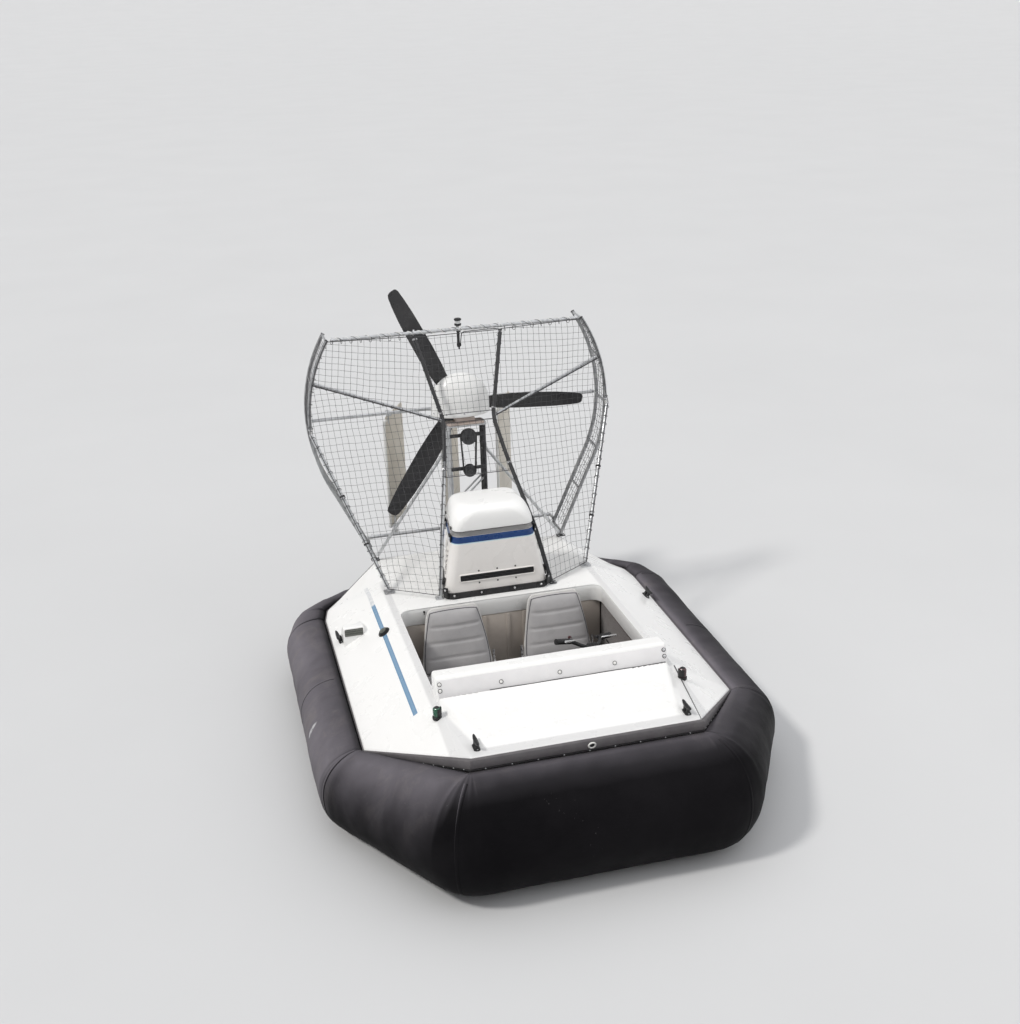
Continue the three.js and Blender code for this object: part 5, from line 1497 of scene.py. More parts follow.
def cowl():
    p = Parts()

    def level(z, grow=0.0):
        return level_ring(*between(COWL, z), z, grow=grow)

    foot = level_ring(*between(COWL, 0.64), lambda y: flat_z(y) + 0.0008)
    # wall from the foot up to the bands
    rings = [foot] + [level(z) for z in (0.655, 0.70, 0.75, 0.80, 0.85, 0.90, 0.9415)]
    n = len(rings[0])

    def skin(rs, mat):
        v = [q for r in rs for q in r]
        p.add(v, ring_faces(len(rs), n), mat)

    skin(rings, "cream")
    skin([level(0.9415), level(0.9465)], "pale")
    skin([level(0.9465), level(0.955), level(0.970), level_ring(*COWL[2][1:], 0.9845, grow=-0.0003)], "royal")
    a = COWL[2]
    lip = [
        level_ring(*a[1:], 0.9845, grow=-0.0003),
        level_ring(*a[1:], 0.9862, grow=-0.0016),
        level_ring(*a[1:], 0.9875, grow=-0.0052),
        level_ring(*a[1:], 0.9890, grow=-0.0072),
        level_ring(*a[1:], 1.0140, grow=-0.0092),
        level_ring(*a[1:], 1.0180, grow=-0.0100),
        level_ring(*a[1:], 1.0192, grow=-0.0130),
        level_ring(*a[1:], 1.0170, grow=-0.0150),
        level_ring(*a[1:], 0.9850, grow=-0.0150),
        level_ring(*between(COWL, 0.96), 0.96, grow=-0.010),
        level_ring(*between(COWL, 0.70), 0.70, grow=-0.009),
        level_ring(*between(COWL, 0.64), lambda y: flat_z(y) + 0.0008, grow=-0.009),
        foot,
    ]
    # the recessed band under the cap is grey, partly as painted shade of the recess
    skin(lip[:7], "lip")
    skin(lip[6:], "cream")
    o = p.make("engine_cowl_shell", "craft", "gelcoat", ("engine_cowl",), angle=42)
    weld(o)

    # rubber strip and fixings at the foot, louvre, latches
    q = Parts()
    strip = []
    for g, h in ((0.0004, 0.037), (0.0060, 0.034), (0.0086, 0.027), (0.0100, 0.008), (0.0095, 0.0008), (0.0004, 0.0008)):
        strip.append(level_ring(*between(COWL, 0.64), (lambda hh: (lambda y: flat_z(y) + hh))(h), grow=g))
    q.add([c for r in strip for c in r], ring_faces(len(strip), n), "black")
    for s in (-1, 1):
        for k, x in enumerate((0.262, 0.10)):
            c, nn = cowl_front(s * x, 0.645, 0.011)
            q.box(c, (0.046, 0.032, 0.006), "plastic", 0.002, frame_of(nn))
            q.bolt(c + nn * 0.003, nn, 0.0045, "steel")
        # clamp on each front corner
        wf, wr, yf, yr, r = between(COWL, 0.67)
        c = Vector((s * (wf - 0.014), S(yf + 0.012), 0.664))
        q.box(c + Vector((s * 0.006, -0.006, 0)), (0.030, 0.012, 0.062), "plastic", 0.004, Matrix.Rotation(s * math.radians(45), 3, "Z"))
        q.bolt(c + Vector((s * 0.011, -0.011, 0.018)), (s, -1, 0), 0.0042, "steel")
        for y in (1.19, 1.33, 1.45):
            c, nn = cowl_side(s, y, 0.646, 0.0075)
            q.box(c, (0.036, 0.026, 0.005), "plastic", 0.0018, frame_of(nn))
            q.bolt(c + nn * 0.0025, nn, 0.004, "steel")
    # louvre: a dark slot between rolled lips
    c, nn = cowl_front(0.004, 0.738, 0.0)
    fr = place(c, nn)
    slot = rounded_rect(0.440, 0.033, 0.005, 4)
    q.add(*extruded(slot, -0.004, 0.0016, fr, 0.0008, 1), "plastic")
    ring = [fr @ Vector((x, y, 0.0024)) for x, y in rounded_rect(0.448, 0.041, 0.008, 6)]
    q.tube(ring, 0.0034, "cream", 8, closed=True)
    for k in range(3):
        y = -0.011 + k * 0.011
        q.add(*soft_box(fr @ Vector((0, y, 0.0032)), (0.386, 0.0042, 0.0046), 0.0015, frame_of(nn) @ Matrix.Rotation(math.radians(28), 3, "X"), 1), "black")
    for x in (-0.222, -0.11, 0, 0.11, 0.222):
        for dy in ((-0.036, 0.036) if abs(x) < 0.2 else (0,)):
            q.bolt(fr @ Vector((x, dy, 0.0003)), nn, 0.0034, "plastic")
    # latches: a T handle on each side near the cap and one low at the front, and the two at the rear
    for s in (-1, 1):
        for y, z in ((1.20, 0.972), (1.44, 0.972)):
            c, nn = cowl_side(s, y, z, 0.001)
            f = frame_of(nn)
            q.box(c + nn * 0.003, (0.022, 0.052, 0.006), "plastic", 0.002, f)
            q.box(c + nn * 0.009 + f @ Vector((0, 0.018, 0)), (0.036, 0.012, 0.010), "plastic", 0.003, f)
            q.lathe(c + nn * 0.005 + f @ Vector((0, -0.014, 0)), nn, [(0, 0), (0.007, 0), (0.007, 0.005), (0.005, 0.007), (0, 0.007)], "steel", 12)
        c, nn = cowl_side(s, 1.175, 0.705, 0.001)
        f = frame_of(nn)
        q.box(c + nn * 0.003, (0.020, 0.060, 0.006), "plastic", 0.002, f)
        q.box(c + nn * 0.010, (0.034, 0.014, 0.010), "plastic", 0.003, f)
        # cooling gills on the side
        for k in range(6):
            c, nn = cowl_side(s, 1.30, 0.745 + k * 0.028, 0.001)
            f = frame_of(nn)
            q.add(*soft_box(c + nn * 0.002, (0.150, 0.010, 0.008), 0.0035, f @ Matrix.Rotation(math.radians(-24), 3, "X"), 2), "cream")
            q.add(*soft_box(c + nn * 0.0006 - f @ Vector((0, 0.0085, 0)), (0.142, 0.007, 0.0014), 0.0006, f, 1), "plastic")
    # grille at the rear
    c = Vector((0, S(1.4975), 0.80))
    q.add(*extruded(rounded_rect(0.30, 0.20, 0.025), -0.002, 0.003, place(c, (0, 1, 0.034)), 0.0012, 2), "black")
    for k in range(9):
        q.add(*soft_box(c + Vector((0, 0.0035, -0.080 + k * 0.020)), (0.27, 0.004, 0.011), 0.0015, Matrix.Rotation(math.radians(28), 3, "X"), 1), "plastic")
    for x in (-0.137, 0.137):
        for z in (-0.087, 0.087):
            q.bolt(c + Vector((x, 0.003, z)), (0, 1, 0), 0.004, "steel")
    q.make("engine_cowl_fittings", "craft", "trim", angle=40)


def weld(o, d=2e-5):
    bm = bmesh.new()
    bm.from_mesh(o.data)
    bmesh.ops.remove_doubles(bm, verts=bm.verts[:], dist=d)
    bmesh.ops.recalc_face_normals(bm, faces=bm.faces[:])
    bm.to_mesh(o.data)
    bm.free()
    o.data.update()


def cap():
    p = Parts()
    rings = []
    a = CAP[0]
    inner = [(1.0200, -0.012), (1.0560, -0.012), (1.0860, -0.012)]
    for z, g in reversed(inner):
        rings.append(level_ring(*between(CAP, z), z, grow=g, n=12))
    rings.append(level_ring(*a[1:], 1.0190, n=12, grow=-0.012))
    rings.append(level_ring(*a[1:], 1.0186, n=12, grow=-0.004))
    for row in smooth_table(CAP, 5):
        front = min(row[5] + 2.5 * max(0.0, row[0] - 1.03) ** 1.6, row[1] * 0.85, (row[4] - row[3]) * 0.48)
        rings.append(level_ring(*row[1:], row[0], n=12, rf=front))
    v, f = capped_loft(rings, True, True)
    p.add(v, f, "gel")
    o = p.make("cowl_cap_shell", "cowl_cap", "gelcoat", ("cowl_cap",), angle=50)
    weld(o)
    q = Parts()
    # dark seal under the rim and the two hinge knuckles in front
    ring = level_ring(*a[1:], 1.0180, n=12, grow=-0.002)
    q.tube(ring, 0.0022, "black", 6, closed=True)
    for s in (-1, 1):
        q.tube([(s * 0.150 - 0.022, S(1.1545), 1.0205), (s * 0.150 + 0.022, S(1.1545), 1.0205)], 0.0030, "lip", 8)
        for y in (1.20, 1.44):
            wf, wr, yf, yr, r = CAP[1][1:]
            x = wf + (wr - wf) * (y - yf) / (yr - yf)
            q.box((s * (x + 0.003), S(y), 1.034), (0.007, 0.018, 0.016), "plastic", 0.002)
            q.bolt((s * (x + 0.0062), S(y), 1.034), (s, 0, 0), 0.0032, "steel")
    q.make("cowl_cap_fittings", "cowl_cap", "trim", angle=40)


cowl()
cap()


# ------------------------------------------------------------------ engine under the cowl
def engine():
    p = Parts()
    z0 = flat_z(1.205) + 0.003
    p.box((0, S(1.3225), (z0 + 0.66) / 2 + 0.01), (0.325, 0.232, 0.66 - z0 + 0.02), "plastic", 0.008)
    p.box((0, S(1.3225), 0.755), (0.270, 0.200, 0.200), "engine", 0.014, None, 3)
    for k in range(7):
        p.box((0, S(1.232) + k * 0.030, 0.755), (0.282, 0.006, 0.176), "engine", 0.0025)
    for s in (-1, 1):
        r = Matrix.Rotation(math.radians(s * 24), 3, "Y")
        c = Vector((s * 0.085, S(1.3225), 0.862))
        p.box(c, (0.120, 0.215, 0.070), "engine", 0.012, r, 3)
        p.box(c + r @ Vector((0, 0, 0.038)), (0.108, 0.205, 0.022), "dark", 0.009, r, 3)
        for k in range(4):
            y = -0.075 + k * 0.05
            for x in (-0.048, 0.048):
                p.bolt(c + r @ Vector((x, y, 0.040)), r @ Vector((0, 0, 1)), 0.004, "steel")
            p.tube(eased([c + r @ Vector((s * 0.02, y, 0.030)), c + r @ Vector((s * 0.052, y, 0.045)), Vector((s * 0.150, S(1.25) - 0.0, 0.80 + k * 0.004))], 0.03), 0.0042, "plastic", 8)
        # exhaust manifold
        for k in range(3):
            y = S(1.25) + k * 0.065
            p.tube(eased([(s * 0.120, y, 0.80), (s * 0.148, y, 0.79), (s * 0.148, y + 0.02, 0.74)], 0.025), 0.013, "engine", 12)
        p.tube([(s * 0.146, S(1.225), 0.728), (s * 0.146, S(1.425), 0.722)], 0.017, "engine", 14)
    # plenum and air filter
    p.box((0, S(1.3225), 0.918), (0.110, 0.190, 0.046), "steel", 0.018, None, 3)
    p.lathe((0, S(1.3225), 0.935), (0, 0, 1), [(0, 0), (0.088, 0), (0.090, 0.004), (0.090, 0.010), (0.084, 0.012), (0.084, 0.028), (0.090, 0.030), (0.090, 0.036), (0.060, 0.0385), (0.012, 0.0395), (0, 0.0395)], "plastic", 40)
    for k in range(40):
        q = 2 * math.pi * k / 40
        p.box((0.085 * math.cos(q), S(1.3225) + 0.085 * math.sin(q), 0.955), (0.004, 0.004, 0.015), "seat", 0.001, Matrix.Rotation(q, 3, "Z"), 1)
    p.bolt((0, S(1.3225), 0.9725), (0, 0, 1), 0.006, "steel")
    # pulleys and belt in front
    for x, z, r in ((0, 0.715, 0.052), (0.092, 0.790, 0.032), (-0.090, 0.785, 0.036)):
        p.lathe((x, S(1.222), z), (0, -1, 0), [(0, 0), (r, 0), (r, 0.003), (r - 0.006, 0.006), (r - 0.006, 0.010), (r, 0.013), (r, 0.016), (r * 0.4, 0.016), (r * 0.4, 0.011), (0, 0.011)], "engine", 26)
    loop = []
    for x, z, r, q0, q1 in ((0, 0.715, 0.048, 200, 340), (0.092, 0.790, 0.028, -20, 100), (-0.090, 0.785, 0.032, 80, 200)):
        for k in range(9):
            q = math.radians(q0 + (q1 - q0) * k / 8)
            loop.append((x + r * math.cos(q), S(1.214), z + r * math.sin(q)))
    p.tube(loop, 0.0045, "black", 8, closed=True)
    # hoses
    p.tube(eased([(0.10, S(1.40), 0.88), (0.135, S(1.40), 0.90), (0.150, S(1.36), 0.84), (0.150, S(1.30), 0.70)], 0.04), 0.012, "black", 12)
    p.tube(eased([(-0.05, S(1.41), 0.91), (-0.13, S(1.415), 0.90), (-0.155, S(1.38), 0.80), (-0.155, S(1.38), 0.68)], 0.04), 0.010, "black", 12)
    p.make("engine_assembly", "craft", "engine", ("engine_block",), angle=35)


engine()


# ------------------------------------------------------------------ tower, belt, dome, propeller
PROP_Z = 1.505


def drive():
    p = Parts()
    base = flat_z(1.813)
    p.add(*extruded(rounded_rect(0.262, 0.096, 0.012, 4, 0, S(1.813)), 0.0008, 0.0085, Matrix.Translation(Vector((0, 0, base + 0.002))), 0.0015), "tube")
    for x in (-0.108, 0.108):
        for y in (1.790, 1.850):
            b = Vector((x, S(y), flat_z(y) + 0.010))
            # starboard legs pale, port legs dark: lit and shaded copies of one tube, painted light and shade
            p.tube([b, (x, S(y), 1.446)], 0.0128, "tube" if x < 0 else "dark", 20)
            # weld beads at the foot and under the head
            p.lathe(b, (0, 0, 1), [(0.0125, -0.002), (0.0165, -0.001), (0.0158, 0.002), (0.0125, 0.005)], "tube", 20)
            p.lathe((x, S(y), 1.440), (0, 0, -1), [(0.0125, -0.001), (0.0162, 0.0), (0.0156, 0.003), (0.0125, 0.005)], "tube", 20)
        for k, z in enumerate((0.86, 1.06, 1.26)):
            p.tube([(x, S(1.790), z), (x, S(1.850), z + 0.012)], 0.0062, "tube", 10)
    # lacing between the two rows
    for y in (1.790, 1.850):
        for z0, z1 in ((0.70, 0.90), (0.90, 1.10)):
            p.tube([(-0.106, S(y), z0), (0.106, S(y), z1)], 0.0058, "tube", 10)
    p.add(*extruded(rounded_rect(0.252, 0.112, 0.014, 4, 0, S(1.824)), 1.440, 1.449, Matrix.Identity(4), 0.002), "tube")
    p.add(*extruded(rounded_rect(0.230, 0.100, 0.012, 4, 0, S(1.824)), 1.449, 1.4555, Matrix.Identity(4), 0.002), "dust")
    for x in (-0.112, 0.112):
        for y in (1.782, 1.866):
            p.bolt((x, S(y), 1.4492), (0, 0, 1), 0.0062, "steel")
    # bearing block with its cap and bolts
    p.box((0, S(1.840), 1.472), (0.118, 0.080, 0.034), "dust", 0.006, None, 3)
    p.lathe((0, S(1.812), PROP_Z), (0, 1, 0), [(0, 0), (0.036, 0), (0.040, 0.004), (0.040, 0.109), (0.036, 0.113), (0, 0.113)], "engine", 36)
    p.lathe((0, S(1.862), PROP_Z), (0, 1, 0), [(0.039, 0), (0.0425, 0.002), (0.0425, 0.014), (0.039, 0.016)], "steel", 36)
    for s in (-1, 1):
        p.bolt((s * 0.050, S(1.826), 1.4892), (0, 0, 1), 0.0065, "steel")
        p.bolt((s * 0.050, S(1.858), 1.4892), (0, 0, 1), 0.0065, "steel")
    p.lathe((0, S(1.920), PROP_Z), (0, 1, 0), [(0, 0), (0.0248, 0), (0.0248, 0.094), (0.0235, 0.0965), (0, 0.0965)], "steel", 30)
    # arms that carry the belt pulleys in front of the tower
    for z in (1.170, 1.386):
        p.box((0, S(1.775), z), (0.216, 0.010, 0.022), "dark", 0.003)
        p.lathe((0, S(1.712), z), (0, 1, 0), [(0, 0), (0.009, 0), (0.011, 0.002), (0.011, 0.058), (0, 0.058)], "dark", 18)
    for z, r in ((1.170, 0.0325), (1.386, 0.0435)):
        p.lathe((0, S(1.7195), z), (0, 1, 0), [(0.010, 0), (r + 0.002, 0), (r + 0.0035, 0.0012), (r + 0.0035, 0.0024), (r, 0.0034), (r, 0.0322), (r + 0.0035, 0.0332), (r + 0.0035, 0.0344), (r + 0.002, 0.0352), (0.010, 0.0352)], "dark", 36)
    p.make("drive_tower_frame", "craft", "tube", ("drive_tower",), angle=35)

    # belt: a toothed loop over the two pulleys
    z0, r0, z1, r1 = 1.170, 0.0395, 1.386, 0.0505
    a = math.asin((r1 - r0) / (z1 - z0))
    path = []
    for k in range(17):
        q = math.pi - a + (math.pi + 2 * a) * k / 16
        path.append((r0 * math.cos(q), z0 + r0 * math.sin(q)))
    for k in range(17):
        q = a + (math.pi - 2 * a) * k / 16
        path.append((r1 * math.cos(q), z1 + r1 * math.sin(q)))
    f = sampler([np.array(c) for c in path])
    n = 150
    pts = [f(i / n) for i in range(n)]
    rings = []
    for i in range(n):
        t = pts[(i + 1) % n] - pts[i - 1]
        t /= np.linalg.norm(t)
        out = np.array([t[1], -t[0]])
        c = pts[i]
        if (c - np.array([0, (z0 + z1) / 2])) @ out < 0:
            out = -out
        d = 0.0062 if i % 2 else 0.0038
        ring = []
        for w, h in ((-0.0148, 0.0), (-0.0125, 0.0008), (0.0125, 0.0008), (0.0148, 0.0), (0.0148, -d), (-0.0148, -d)):
            ring.append(Vector((c[0] + out[0] * h, S(1.737) + w, c[1] + out[1] * h)))
        rings.append(ring)
    v = [q for r in rings for q in r]
    b = Parts()
    b.add(*outward(v, ring_faces(n, 6, True)), "black")
    b.make("drive_belt_toothed", "craft", "belt", ("drive_belt",), angle=25)

    # dome
    d = Parts()
    R, H, W = 0.181, 0.072, 0.005
    prof = [(R - W - 0.002, -H), (R - 0.0005, -H), (R + 0.0010, -H + 0.002), (R + 0.0010, -H + 0.012), (R, -H + 0.0145)]
    for k in range(25):
        q = k / 24 * math.pi / 2
        prof.append((R * math.cos(q) if k < 24 else 0.0, R * math.sin(q)))
    sides = 72
    cx, cy, cz = -0.007, S(1.900), 1.563
    verts, rows = [], []
    full = prof + [(0.0, R - W)] + [((R - W) * math.cos(k / 14 * math.pi / 2), (R - W) * math.sin(k / 14 * math.pi / 2)) for k in range(13, -1, -1)] + [(R - W - 0.002, -H)]
    for r, h in full[:-1]:
        if r < 1e-6:
            rows.append([len(verts)])
            verts.append((cx, cy, cz + h))
        else:
            rows.append(list(range(len(verts), len(verts) + sides)))
            for j in range(sides):
                q = 2 * math.pi * (j + 0.5) / sides
                sx, sy = math.cos(q), math.sin(q)
                x, y, z = cx + r * sx, cy + r * sy * 0.580, cz + h
                # notch for the shaft at the rear
                if h < -0.02 and sy > 0 and abs(x - cx) < 0.036:
                    z = cz + max(h, -0.026)
                verts.append((x, y, z))
    faces = []
    rr = rows + [rows[0]]
    for A, B in zip(rr, rr[1:]):
        if len(A) == 1 and len(B) == 1:
            continue
        for j in range(sides):
            k = (j + 1) % sides
            if len(A) == 1:
                faces.append((A[0], B[k], B[j]))
            elif len(B) == 1:
                faces.append((A[j], A[k], B[0]))
            else:
                faces.append((A[j], A[k], B[k], B[j]))
    d.add(verts, faces, "gel")
    for k in range(10):
        q = 2 * math.pi * (k + 0.5) / 10
        if math.sin(q) > 0.9:
            continue
        d.bolt((cx + (R + 0.0006) * math.cos(q), cy + (R + 0.0006) * math.sin(q) * 0.58, cz - H + 0.022), (math.cos(q) * 0.58, math.sin(q), 0), 0.0042, "steel")
    o = d.make("pulley_dome_shell", "craft", "gelcoat", ("pulley_dome",), angle=50)
    weld(o, 1e-6)


def propeller():
    p = Parts()
    c = Vector((0, S(2.045), PROP_Z))
    p.lathe(c, (0, 1, 0), [(0, -0.025), (0.056, -0.025), (0.060, -0.021), (0.060, 0.019), (0.057, 0.0235), (0.042, 0.0245), (0.040, 0.026), (0.0385, 0.030), (0.030, 0.0372), (0.022, 0.038), (0, 0.038)], "blade", 48)
    for k in range(6):
        q = math.radians(60 * k + 26)
        p.bolt(c + Vector((0.050 * math.cos(q), 0.0245, 0.050 * math.sin(q))), (0, 1, 0), 0.0052, "steel")
        p.bolt(c + Vector((0.048 * math.cos(q), -0.0252, 0.048 * math.sin(q))), (0, -1, 0), 0.0046, "steel")
    st = [(0.046, 0.060, 42, 0.030), (0.085, 0.072, 39, 0.026), (0.140, 0.100, 35, 0.0185), (0.250, 0.120, 29.5, 0.0150), (0.380, 0.128, 25, 0.0128), (0.520, 0.121, 21.5, 0.0112), (0.640, 0.112, 19, 0.0098), (0.740, 0.095, 17.2, 0.0082), (0.800, 0.078, 16.1, 0.0068), (0.818, 0.062, 15.4, 0.0058), (0.8245, 0.036, 15.1, 0.0046)]
    T = np.array(st)
    foil = []
    for k in range(13):
        x = (1 - math.cos(math.pi * k / 12)) / 2
        t = 5 * (0.2969 * math.sqrt(x) - 0.126 * x - 0.3516 * x * x + 0.2843 * x ** 3 - 0.1036 * x ** 4)
        foil.append((x, t))
    loop = [(x - 0.42, t * 0.62 + 0.10 * 4 * x * (1 - x)) for x, t in foil] + [(x - 0.42, -t * 0.38 + 0.10 * 4 * x * (1 - x)) for x, t in foil[-2:0:-1]]
    for ang in (116, 236, 356):
        rings = []
        for r in list(np.linspace(0.046, 0.80, 30)) + [0.812, 0.818, 0.822, 0.8245]:
            chord, pitch, th = (float(np.interp(r, T[:, 0], T[:, j])) for j in (1, 2, 3))
            a = math.radians(pitch)
            # thick round root
            ring = []
            for x, h in loop:
                u, w = -x * chord, h * th
                y, z = u * math.sin(a) + w * math.cos(a), u * math.cos(a) - w * math.sin(a)
                ring.append(Vector((r, y, -z)))
            rings.append(ring)
        v, f = capped_loft(rings)
        q = math.radians(ang)
        m = Matrix(((math.cos(q), 0, -math.sin(q)), (0, 1, 0), (math.sin(q), 0, math.cos(q))))
        v = [c + m @ t for t in v]
        p.add(*outward(v, f), "blade")
        # root clamp
        for h in (-0.014, 0.014):
            p.bolt(c + m @ Vector((0.060, 0, 0)) * 0.70 + Vector((0, 0.0248, 0)) + m @ Vector((0, 0, h)) * 0.5, (0, 1, 0), 0.0035, "steel")
    p.make("propeller_blades", "propeller", "blade", ("propeller",), angle=38)


drive()
propeller()


# ------------------------------------------------------------------ propeller guard
HOOP_R, HOOP_Z, FOOT_X, FOOT_Z, TOP_Z = 0.930, 1.508, 0.606, 0.620, 2.005
HOOP_F, HOOP_B = 1.845, 2.021


def hoop_y(base, z):
    return base + 0.07 * (z - 0.620)


def on_hoop(base, s, z, grow=0.0):
    r = HOOP_R + grow
    q = math.asin(max(-1, min(1, (z - HOOP_Z) / r)))
    low = math.radians(-29)
    if q >= low:
        return Vector((s * r * math.cos(q), S(hoop_y(base, z)), z))
    zk, xk = HOOP_Z + r * math.sin(low), r * math.cos(low)
    t = (z - FOOT_Z) / (zk - FOOT_Z)
    return Vector((s * (FOOT_X + (xk - FOOT_X) * t), S(hoop_y(base, z)), z))


def hoop_path(base, s):
    pts = [Vector((s * FOOT_X, S(hoop_y(base, FOOT_Z)), FOOT_Z))]
    low, high = math.radians(-29), math.asin((TOP_Z - HOOP_Z) / HOOP_R)
    for k in range(7):
        z = FOOT_Z + (HOOP_Z + HOOP_R * math.sin(low) - FOOT_Z) * (k + 1) / 8
        pts.append(on_hoop(base, s, z))
    for k in range(41):
        q = low + (high - low) * k / 40
        z = HOOP_Z + HOOP_R * math.sin(q)
        pts.append(Vector((s * HOOP_R * math.cos(q), S(hoop_y(base, z)), z)))
    return pts


def weld_bead(p, at, axis, r, mat, w=0.004):
    """A lumpy ring where one tube meets another."""
    axis = Vector(axis).normalized()
    u = axis.orthogonal().normalized()
    v = axis.cross(u)
    ring = []
    for k in range(20):
        q = 2 * math.pi * k / 20
        rr = r * (1.03 + 0.05 * math.sin(q * 7 + at[0] * 50))
        ring.append(Vector(at) + (u * math.cos(q) + v * math.sin(q)) * rr)
    p.tube(ring, w * 0.6, mat, 6, closed=True)


def clamp(p, at, axis, r, mat="steel"):
    """A hose-type clamp band with its screw."""
    axis = Vector(axis).normalized()
    p.lathe(Vector(at) - axis * 0.005, axis, [(r - 0.001, 0), (r + 0.0014, 0), (r + 0.0018, 0.001), (r + 0.0018, 0.009), (r + 0.0014, 0.010), (r - 0.001, 0.010)], mat, 22)
    u = axis.orthogonal().normalized()
    p.box(Vector(at) + u * (r + 0.005), (0.010, 0.010, 0.008), mat, 0.0015, frame_of(u, axis))


def flange(p, x, y, w, d, mat):
    z = flat_z(y)
    p.add(*extruded(rounded_rect(w, d, 0.008, 4, x, S(y)), 0.0008, 0.0072, Matrix.Translation(Vector((0, 0, z + 0.0005))), 0.0015), mat)
    for a in (-1, 1):
        for b in (-1, 1):
            p.bolt((x + a * (w / 2 - 0.010), S(y) + b * (d / 2 - 0.010), z + 0.0078), (0, 0, 1), 0.0042, "steel")


INNER = [(0.334, 1.152, flat_z(1.152) + 0.018), (0.283, 1.287, 0.928), (0.190, 1.562, 1.306), (0.153, 1.717, 1.509), (0.267, 1.927, 1.984)]


def guard():
    for side, s in (("port", 1), ("starboard", -1)):
        p = Parts()
        for base in (HOOP_F, HOOP_B):
            pts = hoop_path(base, s)
            p.tube(pts, 0.0110, "hoop", 16)
            top = pts[-1]
            p.lathe(top, (pts[-1] - pts[-2]).normalized(), [(0.0118, -0.001), (0.0126, 0), (0.0126, 0.002), (0.010, 0.0035), (0, 0.0038)], "plastic", 16)
        for z in (0.632, 0.910, 1.170, 1.465, 1.755, 2.000):
            a, b = on_hoop(HOOP_F, s, z), on_hoop(HOOP_B, s, z)
            p.tube([a, b], 0.0074, "hoop" if z < 1.9 else "tube", 12)
            d = (b - a).normalized()
            weld_bead(p, a + d * 0.012, d, 0.0084, "hoop")
            weld_bead(p, b - d * 0.012, d, 0.0084, "hoop")
        # feet on the deck
        for base in (HOOP_F, HOOP_B):
            y = hoop_y(base, FOOT_Z)
            if y < 1.865:
                flange(p, s * FOOT_X, y, 0.052, 0.044, "dark")
        p.make("guard_hoop_tubes_" + side, "craft", "tube", ("guard_hoop_" + side,), angle=35)

        p = Parts()
        foot = Vector((s * FOOT_X, S(1.333), flat_z(1.333) + 0.004))
        wide = Vector((s * 0.933, S(hoop_y(HOOP_F, 1.460) - 0.027), 1.460))
        bent = Vector((s * FOOT_X, S(1.333), flat_z(1.333) + 0.020))
        p.tube(eased([foot, bent, wide], 0.012), 0.0112, "tube", 20)
        # port flange and weld bead pale, starboard ones mid-grey: one fitting in two tones, the pale port one a painted
        # glint
        flange(p, s * FOOT_X, 1.333, 0.062, 0.060, "tube" if s > 0 else "hoop")
        weld_bead(p, foot + Vector((0, 0, 0.006)), (0, 0, 1), 0.0148, "tube" if s > 0 else "hoop")
        # flattened end bolted to the hoop
        d = (wide - bent).normalized()
        h = on_hoop(HOOP_F, s, 1.460)
        p.box((wide + h) / 2 - d * 0.006, (0.010, (wide - h).length, 0.030), "white", 0.003, frame_of((0, 0, 1), wide - h))
        p.bolt(wide + Vector((s * -0.001, -0.0135, 0.002)), (0, -1, 0.1), 0.0062, "steel")
        clamp(p, h + Vector((0, 0, 0.022)), (0, 0.07, 1), 0.0120)
        clamp(p, bent + d * 0.30, d, 0.0140, "black")
        clamp(p, bent + d * 0.62, d, 0.0140, "black")
        p.make("guard_leg_tube_" + side, "craft", "white_tube", ("guard_leg_" + side,), angle=35)

        p = Parts()
        P = [Vector((s * x, S(y), z)) for x, y, z in INNER]
        low = eased([Vector((s * 0.336, S(1.150), flat_z(1.150) + 0.006))] + P[:4] + [P[4]], 0.05, 8)
        # the starboard post is pale below its knee and the port post dark all along: the pale lower starboard part is
        # painted sunlight and the dark port part partly painted shade; above the knees both are dark paint
        knee = min(range(len(low)), key=lambda i: (low[i] - P[2]).length)
        if s < 0:
            p.tube(low[:knee + 1], 0.0118, "tube", 18)
            p.tube(low[knee:], 0.0118, "dark", 18)
        else:
            p.tube(low, 0.0118, "dark", 18)
        # flange pale on the starboard side and dark on the port side: painted light and shade
        flange(p, s * 0.345, 1.150, 0.042, 0.042, "tube" if s < 0 else "dark")
        a, b = P[3], Vector((s * 0.880, S(hoop_y(HOOP_F, 1.755)), 1.755))
        h = on_hoop(HOOP_F, s, 1.755)
        p.tube([a, b], 0.0088, "tube", 14)
        d = (b - a).normalized()
        p.box(b + d * 0.004, (0.003, 0.034, 0.020), "tube", 0.001, frame_of(d.cross(Vector((0, 0, 1))).cross(d), d))
        clamp(p, b - d * 0.012, d, 0.0092)
        weld_bead(p, a + d * 0.014, d, 0.0098, "tube")
        clamp(p, P[3] + (P[4] - P[3]).normalized() * 0.05, P[4] - P[3], 0.0122)
        clamp(p, P[2] + (P[1] - P[2]).normalized() * 0.05, P[1] - P[2], 0.0122)
        clamp(p, P[4] - (P[4] - P[3]).normalized() * 0.015, P[4] - P[3], 0.0122)
        p.make("guard_post_tube_" + side, "craft", "tube", ("guard_inner_post_" + side,), angle=35)

        p = Parts()
        a, b = Vector((s * 0.1315, S(1.856), 1.262)), Vector((s * 0.592, S(1.836), flat_z(1.836) + 0.030))
        d = (b - a).normalized()
        p.tube([a, b], 0.0095, "tube", 16)
        p.box(a + d * 0.010, (0.016, 0.030, 0.006), "tube", 0.002, frame_of((0, -1, 0), d))
        p.bolt(a + d * 0.014 + Vector((0, -0.0095, 0)), (0, -1, 0), 0.0045, "steel")
        weld_bead(p, b - d * 0.006, d, 0.0104, "tube")
        clamp(p, a + d * 0.19, d, 0.0097)
        p.make("guard_brace_tube_" + side, "craft", "tube", ("guard_brace_" + side,), angle=35)

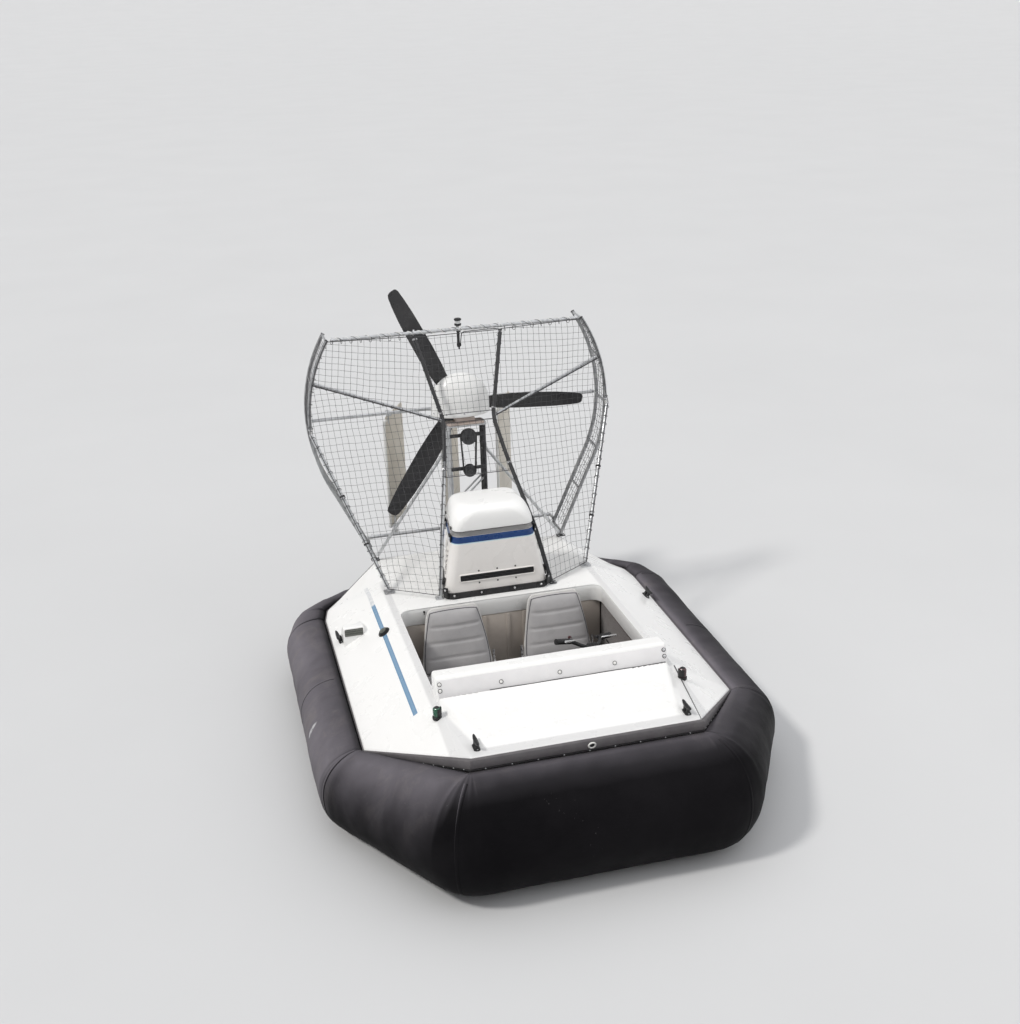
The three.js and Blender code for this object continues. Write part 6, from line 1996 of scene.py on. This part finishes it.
    p = Parts()
    yb = S(hoop_y(HOOP_F, TOP_Z))
    p.tube([(-0.761, yb, TOP_Z), (0.761, yb, TOP_Z)], 0.0108, "tube", 20)
    for x in (-0.752, 0.752, -0.262, 0.262, 0.013):
        clamp(p, (x, yb, TOP_Z), (1, 0, 0), 0.0110)
    # the head rope of the net, wound round the bar
    for x0, x1, r, mat, turns in ((-0.745, 0.745, 0.0023, "white", 24), (-0.74, 0.74, 0.0014, "cord", 17)):
        rope = []
        for k in range(turns * 10 + 1):
            q = 2 * math.pi * k / 10
            x = x0 + (x1 - x0) * k / (turns * 10)
            rope.append((x, yb + (0.0108 + r * 0.8) * math.cos(q), TOP_Z + (0.0108 + r * 0.8) * math.sin(q)))
        p.tube(rope, r, mat, 5)
    p.make("guard_top_tube", "craft", "tube", ("guard_top_bar",), angle=35)

    RX = (-0.417, -0.055, 0.307)
    p = Parts()
    yc, zc, yr = S(2.108), 1.470, S(2.190)
    p.tube([(-0.921, yc, zc), (0.921, yc, zc)], 0.0108, "tube", 16)
    for s in (-1, 1):
        clamp(p, (s * 0.905, yc, zc), (1, 0, 0), 0.0110)
    for x in RX:
        p.box((x, (yc + yr) / 2 + 0.005, 1.4550), (0.028, yr - yc + 0.018, 0.0094), "tube", 0.003)
        p.lathe((x, yr, 1.4386), (0, 0, 1), [(0, 0), (0.0125, 0), (0.0130, 0.001), (0.0130, 0.016), (0.0105, 0.0185), (0, 0.0185)], "tube", 22)
        p.bolt((x, yr, 1.4600), (0, 0, 1), 0.0075, "steel")
        p.bolt((x, yc + 0.018, 1.4600), (0, 0, 1), 0.0048, "steel")
        # stays to the bar
        weld_bead(p, (x, yc, 1.4615), (0, 0, 1), 0.0110, "tube")
    p.make("guard_cross_tube", "craft", "tube", ("guard_cross_bar",), angle=35)

    p = Parts()
    zl = 0.651
    p.tube([(-0.615, yc, zl), (0.615, yc, zl)], 0.0108, "tube", 16)
    for s in (-1, 1):
        a = Vector((s * (FOOT_X + 0.012), S(hoop_y(HOOP_B, zl) + 0.015), zl))
        b = Vector((s * (FOOT_X + 0.004), yc, zl))
        p.tube([a, b], 0.0108, "tube", 16)
        weld_bead(p, a, b - a, 0.0115, "tube")
        clamp(p, b - Vector((s * 0.03, 0, 0)), (1, 0, 0), 0.0110)
    for x in RX:
        p.box((x, (yc + yr) / 2 + 0.005, 0.6580), (0.028, yr - yc + 0.018, 0.0076), "tube", 0.0025)
        p.lathe((x, yr, 0.6552), (0, 0, 1), [(0, 0), (0.0130, 0), (0.0130, 0.024), (0.0122, 0.0258), (0, 0.0262)], "tube", 22)
        p.bolt((x, yc + 0.018, 0.6620), (0, 0, 1), 0.0048, "steel")
    p.make("guard_lower_tube", "craft", "tube", ("guard_lower_bar",), angle=35)


guard()


# ------------------------------------------------------------------ rudders
def rudders():
    for name, x in (("starboard", -0.417), ("centre", -0.055), ("port", 0.307)):
        m = Matrix.Translation(Vector((x, S(2.190), 0))) @ Matrix.Rotation(math.radians(-28), 4, "Z")
        L, T, F, C = 0.690, 1.430, -0.085, 0.285
        p = Parts()

        def w(pts):
            return [m @ Vector(q) for q in pts]

        # leading tube, bent over along the top
        path = eased([(0, F + 0.008, L + 0.004), (0, F + 0.008, T - 0.030), (0, F + 0.050, T - 0.022)], 0.022, 8)
        p.tube(w(path), 0.0088, "white", 16)
        for z0, z1 in ((0.6825, 0.742), (1.376, 1.4375)):
            p.tube(w([(0, 0, z0), (0, 0, z1)]), 0.0088, "tube", 16)
        # blade: a thin foil with a rounded outline
        out = [(F + 0.016, L + 0.004), (C - 0.074, L)]
        for k in range(1, 8):
            q = math.radians(-90 + 90 * k / 8)
            out.append((C - 0.074 + 0.074 * math.cos(q), L + 0.066 + 0.066 * math.sin(q)))
        out += [(C, L + 0.066), (C, T - 0.012), (C - 0.004, T - 0.004), (C - 0.012, T)]
        out += [(F + 0.046, T), (F + 0.042, T - 0.004), (F + 0.042, T - 0.030), (F + 0.016, T - 0.034)]
        bm = bmesh.new()
        face = bm.faces.new([bm.verts.new((0, y, z)) for y, z in out])
        r = bmesh.ops.extrude_face_region(bm, geom=[face])
        for v in bm.verts:
            v.co.x = -0.0032
        for g in r["geom"]:
            if isinstance(g, bmesh.types.BMVert):
                g.co.x = 0.0032
        bmesh.ops.recalc_face_normals(bm, faces=bm.faces[:])
        rim = [e for e in bm.edges if abs(e.verts[0].co.x - e.verts[1].co.x) < 1e-7]
        bmesh.ops.bevel(bm, geom=rim, offset=0.0022, segments=2, profile=0.5, affect="EDGES")
        bm.transform(m)
        bm.verts.index_update()
        p.add([v.co.copy() for v in bm.verts], [tuple(v.index for v in f.verts) for f in bm.faces], "rudder")
        bm.free()
        # stiffening ribs pressed on both faces, rivets along the leading tube
        for z in (L + 0.12, L + 0.37, T - 0.12):
            for sx in (-1, 1):
                p.tube(w([(sx * 0.0030, F + 0.03, z), (sx * 0.0030, C - 0.035, z)]), [0.0026, 0.0026], "rudder", 8)
        for k in range(11):
            z = L + 0.04 + k * 0.066
            for sx in (-1, 1):
                a, b = m @ Vector((sx * 0.0032, F + 0.026, z)), (m.to_3x3() @ Vector((sx, 0, 0)))
                p.bolt(a, b, 0.0026, "rudder")
        # tiller plate and the pin of the push rod
        p.add(*extruded(rounded_rect(0.030, 0.100, 0.012, 5, 0, -0.036), 0.700, 0.704, m, 0.001, 2), "tube")
        p.bolt(m @ Vector((0, -0.072, 0.704)), (0, 0, 1), 0.0045, "steel")
        p.make("rudder_blade_" + name, "rudder_" + name, "rudder", ("rudder_" + name,), angle=35)


rudders()


# ------------------------------------------------------------------ nets
PITCH = 0.0365
NET_AHEAD = 0.015


def sag(p):
    """Slack of the net at a point, the same for every strand that passes it."""
    a = noise.noise(p * 3.1 + Vector((0.3, 4.4, 1.1))) * 0.010
    b = noise.noise(p * 11.0 + Vector((7.3, 1.4, 3.1))) * 0.0042
    c = noise.noise(p * 11.0 + Vector((2.3, 9.4, 5.1))) * 0.0042
    return Vector((b, a, c))


class Net:
    def __init__(self):
        self.p = Parts()
        self.pins = []

    def strand(self, a, b, fixed, r=0.00088):
        l = (b - a).length
        if l < 0.002:
            return
        n = max(1, int(l / 0.0185))
        pts = []
        for k in range(n + 1):
            q = a.lerp(b, k / n)
            pts.append(q + sag(q) * self.ease(q))
        self.p.add(*tube(pts, r, 4, False), "cord")

    def ease(self, q):
        """0 at a laced edge, 1 in the open net."""
        d = min(((q - (e0 + (e1 - e0) * max(0, min(1, (q - e0).dot(e1 - e0) / (e1 - e0).length_squared)))).length for e0, e1 in self.rim), default=1)
        return min(1.0, d / 0.05)

    def sheet(self, points, faces, laced, turn=0.0):
        c, s = math.cos(math.radians(turn)), math.sin(math.radians(turn))
        A = (Vector((c, 0, s)), Vector((-s, 0, c)))
        P = [Vector(q) for q in points]
        normals = [Vector() for _ in P]
        for f in faces:
            n = (P[f[1]] - P[f[0]]).cross(P[f[2]] - P[f[0]]).normalized()
            if n.y > 0:
                n = -n
            for k in f:
                normals[k] += n
        P = [q + n.normalized() * NET_AHEAD for q, n in zip(P, normals)]
        edges = {}
        for f in faces:
            for i, j in ((f[0], f[1]), (f[1], f[2]), (f[2], f[0])):
                key = (min(i, j), max(i, j))
                edges[key] = edges.get(key, 0) + 1
        rim = [k for k, c in edges.items() if c == 1]
        self.rim = [(P[i], P[j]) for i, j in rim]
        for f in faces:
            t = [P[k] for k in f]
            for ax in A:
                h = [q.dot(ax) for q in t]
                lo, hi = min(h), max(h)
                for k in range(math.ceil(lo / PITCH), math.floor(hi / PITCH) + 1):
                    c = k * PITCH + 1e-7
                    cut = []
                    for i in range(3):
                        a, b, ha, hb = t[i], t[(i + 1) % 3], h[i], h[(i + 1) % 3]
                        if (ha - c) * (hb - c) < 0:
                            cut.append(a.lerp(b, (c - ha) / (hb - ha)))
                    if len(cut) == 2:
                        self.strand(cut[0], cut[1], None)
            # knots where the strands cross
            e1, e2 = t[1] - t[0], t[2] - t[0]
            e1x, e1z, e2x, e2z = e1.dot(A[0]), e1.dot(A[1]), e2.dot(A[0]), e2.dot(A[1])
            det = e1x * e2z - e2x * e1z
            if abs(det) > 1e-9:
                xs, zs = [q.dot(A[0]) for q in t], [q.dot(A[1]) for q in t]
                for i in range(math.ceil(min(xs) / PITCH), math.floor(max(xs) / PITCH) + 1):
                    for j in range(math.ceil(min(zs) / PITCH), math.floor(max(zs) / PITCH) + 1):
                        x, z = i * PITCH - xs[0], j * PITCH - zs[0]
                        u, v = (x * e2z - e2x * z) / det, (e1x * z - x * e1z) / det
                        if u >= 0 and v >= 0 and u + v <= 1:
                            q = t[0] + e1 * u + e2 * v
                            q = q + sag(q) * self.ease(q)
                            s = 0.0017
                            ex, ey, ez = Vector((s, 0, 0)), Vector((0, s, 0)), Vector((0, 0, s))
                            vs = [q + ex * 0.9 + ez * 0.3, q + ey, q - ex * 0.9 - ez * 0.3, q - ey, q + ez * 0.9 - ex * 0.3, q - ez * 0.9 + ex * 0.3]
                            fs = [(0, 1, 4), (1, 2, 4), (2, 3, 4), (3, 0, 4), (1, 0, 5), (2, 1, 5), (3, 2, 5), (0, 3, 5)]
                            self.p.add(vs, fs, "cord")
        # thicker cords round the edge
        for a, b in self.rim:
            n = max(2, int((b - a).length / 0.03))
            pts = []
            for k in range(n + 1):
                q = a.lerp(b, k / n)
                w = Vector((0, noise.noise(q * 30) * 0.0016, 0.0))
                pts.append(q + w)
            self.p.add(*tube(pts, 0.0024, 6, True), "cord")
        # lacing: loops round the tube behind each laced edge
        for i, j, a, b, r in laced:
            e0, e1 = P[i], P[j]
            l = (e1 - e0).length
            for k in range(int(l / 0.055)):
                t = (k + 0.5) / int(l / 0.055)
                q = e0.lerp(e1, t)
                c = Vector(a).lerp(Vector(b), t)
                axis = (Vector(b) - Vector(a)).normalized()
                u = q - c
                u = u - axis * u.dot(axis)
                if u.length < 1e-5:
                    continue
                d = u.length
                u.normalize()
                w = axis.cross(u)
                tilt = 0.006 * (1 if k % 2 else -1)
                ring = []
                for m in range(12):
                    an = 2 * math.pi * m / 12
                    reach = r + 0.0016 if math.cos(an) < 0.5 else (r + 0.0016) * (1 - (math.cos(an) - 0.5) * 2) + (d + 0.001) * (math.cos(an) - 0.5) * 2
                    ring.append(c + u * math.cos(an) * max(reach, 0.001) + w * math.sin(an) * (r + 0.0016) + axis * tilt * math.cos(an))
                self.p.add(*tube(ring, 0.0015, 4, False, True), "cord")


def nets():
    for side, s in (("port", 1), ("starboard", -1)):
        foot, low, knee, bracket, top = (Vector((s * x, S(y), z)) for x, y, z in INNER)
        wide = Vector((s * 0.933, S(hoop_y(HOOP_F, 1.460) - 0.027), 1.460))
        leg = Vector((s * FOOT_X, S(1.333), flat_z(1.333) + 0.020))

        def oh(z):
            q = on_hoop(HOOP_F, s, z)
            return Vector((q.x - s * 0.004, q.y, z))

        hz = [1.998, 1.94, 1.88, 1.82, 1.752]
        net = Net()
        pts = [bracket, top] + [oh(z) for z in hz]
        faces = [(0, 1, 2)] + [(0, k, k + 1) for k in range(2, 6)]
        laced = [(0, 1, bracket, top, 0.012), (1, 2, top, oh(1.998), 0.013), (0, 6, bracket, oh(1.752), 0.009)] + [(k, k + 1, pts[k], pts[k + 1], 0.012) for k in range(2, 6)]
        net.sheet(pts, faces, laced, -8 if s < 0 else -4)
        net.p.make("net_mesh_upper_" + side, "craft", "net", ("net_upper_" + side,), smooth=False)

        net = Net()
        a = bracket.lerp(knee, 0.012)
        hz = [1.749, 1.67, 1.60, 1.53]
        pts = [a] + [oh(z) for z in hz] + [wide, knee, leg, low, foot]
        # 0 a, 1-4 hoop, 5 leg top, 6 knee, 7 leg foot, 8 low, 9 post foot
        faces = [(0, 1, 2), (0, 2, 3), (0, 3, 4), (0, 4, 5), (0, 5, 6), (6, 5, 7), (6, 7, 8), (8, 7, 9)]
        laced = [(0, 6, a, knee, 0.012), (6, 8, knee, low, 0.012), (8, 9, low, foot, 0.012), (5, 7, wide, leg, 0.014)] + [(k, k + 1, pts[k], pts[k + 1], 0.012) for k in range(1, 5)]
        net.sheet(pts, faces, laced, 4 if s < 0 else -4)
        net.p.make("net_mesh_lower_" + side, "craft", "net", ("net_lower_" + side,), smooth=False)

        # side netting between the two hoops
        net = Net()
        zs = list(np.linspace(0.66, 1.99, 24))
        A, B = [on_hoop(HOOP_F, s, z, 0.008) for z in zs], [on_hoop(HOOP_B, s, z, 0.008) for z in zs]
        for k in range(len(zs)):
            n = max(2, int((B[k] - A[k]).length / 0.02))
            q = [A[k].lerp(B[k], t / n) + sag(A[k].lerp(B[k], t / n)) * Vector((0.5, 0, 0.4)).length * (0.6 if 0 < t < n else 0) for t in range(n + 1)]
        NR = 5
        for m in range(NR):
            t = (m + 0.5) / NR
            zz = np.linspace(0.66, 1.99, 72)
            q = []
            for z in zz:
                c = on_hoop(HOOP_F, s, z, 0.006).lerp(on_hoop(HOOP_B, s, z, 0.006), t)
                o = sag(c)
                q.append(c + Vector((o.x * 0.7, o.z * 0.8, 0)))
            net.p.add(*tube(q, 0.00135, 4, False), "cord")
        for z in np.arange(0.68, 1.985, PITCH):
            a_, b_ = on_hoop(HOOP_F, s, z, 0.004), on_hoop(HOOP_B, s, z, 0.004)
            q = []
            for k in range(11):
                c = a_.lerp(b_, k / 10)
                o = sag(c)
                e = math.sin(math.pi * k / 10)
                q.append(c + Vector((s * 0.004 * e + o.x * 0.7 * e, 0, o.z * e)))
            net.p.add(*tube(q, 0.00135, 4, False), "cord")
        net.p.make("net_side_" + side, "craft", "net", smooth=False)

    def post(s, z):
        k = 3 if z > INNER[3][2] else 2 if z > INNER[2][2] else 1
        (x0, y0, z0), (x1, y1, z1) = INNER[k], INNER[k + 1]
        t = (z - z0) / (z1 - z0)
        return Vector((s * (x0 + (x1 - x0) * t - 0.004), S(y0 + (y1 - y0) * t), z))

    for name, zs in (("net_upper_centre", (1.540, 1.980)), ("net_lower_centre", (1.225, 1.306, 1.492))):
        net = Net()
        pts = [post(s, z) for z in zs for s in (-1, 1)]
        faces, laced = [], []
        for k in range(len(zs) - 1):
            faces += [(2 * k, 2 * k + 1, 2 * k + 3), (2 * k, 2 * k + 3, 2 * k + 2)]
            laced += [(2 * k, 2 * k + 2, pts[2 * k], pts[2 * k + 2], 0.012), (2 * k + 1, 2 * k + 3, pts[2 * k + 1], pts[2 * k + 3], 0.012)]
        net.sheet(pts, faces, laced)
        net.p.make(name.replace("net_", "net_mesh_"), "craft", "net", (name,), smooth=False)


nets()


# ------------------------------------------------------------------ all-round light and small fittings
def fittings():
    p = Parts()
    y = S(hoop_y(HOOP_F, TOP_Z) + 0.0225)
    p.tube([(0.013, y, 1.888), (0.013, y, 2.030)], 0.0086, "plastic", 18)
    p.lathe((0.013, y, 2.020), (0, 0, 1), [(0, 0), (0.017, 0), (0.021, 0.004), (0.021, 0.012), (0.0165, 0.0145), (0, 0.0145)], "plastic", 28)
    p.lathe((0.013, y, 2.034), (0, 0, 1), [(0, 0), (0.0168, 0), (0.0176, 0.002), (0.0176, 0.017), (0.0150, 0.0205), (0, 0.0215)], "clear", 28)
    p.lathe((0.013, y, 2.055), (0, 0, 1), [(0, -0.001), (0.0225, -0.001), (0.0230, 0.0015), (0.0215, 0.0070), (0.014, 0.0108), (0, 0.0115)], "plastic", 28)
    for z in (1.905, 1.992):
        p.box((0.013, y - 0.0115, z), (0.026, 0.016, 0.018), "plastic", 0.003)
    p.tube(eased([(0.013, y, 1.889), (0.013, y - 0.004, 1.872), (0.018, y - 0.02, 1.895), (0.03, y - 0.024, 1.985), (0.16, y - 0.03, 1.989), (0.26, y - 0.022, 1.986)], 0.02), 0.0026, "plastic", 8)
    p.make("mast_light_assembly", "craft", "lamp", ("mast_light",), angle=35)

    p = Parts()
    # side lights: a black housing with the lens on its outer and forward side
    for s, mat in ((1, "red"), (-1, "green")):
        x, st = s * 0.634, -0.176
        c = Vector((x, S(st), deck_z(x, st)))
        up = Vector((0, 0, 1))
        p.lathe(c, up, [(0, -0.003), (0.023, -0.003), (0.024, 0.004), (0.023, 0.010), (0.017, 0.014), (0.015, 0.022), (0, 0.022)], "plastic", 28)
        p.lathe(c + up * 0.020, up, [(0, -0.006), (0.0185, -0.006), (0.0200, -0.002), (0.0200, 0.030), (0.0180, 0.036), (0.013, 0.040), (0, 0.041)], mat, 32)
        p.lathe(c + up * 0.055, up, [(0, -0.001), (0.0140, -0.001), (0.0145, 0.002), (0.0120, 0.006), (0.006, 0.009), (0, 0.010)], "plastic", 28)
        # shield on the inner side
        shell = []
        for h in (0.019, 0.057):
            for r in (0.0205, 0.0235):
                for k in range(13):
                    q = math.radians(-62 + 124 * k / 12) + (math.pi if s > 0 else 0) - s * math.radians(-30)
                    shell.append(c + Vector((r * math.cos(q), r * math.sin(q), h)))
        fs = []
        for k in range(12):
            for a, b in ((0, 13), (26, 39)):
                fs.append((a + k, a + k + 1, b + k + 1, b + k))
            for a, b in ((0, 26), (13, 39)):
                fs.append((a + k, a + k + 1, b + k + 1, b + k))
        fs += [(0, 13, 39, 26), (12, 25, 51, 38)]
        p.add(*outward(shell, fs), "plastic")
    # horn cleats along the craft: two at the bow, one on each side deck
    for s in (-1, 1):
        for x, st, l in ((s * 0.520, -0.512, 0.098), (s * 0.931, 1.140, 0.104)):
            z = deck_z(x, st)
            n = Vector((deck_z(x - 0.01, st) - deck_z(x + 0.01, st), deck_z(x, st - 0.01) - deck_z(x, st + 0.01), 0.02)).normalized()
            fr = place((x, S(st), z), n, (0, 1, 0))
            p.add(*extruded(rounded_rect(0.032, l * 0.66, 0.014, 5), -0.002, 0.006, fr, 0.0018), "plastic")
            for d in (-0.17, 0.17):
                p.lathe(fr @ Vector((0, d * l, 0.004)), n, [(0, 0), (0.0125, 0), (0.0100, 0.010), (0.0095, 0.026), (0, 0.028)], "plastic", 16)
            horn = [fr @ Vector((0, d * l, 0.034 + 0.010 * (abs(d) / 0.5) ** 2)) for d in (-0.5, -0.44, -0.3, -0.15, 0, 0.15, 0.3, 0.44, 0.5)]
            p.tube(horn, [0.0035, 0.0065, 0.0092, 0.0108, 0.0110, 0.0108, 0.0092, 0.0065, 0.0035], "plastic", 16)
            for d in (-0.26, 0.26):
                p.bolt(fr @ Vector((0, d * l, 0.0062)), n, 0.0038, "steel")
    # low air scoop on the starboard side deck, open forward
    for s in (-1,):
        x0, x1, y0, top = 0.926, 0.806, 1.040, 0.570
        d0, d1 = deck_z(x0, y0), deck_z(x1, y0)
        dr0, dr1 = deck_z(x0, y0 + 0.17), deck_z(x1, y0 + 0.17)
        ym = y0 + 0.055
        v = [(s * x0, S(y0), d0 - 0.004), (s * x1, S(y0), d1 - 0.004), (s * x1, S(y0), top), (s * x0, S(y0), top),
             (s * x0, S(ym), deck_z(x0, ym) - 0.004), (s * x1, S(ym), deck_z(x1, ym) - 0.004), (s * x1, S(ym), top - 0.004), (s * x0, S(ym), top - 0.006),
             (s * x0, S(y0 + 0.17), dr0 - 0.004), (s * x1, S(y0 + 0.17), dr1 - 0.004), (s * x1, S(y0 + 0.17), dr1 + 0.002), (s * x0, S(y0 + 0.17), dr0 + 0.002)]
        f = [(0, 1, 2, 3), (0, 4, 5, 1), (1, 5, 6, 2), (2, 6, 7, 3), (3, 7, 4, 0), (4, 8, 9, 5), (5, 9, 10, 6), (6, 10, 11, 7), (7, 11, 8, 4), (8, 11, 10, 9)]
        bm = bmesh.new()
        vs = [bm.verts.new(q) for q in v]
        for q in f:
            bm.faces.new([vs[i] for i in q])
        bmesh.ops.recalc_face_normals(bm, faces=bm.faces[:])
        bmesh.ops.bevel(bm, geom=[e for e in bm.edges if max(w.co.z for w in e.verts) > d1 - 0.002], offset=0.010, segments=4, profile=0.5, affect="EDGES")
        bm.verts.index_update()
        p.add([w.co.copy() for w in bm.verts], [tuple(w.index for w in q.verts) for q in bm.faces], "gel")
        bm.free()
        c = Vector((s * (x0 + x1) / 2, S(y0), top - 0.030))
        fr = place(c, (0, -1, 0))
        p.add(*extruded(rounded_rect(0.110, 0.050, 0.008, 5), -0.002, 0.0022, fr, 0.0008, 2), "hull")
        p.add(*extruded(rounded_rect(0.104, 0.044, 0.004, 5), 0.0005, 0.0026, fr, 0.0005, 1), "plastic")
        for k in range(3):
            p.add(*soft_box(fr @ Vector((0, -0.0135 + 0.0135 * k, 0.0032)), (0.099, 0.0028, 0.0125), 0.0010, Matrix.Rotation(math.radians(12), 3, "X"), 1), "vent")
    # fuel filler on the starboard stripe
    x, st = -0.713, 0.905
    n = Vector((deck_z(x - 0.01, st) - deck_z(x + 0.01, st), deck_z(x, st - 0.01) - deck_z(x, st + 0.01), 0.02)).normalized()
    c = Vector((x, S(st), deck_z(x, st)))
    p.lathe(c, n, [(0, -0.002), (0.034, -0.002), (0.036, 0.0015), (0.034, 0.005), (0.027, 0.006), (0.027, 0.012), (0.0250, 0.0145), (0.0215, 0.0148), (0, 0.0148)], "plastic", 36)
    p.lathe(c + n * 0.0146, n, [(0, 0), (0.0205, 0), (0.0205, 0.0012), (0.019, 0.0018), (0, 0.0018)], "vent", 32)
    for k in range(18):
        q = 2 * math.pi * k / 18
        fr = place(c, n)
        p.box(fr @ Vector((0.0265 * math.cos(q), 0.0265 * math.sin(q), 0.0090)), (0.0035, 0.0035, 0.0060), "plastic", 0.001, frame_of(n) @ Matrix.Rotation(q, 3, "Z"), 1)
    p.box(place(c, n) @ Vector((0, 0, 0.0180)), (0.034, 0.006, 0.006), "vent", 0.002, frame_of(n))
    # tow eye in the bow bumper
    c = Vector((0.009, S(-0.612), 0.634))
    p.lathe(c + Vector((0, 0.003, 0)), (0, -1, 0), [(0, 0), (0.0185, 0), (0.0185, 0.0022), (0.0150, 0.0034), (0, 0.0034)], "black", 24)
    ring = [c + Vector((0.0165 * math.cos(q), -0.0030 - 0.0030 * math.sin(q), 0.0150 * math.sin(q))) for q in [2 * math.pi * k / 28 for k in range(28)]]
    p.tube(ring, 0.0042, "white", 12, closed=True)
    # dark line where the port bow facet meets the foredeck: painted shadow of the small step there, drawn on the port
    # side only
    seam = []
    for k in range(15):
        t = k / 14
        x, st = FLAT_A[0] + (CORNERS[0][0] - FLAT_A[0]) * t * 0.985, FLAT_A[1] + (CORNERS[0][1] - FLAT_A[1]) * t * 0.985
        seam.append((x, S(st), deck_z(x, st) - 0.0004))
    p.tube(seam, [0.0036 - 0.0018 * k / 14 for k in range(15)], "plastic", 8)
    p.make("deck_fittings", "craft", "trim", angle=35)

    # coolant pipe that leaves the cowl on the port side
    h = Parts()
    a, n = cowl_side(1, 1.40, 0.83)
    b = Vector((0.335, S(1.47), flat_z(1.47) + 0.004))
    path = eased([a - n * 0.004, a + n * 0.070, a + n * 0.110 + Vector((0, 0.015, -0.06)), b + Vector((0, 0, 0.07)), b], 0.05, 8)
    h.tube(path, 0.0125, "white", 16)
    h.lathe(a - n * 0.001, n, [(0.012, 0), (0.022, 0), (0.022, 0.003), (0.016, 0.008), (0.012, 0.010)], "plastic", 22)
    h.lathe(b, (0, 0, 1), [(0.012, -0.003), (0.024, -0.003), (0.024, 0.003), (0.017, 0.010), (0.012, 0.012)], "plastic", 22)
    clamp(h, a + n * 0.022, n, 0.0128)
    h.make("coolant_pipe", "craft", "white_tube", angle=35)


fittings()
